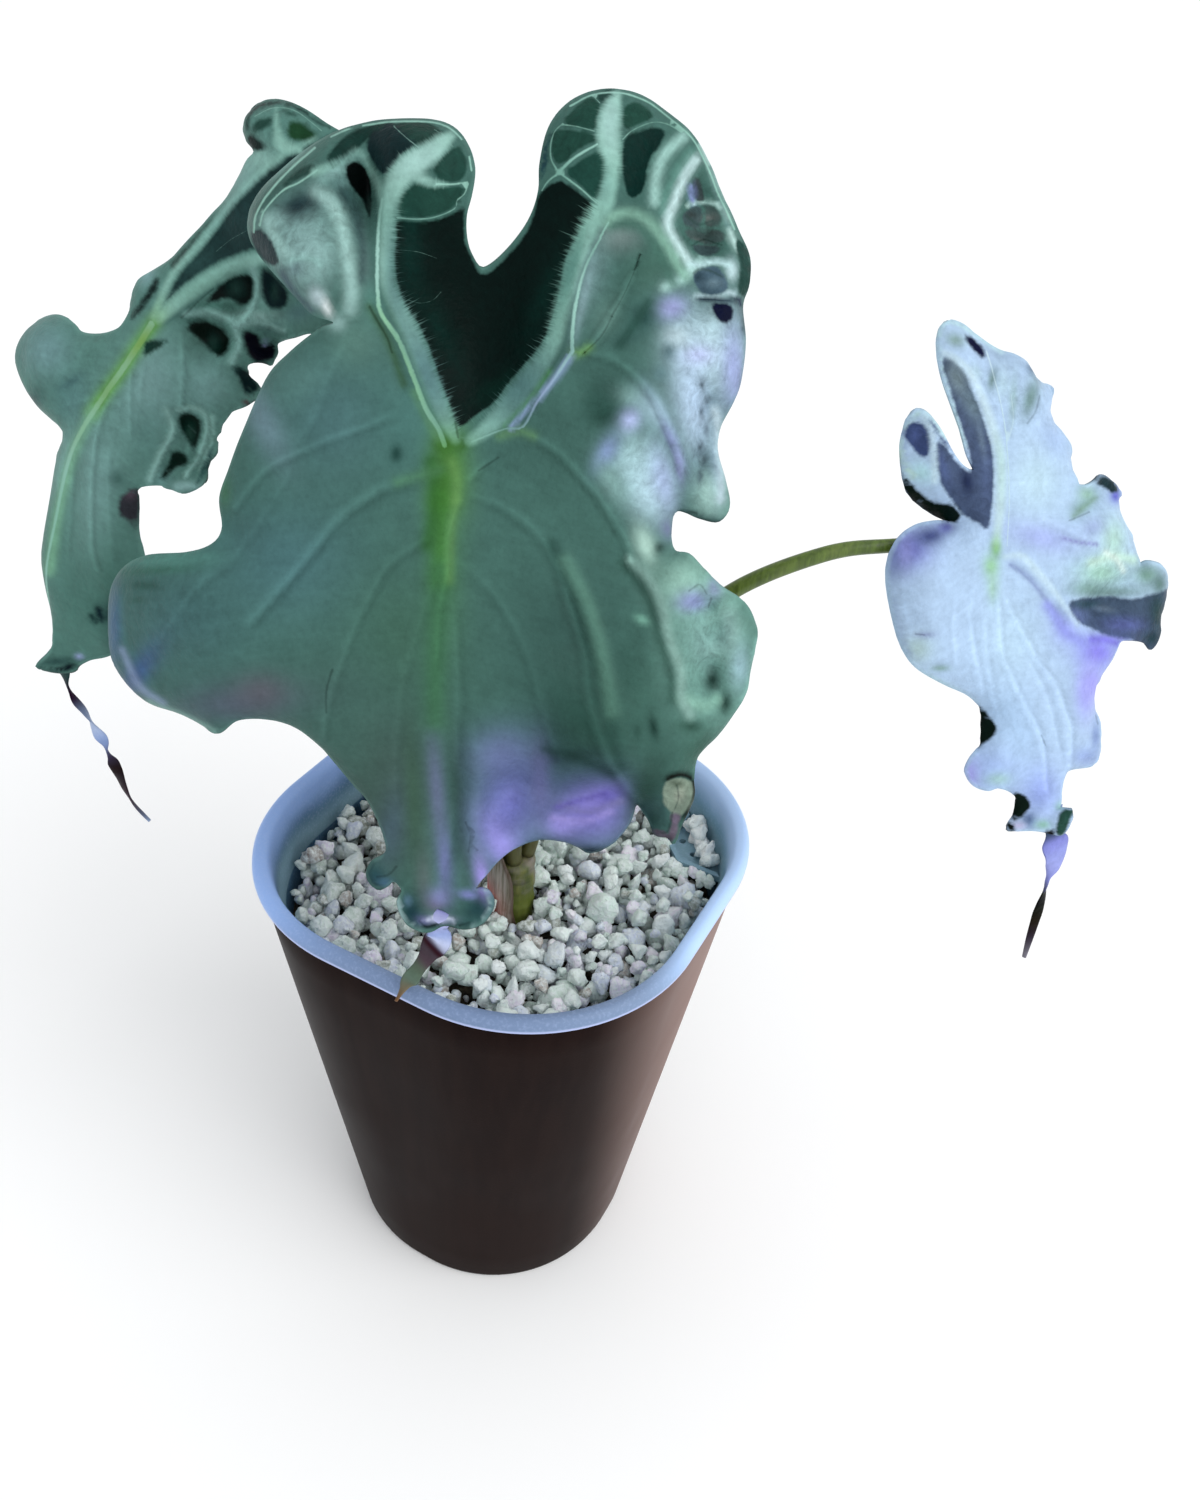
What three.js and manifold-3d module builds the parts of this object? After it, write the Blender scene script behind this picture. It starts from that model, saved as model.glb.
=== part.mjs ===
// A potted alocasia: three long-stalked leaves over pale pumice, in a clear liner that hangs in a brown pot.
// Millimetres, +Z up. The origin is the centre of the pot's foot, and the pot's sides lie along X and Y.

import * as THREE from 'three';
import { mergeVertices } from 'three/addons/utils/BufferGeometryUtils.js';
import Module from 'manifold-3d';

const wasm = await Module();
wasm.setup();

// Driving dimensions of the pot and its liner
const SEAT_GAP = 0.3;
const POT_HEIGHT = 131.2;
const POT_RIM_SIDE = 107;
const POT_RIM_CORNER = 40.5;
const POT_FOOT_SIDE = 78;
const POT_FOOT_CORNER = 37;
const POT_RIM_ROUND = 0.5;
const POT_WALL = 1.4;
const POT_FLOOR = 2.5;
const POT_FOOT_CHAMFER = 1.5;
const LIP_SIDE = 110;
const LIP_CORNER = 42;
const LIP_HEIGHT = 3.1;
const LINER_TOP_SIDE = 103.6;
const LINER_TOP_CORNER = 38.8;
const LINER_FOOT_SIDE = 76;
const LINER_FOOT_CORNER = 36;
const LINER_WALL = 1;
const LINER_FOOT_Z = 24;
const CORNER_STEPS = 10;

// The lip's outer profile: the inset of each point and its height over the lip's foot. Then the mouth's edge
const LIP_PROFILE = [[0.3, 0], [0, 0.8], [0.3, LIP_HEIGHT - 0.9], [1.5, LIP_HEIGHT]];
const MOUTH_EDGE = 1;
const MOUTH_EDGE_DROP = 0.3;
const MOUTH_DEPTH = 2.2;

// The filling shelf in one corner of the liner
const SHELF_TOP = 120.5;
const SHELF_THICKNESS = 1.6;
const SHELF_SIDE_X = 29;
const SHELF_SIDE_Y = 25.5;
const SHELF_CHAMFER = 6;
const SHELF_BAND_HEIGHT = 1.8;
const SHELF_BAND_WIDTH = 1.3;
const SHELF_HOLES = [[32.5, 34.8], [37, 31.6]];
const SHELF_HOLE_DIAMETER = 1.8;
const SHELF_HOLE_SIDES = 8;
const DRAIN_HOLE_DIAMETER = 3;
const DRAIN_HOLE_PITCH = 12;
const DRAIN_HOLE_REACH = 2;
const DRAIN_HOLE_SIDES = 6;
const CUT_MARGIN = 1;

// The bed of pumice
const BED_TOP = 121;
const GRAIN_HEIGHT = 2.6;
const GRAIN_PITCH = 4.1;
const TALL_GRAIN_SHARE = 0.4;
const LOW_GRAIN_LIFT = 0.35;
const BED_SEED = 11;

// The loose grains on the shelf: the place of each, its height over the shelf and its radius
const SHELF_GRAINS = [
  [42.2, 29.4, 1.3, 2.2], [40.2, 32.5, 1.3, 2.3], [37.9, 35.3, 1.3, 2.1], [35.3, 37.9, 1.3, 2.3],
  [32.5, 40.2, 1.3, 2.1], [40.9, 30.7, 3.7, 2.2], [36.4, 36.4, 3.7, 2.2], [33.7, 38.8, 3.6, 2],
];
const GRAIN_FLATNESS = 0.8;
const SHELF_SEED = 5;

// The short stem, its papery sheath and the three leaf stalks
const STEM = new THREE.Vector2(6, -6.2);
const STEM_RADIUS = 4.8;
const STEM_FOOT_Z = 100;
const STEM_TOP_Z = 134;
const STEM_PROFILE = [[STEM_FOOT_Z, 0.9], [112, 1], [122, 1], [STEM_TOP_Z, 0.98]];
const STEM_SIDES = 16;
const STALK_SIDES = 12;
const STALK_FOOT_Z = STEM_TOP_Z + SEAT_GAP;
const STALK_END_GAP = 2.3;
const STALK_TURN = 6;
const SHEATH_RADIUS = 5.9;
const SHEATH_THICKNESS = 0.8;
const SHEATH_AZIMUTH = 205;
const SHEATH_SPACING = 3;
const SHEATH_SEED = 3;
const STEM_HOLE_RADIUS = 7.2;
const STEM_HOLE_SIDES = 18;

// The sheath's outline, unrolled: the way round the stem and the height
const SHEATH_OUTLINE = [
  [-9, 112], [9, 112], [9.5, 122], [9, 131], [6.5, 138], [3, 145],
  [0, 152], [-3, 146], [-6.5, 138], [-9, 130], [-9.5, 122],
];

// Leaf blades
const BLADE_THICKNESS = 0.9;
const BLADE_SPACING = 3.9;
const OUTLINE_SPACING = 2.9;
const EDGE_REACH = 7;
const EDGE_POWER = 2.4;
const SLOPE_STEP = 0.8;
const RIB_HEIGHT = 0.9;
const RIB_WIDTH = 1.7;
const TAIL_SIDES = 6;
const BLADE_SEED = 21;

// Room that a mesh point keeps from the others, on a line and in the grid, and the grid's unevenness, all as
// shares of the spacing
const LINE_ROOM = 0.6;
const GRID_ROOM = 0.66;
const GRID_JITTER = 0.1;

// Colour and roughness of each material
const POT_LOOK = [0x3a2c2a, 0.5];
const LINER_LOOK = [0x9fb4dc, 0.35, { transparent: true, opacity: 0.7 }];
const PUMICE_LOOK = [0xd9dfcf, 0.9];
const STEM_LOOK = [0x5f6a38, 0.6];
const SHEATH_LOOK = [0x8d7f78, 0.7];
const STALK_LOOK = [0x55682c, 0.5];
const LEAF_ROUGHNESS = 0.5;

// The viewpoint from which the outlines of the leaves are laid out, over a sheet of 1200 by 1500 points
const EYE = new THREE.Vector3(108.9, -190.3, 328.4);
const EYE_AZIMUTH = 24.506;
const EYE_ELEVATION = 37.378;
const EYE_ROLL = 5.632;
const EYE_FOCAL = 1200;
const SIGHT_PASSES = 8;
const SHEET_CENTRE = new THREE.Vector2(600, 750);

// Each blade has the place where its stalk joins it, the way it faces, the sheet point of its tip, and its
// radii of curvature. Its outline is sheet points, each with the lift of the edge there. Its domes and dents
// are a sheet point, two half-widths, a tilt and a height. Its veins are lines of sheet points. Its tail is
// sheet points, each with the height over the blade's plane, the half-width and the turn of the ribbon.
// Its stalk is a route of points, with a radius at each and at the two points that its end adds.
const FRONT = {
  name: 'leaf_front',
  junction: new THREE.Vector3(-4.4, -18.5, 235.7),
  azimuth: 24.5,
  elevation: 22.6,
  tip: [436, 915],
  archAcross: 150,
  archAlong: 1300,
  color: 0x5c8378,
  outline: [
    [483, 268, 0], [506, 251, 0], [528, 222, 0], [539, 192, -1], [541, 163, -2], [550, 128, -3],
    [568, 105, -3], [593, 93, -3], [620, 91, -2], [645, 99, -3], [668, 115, -3], [692, 136, -2],
    [707, 162, -3], [721, 193, -2], [736, 228, -3], [748, 257, -4], [748, 284, -2], [741, 306, -5],
    [744, 342, -4], [739, 382, -5], [731, 404, -3], [719, 427, -5], [717, 451, -2], [725, 481, 1],
    [729, 506, 2], [719, 521, 2], [700, 518, 0], [676, 510, -3], [670, 530, -4], [674, 550, -2],
    [690, 555, 2], [705, 571, -2], [722, 587, 2], [739, 598, -2], [750, 611, 1], [756, 630, -3],
    [754, 650, -1], [749, 669, -4], [745, 693, -2], [730, 717, -3], [716, 735, -4], [697, 755, -4],
    [693, 775, -3], [694, 795, 2], [688, 811, 3], [681, 826, 2], [674, 844, 1], [668, 838, 1],
    [655, 834, -1], [648, 818, -3], [636, 802, -6], [630, 820, -6], [613, 841, -7], [591, 851, -7],
    [571, 842, -7], [540, 838, -6], [515, 847, -4], [499, 859, -3], [487, 873, -2], [476, 887, 0],
    [487, 890, 3], [494, 904, 3], [484, 922, 3], [466, 929, 2], [446, 925, 1], [428, 932, 1],
    [411, 927, 2], [402, 917, 3], [397, 902, 3], [402, 890, 1], [394, 881, 0], [387, 886, -1],
    [378, 889, -1], [369, 881, -1], [367, 871, -1], [373, 860, -1], [386, 852, 0], [384, 835, -1],
    [377, 816, -2], [367, 798, -2], [353, 782, -3], [332, 757, -3], [320, 744, -3], [296, 726, -3],
    [269, 718, -3], [239, 719, -2], [218, 733, -1], [202, 723, -3], [180, 712, -4], [149, 701, -5],
    [127, 681, -6], [113, 655, -6], [110, 620, -5], [113, 588, -4], [126, 567, -3], [149, 556, -3],
    [188, 553, -2], [212, 545, -1], [223, 528, -1], [221, 498, -2], [230, 470, -2], [243, 435, -2],
    [268, 379, -3], [291, 353, -3], [320, 329, -2], [335, 322, 0], [314, 314, -2], [298, 297, -4],
    [283, 281, -3], [262, 256, -5], [251, 236, -5], [251, 214, -5], [262, 192, -5], [284, 170, -5],
    [310, 149, -5], [336, 134, -5], [368, 124, -4], [395, 121, -4], [434, 122, -5], [456, 131, -5],
    [469, 150, -4], [474, 171, -3], [471, 194, -2], [466, 215, -1], [466, 236, 0], [471, 254, 0],
  ],
  domes: [
    [200, 620, 20, 16, 0, 6], [222, 540, 6, 6, 0, -3], [315, 270, 14, 11, 35, 8],
    [361, 190, 3.5, 8, 0, -8], [480, 340, 11, 22, 0, -8], [600, 150, 10, 13, 0, 3],
    [430, 165, 11, 9, 0, 3], [660, 200, 4, 14, -15, 3], [702, 190, 4, 3, 0, -4],
    [707, 238, 4, 3, 0, -4], [702, 300, 4, 3.5, 0, -4], [722, 300, 4, 4, 0, 3],
    [690, 345, 12, 10, 0, 4], [706, 400, 3, 3, 0, -4], [704, 430, 3, 3, 0, -3],
    [704, 460, 3, 3, 0, -4], [625, 430, 11, 13, 0, 7], [600, 395, 5, 4, 0, -4],
    [680, 572, 6, 4, 0, 3], [710, 600, 6, 4, 30, 2], [705, 612, 3, 3, 0, -4],
    [720, 640, 3, 3, 0, -4], [712, 682, 3.5, 3.5, 0, -5], [722, 707, 2.5, 3, 0, -3],
    [660, 640, 5, 18, -15, 3], [600, 730, 16, 7, -35, 5], [560, 815, 22, 7, 0, -9],
    [505, 800, 5, 16, -25, -4], [445, 830, 2.5, 20, 0, -2], [470, 820, 2.5, 18, -8, 2],
    [440, 890, 6, 6, 0, 2],
  ],
  veins: [
    {
      width: 2.6,
      line: [[452, 460], [450, 520], [447, 580], [440, 660], [436, 740], [436, 820], [434, 900]],
    },
    {
      width: 2.4,
      line: [
        [450, 455], [432, 420], [410, 370], [379, 303], [377, 243], [384, 190], [405, 160], [448, 134],
      ],
    },
    {
      width: 2.4,
      line: [
        [455, 455], [497, 437], [540, 402], [577, 350], [585, 300], [600, 235], [606, 190], [610, 108],
      ],
    },
    { width: 1.4, line: [[408, 412], [370, 418], [320, 440], [270, 470], [234, 512]] },
    { width: 1.4, line: [[438, 484], [400, 488], [350, 508], [300, 556], [247, 636], [190, 690]] },
    { width: 1.4, line: [[445, 540], [400, 580], [365, 640], [345, 700], [332, 745]] },
    { width: 1.4, line: [[445, 600], [415, 680], [400, 760], [397, 850]] },
    { width: 1.4, line: [[583, 353], [630, 364], [660, 400], [681, 444], [690, 500]] },
    { width: 1.4, line: [[521, 433], [560, 447], [600, 477], [625, 530], [650, 600], [680, 700]] },
    {
      width: 1.4,
      line: [[466, 494], [511, 507], [546, 538], [573, 596], [587, 668], [604, 748], [640, 810]],
    },
    { width: 1.4, line: [[452, 540], [490, 610], [510, 690], [530, 770], [560, 835]] },
    { width: 1.4, line: [[609, 214], [641, 212], [658, 224], [674, 252], [690, 272], [720, 285]] },
  ],
  stalk: {
    name: 'petiole_front',
    route: [[6.6, -8.6, STALK_FOOT_Z], [6.2, -9.2, 150], [4, -10, 176], [0.5, -9.5, 203], [-4, -9.5, 222]],
    radii: [1.85, 2.3, 2.4, 2.2, 2.1, 2, 1.9],
  },
  tail: [
    [444, 912, -2.2, 1.5, 0], [440, 920, -2.6, 2.3, 0], [437, 928, -2.9, 2, 6], [439, 935, -3, 2.6, 6],
    [438, 941, -3.1, 2.7, 10], [434, 945, -3.2, 2.9, 20], [429, 951, -3.4, 2.4, 30],
    [424, 960, -3.8, 1.9, 40], [418, 969, -3.8, 1.7, 40], [410, 980, -3, 1.9, 30],
    [404, 988, -1.2, 1.2, 60], [396, 1001, 1, 0.5, 90],
  ],
};

const LEFT = {
  name: 'leaf_left',
  junction: new THREE.Vector3(-91.5, -3.2, 236.9),
  azimuth: 5,
  elevation: 20,
  tip: [62, 660],
  archAcross: 200,
  archAlong: 700,
  color: 0x577e72,
  outline: [
    [352, 225, 0], [362, 190, 0], [362, 160, -1], [345, 136, -1], [326, 124, -2], [308, 112, -3],
    [291, 104, -4], [275, 101, -5], [260, 105, -5], [250, 115, -5], [246, 128, -5], [248, 141, -3],
    [256, 151, -2], [248, 161, -2], [239, 180, -3], [229, 197, -3], [214, 214, -3], [199, 231, -3],
    [183, 248, -3], [172, 260, -3], [155, 271, -3], [142, 279, -3], [136, 288, -3], [133, 300, -3],
    [130, 314, -2], [121, 327, -1], [110, 333, -2], [96, 335, -3], [83, 333, -4], [75, 325, -4],
    [66, 318, -5], [54, 316, -5], [41, 321, -6], [31, 332, -6], [25, 348, -6], [25, 367, -6],
    [29, 386, -5], [37, 403, -4], [51, 417, -3], [62, 427, -2], [65, 437, -2], [60, 452, -3],
    [56, 470, -3], [52, 500, -4], [46, 535, -4], [44, 558, -4], [47, 587, -3], [53, 613, -2],
    [54, 634, 0], [50, 650, 2], [36, 666, 3], [48, 671, 3], [62, 673, 3], [74, 671, 2],
    [80, 665, 0], [92, 659, -2], [109, 655, -4], [126, 644, -5], [138, 612, -5], [146, 575, -5],
    [144, 553, -5], [139, 532, -5], [139, 506, -5], [139, 490, -4], [143, 486, -1], [158, 485, 0],
    [171, 488, -3], [183, 493, -2], [196, 489, -3], [206, 480, -2], [210, 464, -4], [217, 453, -2],
    [219, 438, -4], [223, 422, -2], [234, 411, -3], [247, 405, -1], [259, 395, 0], [257, 384, -3],
    [248, 373, -4], [246, 363, -1], [261, 362, 0], [271, 365, -2], [277, 357, -3], [279, 342, -2],
    [295, 337, -2], [312, 333, -2], [338, 340, -3], [372, 330, -3], [388, 300, -3], [384, 265, -2],
    [366, 240, 0],
  ],
  domes: [
    [50, 360, 9, 11, 0, 4], [110, 470, 10, 30, 15, 3], [215, 250, 6, 14, 40, -3],
    [211, 338, 6, 5, 0, -4], [238, 292, 4, 4, 0, -3], [276, 300, 4, 6, 0, -4],
    [256, 346, 4, 4, 0, -5], [246, 382, 3, 4, 0, -3], [190, 424, 4, 4, 0, -3],
    [178, 464, 4, 5, 0, -3], [98, 613, 3, 4, 0, -3], [276, 130, 8, 8, 0, 2],
    [230, 365, 4, 4, 0, 3], [170, 380, 6, 10, 0, 3],
  ],
  veins: [
    {
      width: 2.4,
      line: [[150, 325], [133, 372], [112, 420], [92, 480], [75, 540], [66, 600], [62, 660]],
    },
    { width: 2, line: [[150, 320], [165, 290], [200, 240], [245, 185], [285, 152], [300, 142]] },
    { width: 2.4, line: [[152, 322], [190, 300], [225, 277], [256, 262], [290, 262], [330, 258]] },
    { width: 1.4, line: [[128, 385], [95, 378], [60, 372], [40, 350]] },
    { width: 1.4, line: [[256, 262], [258, 300], [252, 330], [262, 350]] },
    { width: 1.4, line: [[152, 328], [178, 340], [190, 370], [200, 410], [212, 430]] },
    { width: 1.4, line: [[135, 370], [135, 420], [145, 450], [158, 480]] },
    { width: 1.4, line: [[118, 410], [100, 470], [98, 540], [100, 600]] },
  ],
  stalk: {
    name: 'petiole_left',
    route: [
      [3.6, -5.5, STALK_FOOT_Z], [2.4, -4.8, 146], [-3, -2, 164], [-16, 5, 192],
      [-34, 11, 220], [-52, 14, 239], [-69, 15, 247], [-82, 12.5, 245.5],
    ],
    radii: [1.8, 1.9, 1.9, 1.8, 1.7, 1.6, 1.6, 1.6, 1.6, 1.6],
  },
  tail: [
    [60, 655, -6, 3.5, 0], [64, 672, -6.5, 2.4, 10], [68, 687, -7.4, 0.9, 40], [75, 700, -8.3, 1.3, 80],
    [85, 712, -9.3, 1.8, 60], [95, 728, -10.5, 2.7, 20], [103, 741, -11.6, 2, 0], [108, 753, -12.6, 0.7, 60],
    [114, 764, -13.5, 1.5, 150], [120, 777, -14.6, 2, 190], [126, 791, -15.6, 1.5, 200],
    [134, 804, -16.6, 1, 230], [143, 814, -17.4, 0.7, 250], [150, 821, -18, 0.5, 260],
  ],
};

const RIGHT = {
  name: 'leaf_right',
  junction: new THREE.Vector3(85.1, 44.3, 216.3),
  azimuth: 45,
  elevation: 25,
  tip: [1040, 830],
  archAcross: 180,
  archAlong: 900,
  color: 0xa9bfe6,
  outline: [
    [973, 470, 0], [966, 453, 0], [960, 430, 0], [951, 405, -1], [942, 379, -2], [937, 355, -3],
    [937, 338, -3], [941, 325, -4], [949, 321, -4], [962, 325, -3], [974, 335, -3], [987, 344, -2],
    [1001, 352, -2], [1013, 355, -2], [1025, 363, -3], [1034, 379, -4], [1041, 384, -3], [1048, 386, -4],
    [1051, 393, -4], [1048, 406, -4], [1050, 420, -4], [1061, 433, -3], [1071, 449, -2], [1068, 462, -3],
    [1074, 476, -1], [1081, 485, 1], [1092, 483, 2], [1101, 475, 2], [1111, 481, 0], [1118, 492, -3],
    [1116, 504, -3], [1122, 520, -2], [1129, 534, -3], [1134, 550, -2], [1139, 563, 0], [1150, 561, 2],
    [1162, 566, 1], [1166, 580, -2], [1163, 602, -3], [1158, 621, -2], [1160, 633, -1], [1150, 649, -2],
    [1143, 642, -1], [1129, 640, 1], [1119, 643, 0], [1113, 654, -2], [1105, 668, -3], [1097, 679, -4],
    [1093, 691, -3], [1093, 709, -3], [1099, 722, -1], [1100, 739, 0], [1098, 754, -2], [1090, 765, -3],
    [1069, 769, -2], [1063, 778, -1], [1060, 797, 0], [1062, 808, 2], [1074, 810, 4], [1071, 822, 3],
    [1064, 833, 1], [1054, 834, 0], [1040, 831, 0], [1024, 830, -1], [1007, 830, -2], [1008, 822, -3],
    [1014, 812, -3], [1014, 795, -3], [1000, 788, 0], [987, 790, -1], [973, 785, -2], [966, 775, -2],
    [965, 768, -2], [971, 756, -3], [979, 745, -5], [981, 725, -6], [979, 707, -6], [967, 694, -4],
    [945, 684, -3], [923, 672, -3], [910, 661, -3], [899, 641, -4], [891, 611, -4], [886, 581, -4],
    [888, 557, -4], [899, 537, -3], [916, 525, -3], [936, 521, -3], [947, 521, -4], [930, 512, -6],
    [914, 500, -7], [905, 488, -6], [901, 466, -5], [900, 448, -4], [902, 434, -4], [906, 420, -3],
    [913, 410, -2], [923, 410, -1], [934, 420, 0], [944, 436, 0], [953, 453, 0], [963, 466, 0],
  ],
  domes: [
    [1010, 450, 8, 12, -20, 3], [1030, 380, 5, 5, 0, 2], [918, 437, 3, 5, 0, -1.5],
    [1085, 540, 8, 6, 0, 3], [1120, 600, 9, 4, 10, -4], [1075, 650, 6, 8, 0, 3],
    [1040, 600, 5, 14, 0, 2], [920, 590, 7, 12, 0, 3], [1080, 720, 4, 8, 0, 2],
    [990, 740, 5, 8, 0, 3], [955, 540, 6, 4, 0, -2], [1100, 500, 4, 4, 0, -2],
  ],
  veins: [
    { width: 2, line: [[990, 560], [993, 600], [1003, 650], [1017, 700], [1030, 760], [1042, 828]] },
    {
      width: 2,
      line: [[992, 552], [998, 510], [1002, 470], [1000, 440], [985, 405], [965, 370], [948, 345]],
    },
    { width: 2, line: [[986, 556], [965, 540], [950, 505], [938, 470], [934, 440], [928, 425]] },
    { width: 1.2, line: [[998, 505], [1020, 510], [1045, 525], [1062, 528]] },
    { width: 1.2, line: [[996, 556], [1020, 565], [1040, 590], [1065, 615], [1085, 632]] },
    { width: 1.2, line: [[994, 575], [1020, 615], [1045, 670], [1060, 720], [1058, 780]] },
    { width: 1.2, line: [[986, 570], [955, 580], [940, 620], [935, 655]] },
    { width: 1.2, line: [[988, 580], [972, 620], [975, 670], [990, 720]] },
  ],
  stalk: {
    name: 'petiole_right',
    route: [
      [7.8, -4.4, STALK_FOOT_Z], [10, -1.5, 148], [17.5, 8, 171], [27.5, 15, 189], [39, 23.3, 203.6],
      [54.6, 30.4, 214], [66, 36.7, 216.8], [76, 43, 217.5],
    ],
    radii: [1.8, 1.9, 1.9, 1.8, 1.75, 1.6, 1.45, 1.4, 1.4, 1.4],
  },
  tail: [
    [1048, 812, -2.4, 4, 0], [1052, 830, -3, 1.6, 10], [1055, 842, -4, 3.2, 10], [1056, 854, -5, 3, 0],
    [1053, 866, -6, 1.8, 20], [1048, 878, -7, 0.6, 80], [1044, 892, -8.2, 1.3, 150],
    [1039, 908, -9.5, 1.5, 180], [1034, 924, -10.8, 1.1, 200], [1029, 940, -12, 0.8, 220],
    [1024, 957, -13.3, 0.5, 240],
  ],
};

// Directions of the view from the eye point
function viewAxes() {
  const azimuth = THREE.MathUtils.degToRad(EYE_AZIMUTH);
  const elevation = THREE.MathUtils.degToRad(EYE_ELEVATION);
  const roll = THREE.MathUtils.degToRad(EYE_ROLL);
  const level = new THREE.Vector3(Math.cos(azimuth), Math.sin(azimuth), 0);
  const back = new THREE.Vector3(
    Math.sin(azimuth) * Math.cos(elevation),
    -Math.cos(azimuth) * Math.cos(elevation),
    Math.sin(elevation),
  );
  const rise = back.clone().cross(level);
  const right = level.clone().multiplyScalar(Math.cos(roll)).addScaledVector(rise, Math.sin(roll));
  const up = rise.clone().multiplyScalar(Math.cos(roll)).addScaledVector(level, -Math.sin(roll));
  return { right, up, back };
}

const VIEW = viewAxes();

// The line of sight through a sheet point
function sightLine([x, y]) {
  return VIEW.back.clone().multiplyScalar(-1)
    .addScaledVector(VIEW.right, (x - SHEET_CENTRE.x) / EYE_FOCAL)
    .addScaledVector(VIEW.up, -(y - SHEET_CENTRE.y) / EYE_FOCAL);
}

// The chart of a blade: u runs across it, v up its midrib and w out of its upper face
function bladeChart(blade) {
  const azimuth = THREE.MathUtils.degToRad(blade.azimuth);
  const elevation = THREE.MathUtils.degToRad(blade.elevation);
  const out = new THREE.Vector3(
    Math.sin(azimuth) * Math.cos(elevation),
    -Math.cos(azimuth) * Math.cos(elevation),
    Math.sin(elevation),
  );
  const chart = { origin: blade.junction, out };
  const tip = meetPlane(chart, blade.tip, 0);
  chart.along = blade.junction.clone().sub(tip).normalize();
  chart.across = chart.along.clone().cross(out).normalize();
  return chart;
}

// The point where a line of sight meets the blade's plane, raised by w
function meetPlane(chart, sheetPoint, w) {
  const line = sightLine(sheetPoint);
  const reach = (chart.origin.clone().sub(EYE).dot(chart.out) + w) / line.dot(chart.out);
  return EYE.clone().addScaledVector(line, reach);
}

function toChart(chart, point) {
  const offset = point.clone().sub(chart.origin);
  return [offset.dot(chart.across), offset.dot(chart.along)];
}

// The chart point that is seen at a sheet point when the blade bulges by height(u, v)
function chartPoint(chart, sheetPoint, height) {
  let place = toChart(chart, meetPlane(chart, sheetPoint, 0));
  for (let pass = 0; pass < SIGHT_PASSES; pass++) {
    place = toChart(chart, meetPlane(chart, sheetPoint, height(...place)));
  }
  return place;
}

// Height of the bare blade: its arch with domes and dents
function bulge(blade, domes, u, v) {
  let w = -u * u / (2 * blade.archAcross) - v * v / (2 * blade.archAlong);
  for (const [u0, v0, ru, rv, tilt, height] of domes) {
    const angle = THREE.MathUtils.degToRad(tilt);
    const a = ((u - u0) * Math.cos(angle) + (v - v0) * Math.sin(angle)) / ru;
    const b = ((v - v0) * Math.cos(angle) - (u - u0) * Math.sin(angle)) / rv;
    w += height * Math.exp(-a * a - b * b);
  }
  return w;
}

// A smooth line through chart points, at even steps
function smoothLine(points, spacing, closed) {
  const curve = new THREE.CatmullRomCurve3(
    points.map((p) => new THREE.Vector3(p[0], p[1], p[2] ?? 0)),
    closed,
    'catmullrom',
    0.5,
  );
  const steps = Math.max(2, Math.round(curve.getLength() / spacing));
  const spaced = curve.getSpacedPoints(steps).map((p) => [p.x, p.y, p.z]);
  return closed ? spaced.slice(0, -1) : spaced;
}

function distanceToSegment(x, y, a, b) {
  const dx = b[0] - a[0];
  const dy = b[1] - a[1];
  const along = ((x - a[0]) * dx + (y - a[1]) * dy) / (dx * dx + dy * dy || 1);
  const t = Math.min(1, Math.max(0, along));
  return [Math.hypot(x - a[0] - t * dx, y - a[1] - t * dy), t];
}

// Distance to a line of points, and the third coordinate there
function nearestOnLine(x, y, line, closed) {
  let best = [Infinity, 0];
  const count = closed ? line.length : line.length - 1;
  for (let i = 0; i < count; i++) {
    const a = line[i];
    const b = line[(i + 1) % line.length];
    const [distance, t] = distanceToSegment(x, y, a, b);
    if (distance < best[0]) {
      best = [distance, a[2] + t * (b[2] - a[2])];
    }
  }
  return best;
}

function insideLoop(x, y, loop) {
  let inside = false;
  for (let i = 0, j = loop.length - 1; i < loop.length; j = i++) {
    const crosses = (loop[i][1] > y) !== (loop[j][1] > y);
    const edgeX = (loop[j][0] - loop[i][0]) * (y - loop[i][1]) / (loop[j][1] - loop[i][1]) + loop[i][0];
    if (crosses && x < edgeX) {
      inside = !inside;
    }
  }
  return inside;
}

function seededRandom(seed) {
  let state = seed;
  return () => {
    state = (state * 1664525 + 1013904223) % 4294967296;
    return state / 4294967296;
  };
}

// Delaunay triangles of flat points, by adding one point at a time
function delaunay(points) {
  const far = 1e4;
  const all = [...points, [-far, -far], [far, -far], [0, far]];
  const n = points.length;
  let triangles = [circled(all, n, n + 1, n + 2)];
  for (let i = 0; i < n; i++) {
    const [x, y] = all[i];
    const edges = new Map();
    const kept = [];
    for (const triangle of triangles) {
      if ((x - triangle.x) ** 2 + (y - triangle.y) ** 2 >= triangle.r2) {
        kept.push(triangle);
        continue;
      }
      const [a, b, c] = triangle.corners;
      for (const [from, to] of [[a, b], [b, c], [c, a]]) {
        const twin = `${to}_${from}`;
        if (!edges.delete(twin)) {
          edges.set(`${from}_${to}`, [from, to]);
        }
      }
    }
    for (const [from, to] of edges.values()) {
      kept.push(circled(all, from, to, i));
    }
    triangles = kept;
  }
  return triangles.map((triangle) => triangle.corners).filter((corners) => corners.every((k) => k < n));
}

// A triangle with its circumcircle
function circled(points, a, b, c) {
  const [ax, ay] = points[a];
  const bx = points[b][0] - ax;
  const by = points[b][1] - ay;
  const cx = points[c][0] - ax;
  const cy = points[c][1] - ay;
  const twice = 2 * (bx * cy - by * cx);
  const x = (cy * (bx * bx + by * by) - by * (cx * cx + cy * cy)) / twice;
  const y = (bx * (cx * cx + cy * cy) - cx * (bx * bx + by * by)) / twice;
  return { corners: [a, b, c], x: x + ax, y: y + ay, r2: x * x + y * y };
}

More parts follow.
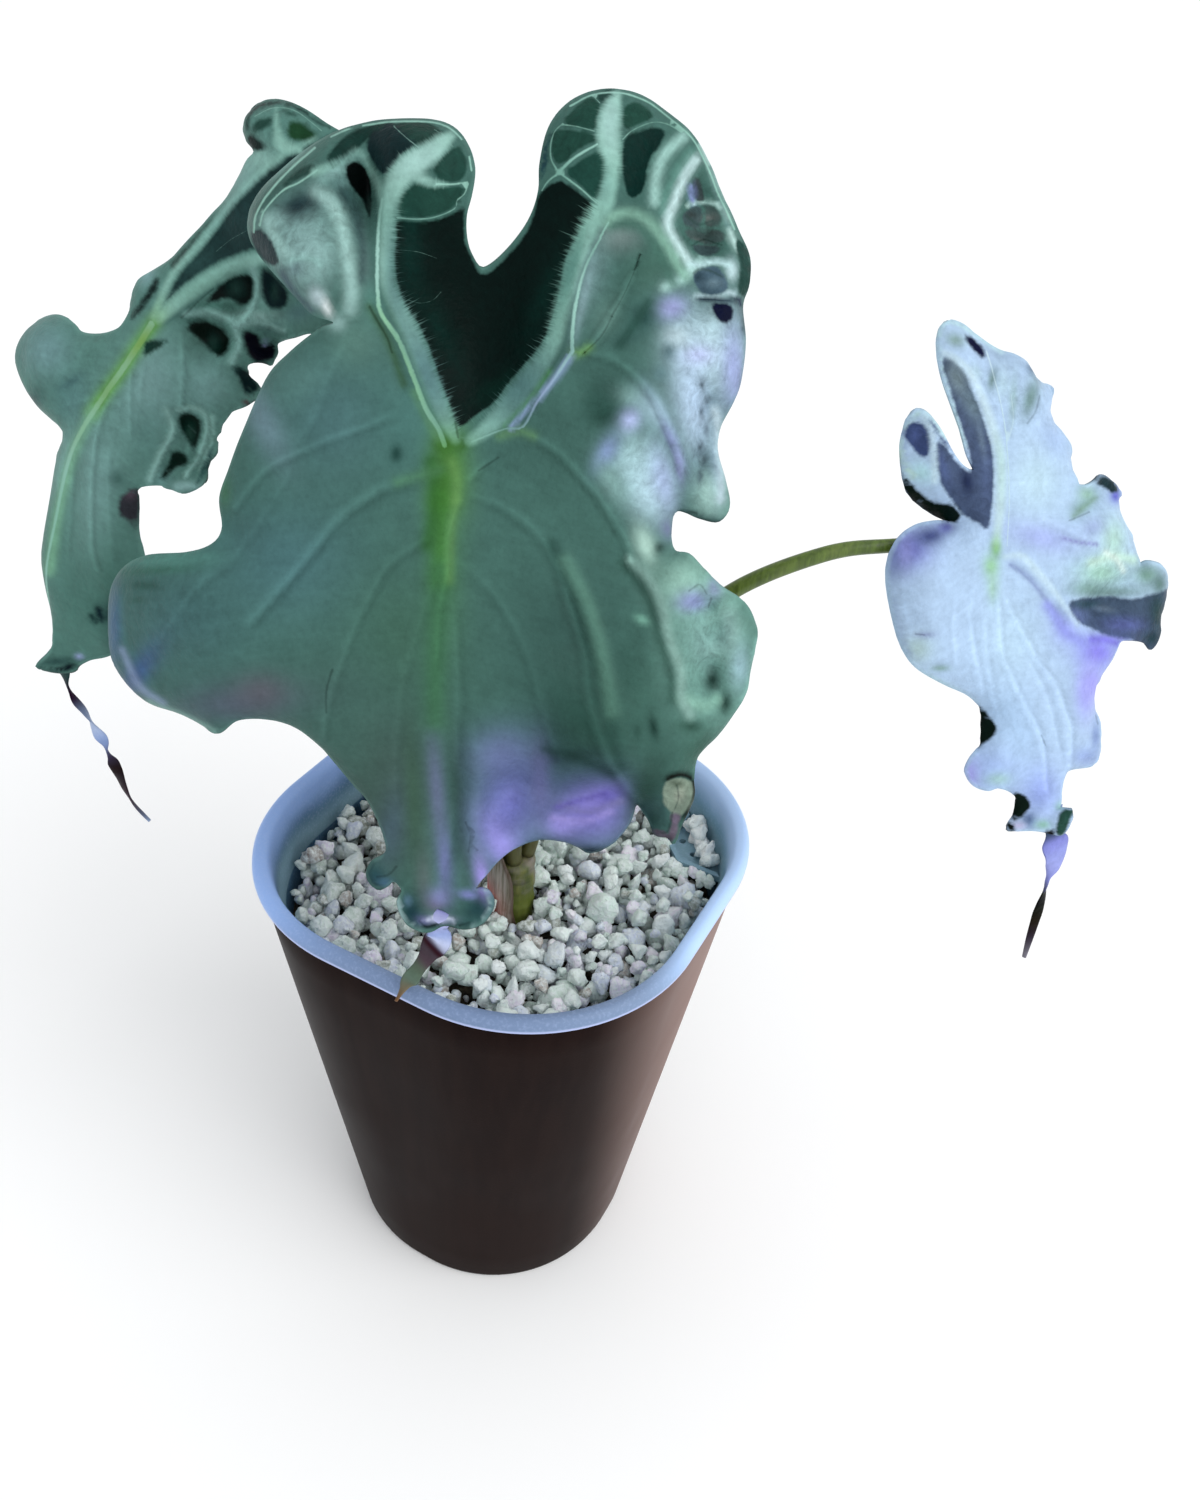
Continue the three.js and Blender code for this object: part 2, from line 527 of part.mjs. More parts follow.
// A loop with the midpoints added of those of its edges that the triangles miss
function refineLoop(loop, triangles) {
  const edges = new Set();
  for (const [a, b, c] of triangles) {
    for (const [from, to] of [[a, b], [b, c], [c, a]]) {
      edges.add(`${Math.min(from, to)}_${Math.max(from, to)}`);
    }
  }
  const refined = [];
  loop.forEach((p, i) => {
    const j = (i + 1) % loop.length;
    const next = loop[j];
    refined.push(p);
    if (!edges.has(`${Math.min(i, j)}_${Math.max(i, j)}`)) {
      refined.push(p.map((value, k) => (value + next[k]) / 2));
    }
  });
  return refined;
}

function loopArea(loop) {
  return loop.reduce((sum, [x, y], i) => {
    const [nextX, nextY] = loop[(i + 1) % loop.length];
    return sum + (x * nextY - y * nextX) / 2;
  }, 0);
}

// Triangles that fill a loop, over its own points, points along given lines, and a staggered grid
function fillLoop(givenLoop, spacing, lines, random) {
  const outline = loopArea(givenLoop) > 0 ? givenLoop : [...givenLoop].reverse();
  const inner = [];
  const clear = (x, y, room) => [...outline, ...inner].every((p) => Math.hypot(p[0] - x, p[1] - y) > room);
  for (const line of lines) {
    for (const [x, y] of smoothLine(line, spacing, false)) {
      if (insideLoop(x, y, outline) && clear(x, y, spacing * LINE_ROOM)) {
        inner.push([x, y]);
      }
    }
  }
  const xs = outline.map((p) => p[0]);
  const ys = outline.map((p) => p[1]);
  const rowHeight = spacing * Math.sqrt(3) / 2;
  let row = 0;
  for (let y = Math.min(...ys); y < Math.max(...ys); y += rowHeight, row++) {
    for (let x = Math.min(...xs) + (row % 2) * spacing / 2; x < Math.max(...xs); x += spacing) {
      const px = x + (random() - 0.5) * spacing * GRID_JITTER;
      const py = y + (random() - 0.5) * spacing * GRID_JITTER;
      if (insideLoop(px, py, outline) && clear(px, py, spacing * GRID_ROOM)) {
        inner.push([px, py]);
      }
    }
  }
  let loop = outline;
  let all = delaunay([...loop, ...inner]);
  let refined = refineLoop(loop, all);
  while (refined.length > loop.length) {
    loop = refined;
    all = delaunay([...loop, ...inner]);
    refined = refineLoop(loop, all);
  }
  const points = [...loop, ...inner].map(([x, y]) => [x, y]);
  const middle = ([a, b, c], k) => (points[a][k] + points[b][k] + points[c][k]) / 3;
  const triangles = all.filter((t) => insideLoop(middle(t, 0), middle(t, 1), loop));
  return { loop, points, triangles };
}

// A closed sheet: two faces over the same triangles, and a strip round the loop
function sheetGeometry(points, triangles, loopLength, upper, lower) {
  const count = points.length;
  const position = [...points.map(upper), ...points.map(lower)].flatMap((p) => [p.x, p.y, p.z]);
  const index = [];
  for (const [a, b, c] of triangles) {
    index.push(a, b, c, count + c, count + b, count + a);
  }
  for (let i = 0; i < loopLength; i++) {
    const j = (i + 1) % loopLength;
    index.push(j, i, count + i, j, count + i, count + j);
  }
  return closedGeometry(position, index);
}

// A geometry with its faces turned outward
function closedGeometry(position, index) {
  let volume = 0;
  const corner = (k) => new THREE.Vector3().fromArray(position, 3 * k);
  for (let i = 0; i < index.length; i += 3) {
    volume += corner(index[i]).dot(corner(index[i + 1]).cross(corner(index[i + 2])));
  }
  const turned = [...index];
  if (volume < 0) {
    turned.reverse();
  }
  const geometry = new THREE.BufferGeometry();
  geometry.setAttribute('position', new THREE.Float32BufferAttribute(position, 3));
  geometry.setIndex(turned);
  return geometry;
}

// Rings of points joined into one closed skin, with a flat cap on the first and the last ring
function ringSkin(rings) {
  const n = rings[0].length;
  const position = rings.flat().flatMap((p) => [p.x, p.y, p.z]);
  const index = [];
  for (let r = 0; r + 1 < rings.length; r++) {
    for (let i = 0; i < n; i++) {
      const j = (i + 1) % n;
      const low = r * n;
      const high = low + n;
      index.push(low + i, low + j, high + j, low + i, high + j, high + i);
    }
  }
  const last = (rings.length - 1) * n;
  for (let i = 1; i + 1 < n; i++) {
    index.push(0, i + 1, i, last, last + i, last + i + 1);
  }
  return closedGeometry(position, index);
}

// One turn of a rounded square
function roundedSquare(side, cornerRadius, z) {
  const reach = side / 2 - cornerRadius;
  const ring = [];
  for (let quarter = 0; quarter < 4; quarter++) {
    const [signX, signY] = [[1, 1], [-1, 1], [-1, -1], [1, -1]][quarter];
    for (let step = 0; step <= CORNER_STEPS; step++) {
      const angle = (quarter + step / CORNER_STEPS) * Math.PI / 2;
      ring.push(new THREE.Vector3(
        signX * reach + cornerRadius * Math.cos(angle),
        signY * reach + cornerRadius * Math.sin(angle),
        z,
      ));
    }
  }
  return ring;
}

// A tube of oval rings along a path, with its own half-widths and turn at each point
function ovalSweep(stations, sides, startSide) {
  const curve = new THREE.CatmullRomCurve3(stations.map((s) => s.point), false, 'catmullrom', 0.5);
  let side = startSide.clone();
  const rings = stations.map((station, k) => {
    const tangent = curve.getTangent(k / (stations.length - 1));
    side = side.clone().addScaledVector(tangent, -side.dot(tangent)).normalize();
    const normal = tangent.clone().cross(side);
    const turn = THREE.MathUtils.degToRad(station.turn ?? 0);
    const wideAxis = side.clone().multiplyScalar(Math.cos(turn)).addScaledVector(normal, Math.sin(turn));
    const thinAxis = normal.clone().multiplyScalar(Math.cos(turn)).addScaledVector(side, -Math.sin(turn));
    const ring = [];
    for (let i = 0; i < sides; i++) {
      const angle = 2 * Math.PI * i / sides;
      ring.push(station.point.clone()
        .addScaledVector(wideAxis, station.wide * Math.cos(angle))
        .addScaledVector(thinAxis, station.thin * Math.sin(angle)));
    }
    return ring;
  });
  return ringSkin(rings);
}

function toSolid(geometry) {
  const bare = geometry.clone();
  bare.deleteAttribute('normal');
  bare.deleteAttribute('uv');
  const merged = mergeVertices(bare, 1e-4);
  return new wasm.Manifold(new wasm.Mesh({
    numProp: 3,
    vertProperties: new Float32Array(merged.attributes.position.array),
    triVerts: new Uint32Array(merged.index.array),
  }));
}

function fromSolid(solid) {
  const mesh = solid.getMesh();
  const geometry = new THREE.BufferGeometry();
  geometry.setAttribute('position', new THREE.Float32BufferAttribute(mesh.vertProperties, 3));
  geometry.setIndex([...mesh.triVerts]);
  return geometry;
}

// A straight prism over a flat outline
function prism(outline, bottom, top) {
  const shape = new THREE.Shape(outline.map(([x, y]) => new THREE.Vector2(x, y)));
  const geometry = new THREE.ExtrudeGeometry(shape, { depth: top - bottom, bevelEnabled: false });
  geometry.translate(0, 0, bottom);
  return geometry;
}

function post(x, y, radius, bottom, top, sides) {
  const geometry = new THREE.CylinderGeometry(radius, radius, top - bottom, sides);
  geometry.rotateX(Math.PI / 2);
  geometry.translate(x, y, (top + bottom) / 2);
  return geometry;
}

function namedMesh(name, geometry, color, roughness, options = {}) {
  const faceted = geometry.index ? geometry.toNonIndexed() : geometry;
  faceted.computeVertexNormals();
  const material = new THREE.MeshStandardMaterial({ color, roughness, metalness: 0, ...options });
  const mesh = new THREE.Mesh(faceted, material);
  mesh.name = name;
  return mesh;
}

// Side of the liner's outer wall at a height
function linerSide(z) {
  const t = (z - LINER_FOOT_Z) / (POT_HEIGHT - LINER_FOOT_Z);
  return LINER_FOOT_SIDE + t * (LINER_TOP_SIDE - LINER_FOOT_SIDE);
}

// A ring inside the liner's outer wall, pulled in by an inset
function linerRing(z, inset) {
  const t = (z - LINER_FOOT_Z) / (POT_HEIGHT - LINER_FOOT_Z);
  const corner = LINER_FOOT_CORNER + t * (LINER_TOP_CORNER - LINER_FOOT_CORNER);
  return roundedSquare(linerSide(z) - 2 * inset, corner - inset, z);
}

function outerPot() {
  const flare = POT_FOOT_CHAMFER;
  return ringSkin([
    roundedSquare(POT_FOOT_SIDE - 2 * flare, POT_FOOT_CORNER - flare, 0),
    roundedSquare(POT_FOOT_SIDE, POT_FOOT_CORNER, flare),
    roundedSquare(POT_RIM_SIDE, POT_RIM_CORNER, POT_HEIGHT - POT_RIM_ROUND),
    roundedSquare(POT_RIM_SIDE - 2 * POT_RIM_ROUND, POT_RIM_CORNER - POT_RIM_ROUND, POT_HEIGHT),
    roundedSquare(POT_RIM_SIDE - 2 * POT_WALL, POT_RIM_CORNER - POT_WALL, POT_HEIGHT),
    roundedSquare(POT_FOOT_SIDE - 2 * POT_WALL, POT_FOOT_CORNER - POT_WALL, POT_FLOOR),
  ]);
}

// Flat outline of the shelf, run on past the liner's wall on two sides
function shelfOutline(inset) {
  const far = LINER_TOP_SIDE / 2;
  const x = SHELF_SIDE_X + inset;
  const y = SHELF_SIDE_Y + inset;
  const cut = SHELF_CHAMFER - inset * 0.6;
  return [[x, y + cut], [x + cut, y], [far, y], [far, far], [x, far]];
}

function innerPot() {
  const lipFoot = POT_HEIGHT + SEAT_GAP;
  const lipTop = lipFoot + LIP_HEIGHT;
  const mouth = LINER_TOP_SIDE - 2 * LINER_WALL;
  const mouthCorner = LINER_TOP_CORNER - LINER_WALL;
  const lip = LIP_PROFILE.map(([inset, rise]) => (
    roundedSquare(LIP_SIDE - 2 * inset, LIP_CORNER - inset, lipFoot + rise)
  ));
  const shell = toSolid(ringSkin([
    linerRing(LINER_FOOT_Z, 0),
    linerRing(POT_HEIGHT, 0),
    roundedSquare(LINER_TOP_SIDE, LINER_TOP_CORNER, lipFoot),
    ...lip,
    roundedSquare(mouth + 2 * MOUTH_EDGE, mouthCorner + MOUTH_EDGE, lipTop - MOUTH_EDGE_DROP),
    roundedSquare(mouth, mouthCorner, lipTop - MOUTH_DEPTH),
    linerRing(LINER_FOOT_Z + LINER_WALL, LINER_WALL),
  ]));
  const shelfFoot = SHELF_TOP - SHELF_THICKNESS;
  const bandTop = SHELF_TOP + SHELF_BAND_HEIGHT;
  const cutFoot = shelfFoot - CUT_MARGIN;
  const cavity = toSolid(ringSkin([
    linerRing(cutFoot, LINER_WALL / 2),
    linerRing(POT_HEIGHT, LINER_WALL / 2),
  ]));
  const plate = toSolid(prism(shelfOutline(0), shelfFoot, SHELF_TOP));
  const band = toSolid(prism(shelfOutline(0), shelfFoot, bandTop))
    .subtract(toSolid(prism(shelfOutline(SHELF_BAND_WIDTH), cutFoot, bandTop + CUT_MARGIN)));
  let liner = shell.add(plate.add(band).intersect(cavity));
  const cutHole = (x, y, diameter, bottom, top, sides) => {
    const hole = post(x, y, diameter / 2, bottom - CUT_MARGIN, top + CUT_MARGIN, sides);
    liner = liner.subtract(toSolid(hole));
  };
  for (const [x, y] of SHELF_HOLES) {
    cutHole(x, y, SHELF_HOLE_DIAMETER, shelfFoot, SHELF_TOP, SHELF_HOLE_SIDES);
  }
  const linerFloor = LINER_FOOT_Z + LINER_WALL;
  for (let i = -DRAIN_HOLE_REACH; i <= DRAIN_HOLE_REACH; i++) {
    for (let j = -DRAIN_HOLE_REACH; j <= DRAIN_HOLE_REACH; j++) {
      const x = i * DRAIN_HOLE_PITCH;
      const y = j * DRAIN_HOLE_PITCH;
      cutHole(x, y, DRAIN_HOLE_DIAMETER, LINER_FOOT_Z, linerFloor, DRAIN_HOLE_SIDES);
    }
  }
  return fromSolid(liner);
}

// The bed: it fills the liner, its top is raised into grains, and it has a plain hole for the stem
function substrate() {
  const random = seededRandom(BED_SEED);
  const inset = LINER_WALL + SEAT_GAP;
  const half = LINER_TOP_SIDE / 2 + GRAIN_PITCH;
  const square = [[-half, -half, 0], [half, -half, 0], [half, half, 0], [-half, half, 0]];
  const { loop, points, triangles } = fillLoop(square, GRAIN_PITCH, [], random);
  const lift = points.map(() => {
    const share = random() < TALL_GRAIN_SHARE ? 1 : LOW_GRAIN_LIFT;
    return GRAIN_HEIGHT * share * random();
  });
  const block = sheetGeometry(
    points.map(([x, y], i) => [x, y, BED_TOP + lift[i]]),
    triangles,
    loop.length,
    ([x, y, z]) => new THREE.Vector3(x, y, z),
    ([x, y]) => new THREE.Vector3(x, y, 0),
  );
  const room = ringSkin([
    linerRing(LINER_FOOT_Z + LINER_WALL + SEAT_GAP, inset),
    linerRing(POT_HEIGHT, inset),
  ]);
  const shelfRoom = prism(shelfOutline(-SEAT_GAP), SHELF_TOP - SHELF_THICKNESS - SEAT_GAP, POT_HEIGHT);
  const holeFoot = STEM_FOOT_Z - SEAT_GAP;
  const stemHole = post(STEM.x, STEM.y, STEM_HOLE_RADIUS, holeFoot, POT_HEIGHT, STEM_HOLE_SIDES);
  return fromSolid(toSolid(block)
    .intersect(toSolid(room))
    .subtract(toSolid(shelfRoom))
    .subtract(toSolid(stemHole)));
}

// A few loose grains that lie together on the shelf
function shelfGrains() {
  const random = seededRandom(SHELF_SEED);
  const wallGap = LINER_WALL + SEAT_GAP;
  const grains = SHELF_GRAINS.map(([x, y, height, radius]) => {
    const grain = new THREE.IcosahedronGeometry(radius, 1);
    grain.scale(1, 1, GRAIN_FLATNESS);
    grain.rotateZ(random() * Math.PI);
    grain.translate(x, y, SHELF_TOP + height);
    return toSolid(grain);
  });
  const heap = grains.reduce((sum, grain) => sum.add(grain));
  const room = toSolid(ringSkin([
    linerRing(SHELF_TOP - CUT_MARGIN, wallGap),
    linerRing(POT_HEIGHT, wallGap),
  ]));
  const inBand = prism(shelfOutline(SHELF_BAND_WIDTH + SEAT_GAP), SHELF_TOP + SEAT_GAP, POT_HEIGHT);
  return fromSolid(heap.intersect(room).intersect(toSolid(inBand)));
}

function stemBase() {
  const stations = STEM_PROFILE.map(([z, share]) => ({
    point: new THREE.Vector3(STEM.x, STEM.y, z),
    wide: STEM_RADIUS * share,
    thin: STEM_RADIUS * share,
  }));
  return ovalSweep(stations, STEM_SIDES, new THREE.Vector3(1, 0, 0));
}

// The dry sheath: a curved sheet that wraps the stem's left side and ends in a point
function cataphyll() {
  const corners = SHEATH_OUTLINE.map(([s, z]) => [s, z, 0]);
  const edge = smoothLine(corners, SHEATH_SPACING, true);
  const { loop, points, triangles } = fillLoop(edge, SHEATH_SPACING, [], seededRandom(SHEATH_SEED));
  const middle = THREE.MathUtils.degToRad(SHEATH_AZIMUTH);
  const place = ([s, z], radius) => {
    const angle = middle + s / SHEATH_RADIUS;
    return new THREE.Vector3(STEM.x + radius * Math.cos(angle), STEM.y + radius * Math.sin(angle), z);
  };
  return sheetGeometry(
    points,
    triangles,
    loop.length,
    (p) => place(p, SHEATH_RADIUS + SHEATH_THICKNESS),
    (p) => place(p, SHEATH_RADIUS),
  );
}

// A blade: its chart, its outline there, and the surface over any chart point
function layOutBlade(blade) {
  const chart = bladeChart(blade);
  const flatPlace = (x, y) => toChart(chart, meetPlane(chart, [x, y], 0));
  const domes = blade.domes.map(([x, y, ...rest]) => [...flatPlace(x, y), ...rest]);
  const bare = (u, v) => bulge(blade, domes, u, v);
  const corners = blade.outline.map(([x, y, lift]) => {
    const place = chartPoint(chart, [x, y], (u, v) => bare(u, v) + lift);
    return [...place, lift];
  });
  const outline = smoothLine(corners, OUTLINE_SPACING, true);
  const veins = blade.veins.map((vein) => ({
    width: vein.width,
    line: smoothLine(vein.line.map((p) => chartPoint(chart, p, bare)), BLADE_SPACING, false),
  }));
  const height = (u, v) => {
    const [distance, lift] = nearestOnLine(u, v, outline, true);
    const reach = Math.min(1, distance / EDGE_REACH);
    return bare(u, v) + lift * (1 - reach) ** EDGE_POWER;
  };
  const surface = (u, v, w) => chart.origin.clone()
    .addScaledVector(chart.across, u)
    .addScaledVector(chart.along, v)
    .addScaledVector(chart.out, w);
  const normal = (u, v) => {
    const slopeU = (height(u + SLOPE_STEP, v) - height(u - SLOPE_STEP, v)) / (2 * SLOPE_STEP);
    const slopeV = (height(u, v + SLOPE_STEP) - height(u, v - SLOPE_STEP)) / (2 * SLOPE_STEP);
    return chart.out.clone()
      .addScaledVector(chart.across, -slopeU)
      .addScaledVector(chart.along, -slopeV)
      .normalize();
  };
  return { chart, outline, veins, height, surface, normal };
}

// How far the veins stand out of the lower face
function ribHeight(veins, u, v) {
  let most = 0;
  for (const vein of veins) {
    const [distance] = nearestOnLine(u, v, vein.line, false);
    most = Math.max(most, RIB_HEIGHT * vein.width / 2 * Math.exp(-((distance / RIB_WIDTH) ** 2)));
  }
  return most;
}

function leafBlade(blade, seed) {
  const { chart, outline, veins, height, surface, normal } = layOutBlade(blade);
  const lines = veins.map((vein) => vein.line);
  const { loop, points, triangles } = fillLoop(outline, BLADE_SPACING, lines, seededRandom(seed));
  const half = BLADE_THICKNESS / 2;
  const upper = ([u, v]) => surface(u, v, height(u, v)).addScaledVector(normal(u, v), half);
  const lower = ([u, v]) => surface(u, v, height(u, v))
    .addScaledVector(normal(u, v), -half - ribHeight(veins, u, v));
  const sheet = sheetGeometry(points, triangles, loop.length, upper, lower);
  const stations = blade.tail.map(([x, y, w, wide, turn]) => ({
    point: meetPlane(chart, [x, y], w),
    wide,
    thin: half,
    turn,
  }));
  const tail = ovalSweep(stations, TAIL_SIDES, chart.across);
  return fromSolid(toSolid(sheet).add(toSolid(tail)));
}

// A stalk from the top of the stem to the back of its blade, which it meets square on
function leafStalk(blade) {
  const { surface, height, normal } = layOutBlade(blade);
  const { route, radii } = blade.stalk;
  const behind = (distance) => surface(0, 0, height(0, 0)).addScaledVector(normal(0, 0), -distance);
  const points = [...route.map((p) => new THREE.Vector3(...p)), behind(STALK_TURN), behind(STALK_END_GAP)];
  const curve = new THREE.CatmullRomCurve3(points, false, 'catmullrom', 0.5);
  const steps = 2 * (points.length - 1);
  const stations = [];
  for (let i = 0; i <= steps; i++) {
    const k = Math.floor(i / 2);
    const radius = i % 2 ? (radii[k] + radii[k + 1]) / 2 : radii[k];
    stations.push({ point: curve.getPoint(i / steps), wide: radius, thin: radius });
  }
  return ovalSweep(stations, STALK_SIDES, new THREE.Vector3(1, 0, 0));
}

const plant = new THREE.Group();
plant.add(namedMesh('outer_pot', outerPot(), ...POT_LOOK));
plant.add(namedMesh('inner_pot', innerPot(), ...LINER_LOOK));
plant.add(namedMesh('substrate', substrate(), ...PUMICE_LOOK));
plant.add(namedMesh('shelf_grains', shelfGrains(), ...PUMICE_LOOK));
plant.add(namedMesh('stem_base', stemBase(), ...STEM_LOOK));
plant.add(namedMesh('cataphyll', cataphyll(), ...SHEATH_LOOK));
[FRONT, LEFT, RIGHT].forEach((blade, i) => {
  plant.add(namedMesh(blade.stalk.name, leafStalk(blade), ...STALK_LOOK));
  plant.add(namedMesh(blade.name, leafBlade(blade, BLADE_SEED + i), blade.color, LEAF_ROUGHNESS));
});

export default plant;
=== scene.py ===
# The looks of a potted alocasia: three waved and painted leaves, their stalks, pale pumice and two pots.
# The scene is in metres, and shapes are worked out in millimetres. Blades follow points on a sheet of 1200
# by 1500, which is looked at from an eye point.

import math

import bmesh
import bpy
import numpy as np
from mathutils import Matrix, Vector, noise
from mathutils.geometry import delaunay_2d_cdt


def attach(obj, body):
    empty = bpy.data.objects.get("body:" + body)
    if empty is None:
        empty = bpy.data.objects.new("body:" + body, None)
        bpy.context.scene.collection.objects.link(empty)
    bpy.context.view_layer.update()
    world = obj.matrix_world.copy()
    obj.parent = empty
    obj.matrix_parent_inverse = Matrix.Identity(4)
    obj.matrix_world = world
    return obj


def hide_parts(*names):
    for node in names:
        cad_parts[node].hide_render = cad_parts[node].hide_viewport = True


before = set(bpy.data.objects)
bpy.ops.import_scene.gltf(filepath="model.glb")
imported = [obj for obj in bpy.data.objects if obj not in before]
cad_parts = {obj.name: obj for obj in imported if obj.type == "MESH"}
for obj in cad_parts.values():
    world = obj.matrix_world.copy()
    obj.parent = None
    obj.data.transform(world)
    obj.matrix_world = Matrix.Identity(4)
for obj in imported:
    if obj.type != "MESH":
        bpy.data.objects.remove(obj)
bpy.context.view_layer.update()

MM = 0.001
TURN = 2 * math.pi

# Stands for any distance on the sheet that is out of reach
FAR = 60.0

# The eye point over the sheet, as in the leaf blades' own layout
EYE = np.array([108.9, -190.3, 328.4])
EYE_AZIMUTH = 24.506
EYE_ELEVATION = 37.378
EYE_ROLL = 5.632
EYE_FOCAL = 1200
SHEET_CENTRE = np.array([600, 750])
SHEET_LONG_SIDE = 1500
CAMERA_SENSOR = 36

# Leaf blades: their edges, the ribs on their backs and low swells as size and depth
BLADE_THICKNESS = 0.8
OUTLINE_SPACING = 2.9
EDGE_REACH = 7
EDGE_POWER = 2.4
RIM_ROUND = 0.2
RIB_HEIGHT = 0.8
RIB_REACH = 5
SWELLS = [(7, 0.22), (2.4, 0.07)]

# The mesh of a blade: jitter, margins, steps and gaps as shares of its spacing, and rounds of placing
GRID_SEED = 7
GRID_JITTER = 0.08
GRID_MARGIN = 0.6
ROW_STRETCH = 3.3
ROW_MARGIN = 0.7
ROW_CLEARANCE = 0.45
ROW_BREAK = 3
PLACING_ROUNDS = 8
ROW_ROUNDS = 6

# Paint over the sheet: steps along lines, how far each kind reaches, and light and shade on side veins
STROKE_STEP = 6
LINE_STEP = 5
SPREAD = 3
CELL_REACH = 12
LINE_REACH = 14
BAND_REACH = 40
BAND_PLACE_GAP = 500
SIDE_VEIN_FADE = 30
SIDE_VEIN_LIGHT = 0.36
SIDE_VEIN_SHADE = -0.3
CREASE_TAPER = 0.6
PAINT_SHARE = 0.82
LEAST_PAINT_SHARE = 0.15
LEAST_PAINT = 0.0005
GLOSS_SHARE = 0.006
LINE_GAIN = 1.05
RIM_UNDERSIDE = 0.3

# Drip tips and stalks
TAIL_STEP = 0.9
TAIL_SIDES = 12
TAIL_HALF_THICKNESS = 0.32
STALK_STEP = 1.2
STALK_SIDES = 28
STALK_END_GAP = 0.9
STALK_TURN = 6
STALK_END_SWELL = (1.02, 1.15)
STALK_FLARE = 0.35
STALK_FLARE_ROWS = 4

# The pots, the liner and the shelf
SEAT_GAP = 0.3
POT_HEIGHT = 131.2
POT_RIM_SIDE = 107
POT_RIM_CORNER = 40.5
POT_RIM_DROP = 0.6
POT_FOOT_SIDE = 78
POT_FOOT_CORNER = 37
POT_WALL = 1.4
POT_FLOOR = 2.5
LIP_SIDE = 110
LIP_CORNER = 42
LIP_HEIGHT = 3.1
LINER_TOP_SIDE = 103.6
LINER_TOP_CORNER = 38.8
LINER_FOOT_SIDE = 76
LINER_FOOT_CORNER = 36
LINER_WALL = 1
LINER_FOOT_Z = 24
SHELF_TOP = 120.5
SHELF_THICKNESS = 1.6
SHELF_SIDE = (29, 25.5)
SHELF_CHAMFER = 6
SHELF_CHAMFER_SHARE = 0.6
SHELF_SINK = 0.3
SHELF_BAND_HEIGHT = 1.8
SHELF_BAND_WIDTH = 1.3
SHELF_HOLES = [(32.5, 34.8), (37, 31.6)]
SHELF_HOLE_RADIUS = 0.9
SHELF_HOLE_SIDES = 24

# The foot's rounding as side lost and height, and the rim's as inset and drop
FOOT_PROFILE = [(3.4, 0), (2, 0.15), (0.8, 0.7), (0, 1.9)]
RIM_PROFILE = [(0.15, 0.2), (0.5, 0), (1.5, 0), (1.9, 0.3)]

# The lip, row by row. Outside: side lost, corner lost and height over its foot. Shoulder: side lost, corner
# lost and drop from its top. Inside: side gained over the mouth, corner gained and drop from its top.
LIP_OUTER = [(0.8, 0.4, 0), (0.1, 0, 0.25), (0, 0, 0.8), (0.2, 0, 1.8)]
LIP_SHOULDER = [(0.7, 0.3, 0.9), (1.6, 0.8, 0.3), (3, 1.5, 0)]
LIP_INNER = [(4.4, 1, 0.02), (2, 0, 0.3), (0.7, -0.8, 1), (0, -LINER_WALL, 2.2)]

# Where painted light and shade change the pots' colours: level directions, and distances and heights from
# which to which
LEVEL_RIGHT = (0.91, 0.41)
LEVEL_NEARER = (0.41, -0.91)
POT_LIT_SIDE = (24, 56)
LINER_WALL_SHADE_FADE = (-20, 35)
LINER_STRAIGHT_HALF = 13
LIP_LIGHT_FADE = (0, 50)
LIP_NEAR_SHADE_FADE = (30, 50)
LIP_LIT_Z = (124, 133.8)
UNDER_LIP_HIGHLIGHT_Z = (132.7, 132.1)
UNDER_LIP_HIGHLIGHT_REACH = (40.7, 41.3)
SHELF_LIT_Z = (118, 118.5)
SHELF_LIT_REACH = (37.2, 36.2)

# Grains on the shelf: the place of each, its height over the shelf and its radius
SHELF_GRAINS = [
    (42.2, 29.4, 1.3, 2.2), (40.2, 32.5, 1.3, 2.3), (37.9, 35.3, 1.3, 2.1), (35.3, 37.9, 1.3, 2.3),
    (32.5, 40.2, 1.3, 2.1), (40.9, 30.7, 3.7, 2.2), (36.4, 36.4, 3.7, 2.2), (33.7, 38.8, 3.6, 2),
]
SHELF_GRAIN_SWELL = 1.15

# The bed: sizes of grains with their shares, how they nest, tints with their shares, and painted shade that
# darkens the grains towards the left
BED_SEED = 3
BED_CORE_TOP = 112
BED_TOP = 121.5
GRAIN_COUNT = 1500
GRAIN_RADII = [1.2, 1.6, 2.1, 2.7, 3.6]
GRAIN_SHARES = [0.26, 0.31, 0.25, 0.13, 0.05]
GRAIN_SHARPNESS = 13
GRAIN_CUTS = 9
GRAIN_SHAPES = 14
GRAIN_TRIES = 6
GRAIN_NEST = 0.78
GRAIN_WALL_ROOM = 1.2
GRAIN_SHELF_ROOM = 0.4
GRAIN_OVERLAP = 0.7
GRAIN_HEAP = 3.6
GRAIN_FULL_CHANCE = 0.0015
GRAIN_TINTS = [
    ("#e3f2ea", 0.42), ("#d6dff6", 0.17), ("#e8def8", 0.14), ("#cfe3d8", 0.18), ("#a89a90", 0.05),
    ("#8a9080", 0.04),
]
# Whiter tints on the shelf: the grains' own pale colour, lifted by painted light in the dim corner
SHELF_LIT_TINTS = [("#f6fffc", 0.7), ("#e9f5f2", 0.3)]
GRAIN_SHADE = 0.86
GRAIN_SHADE_GAIN = 0.26
GRAIN_SHADE_REACH = 30
BANK_OFFSET = 1.7
BANK_ENDS = (45.2, 44)
BANK_STEP = 2.6
BANK_DROP = 0.4
BANK_RADII = (1.6, 2.5)

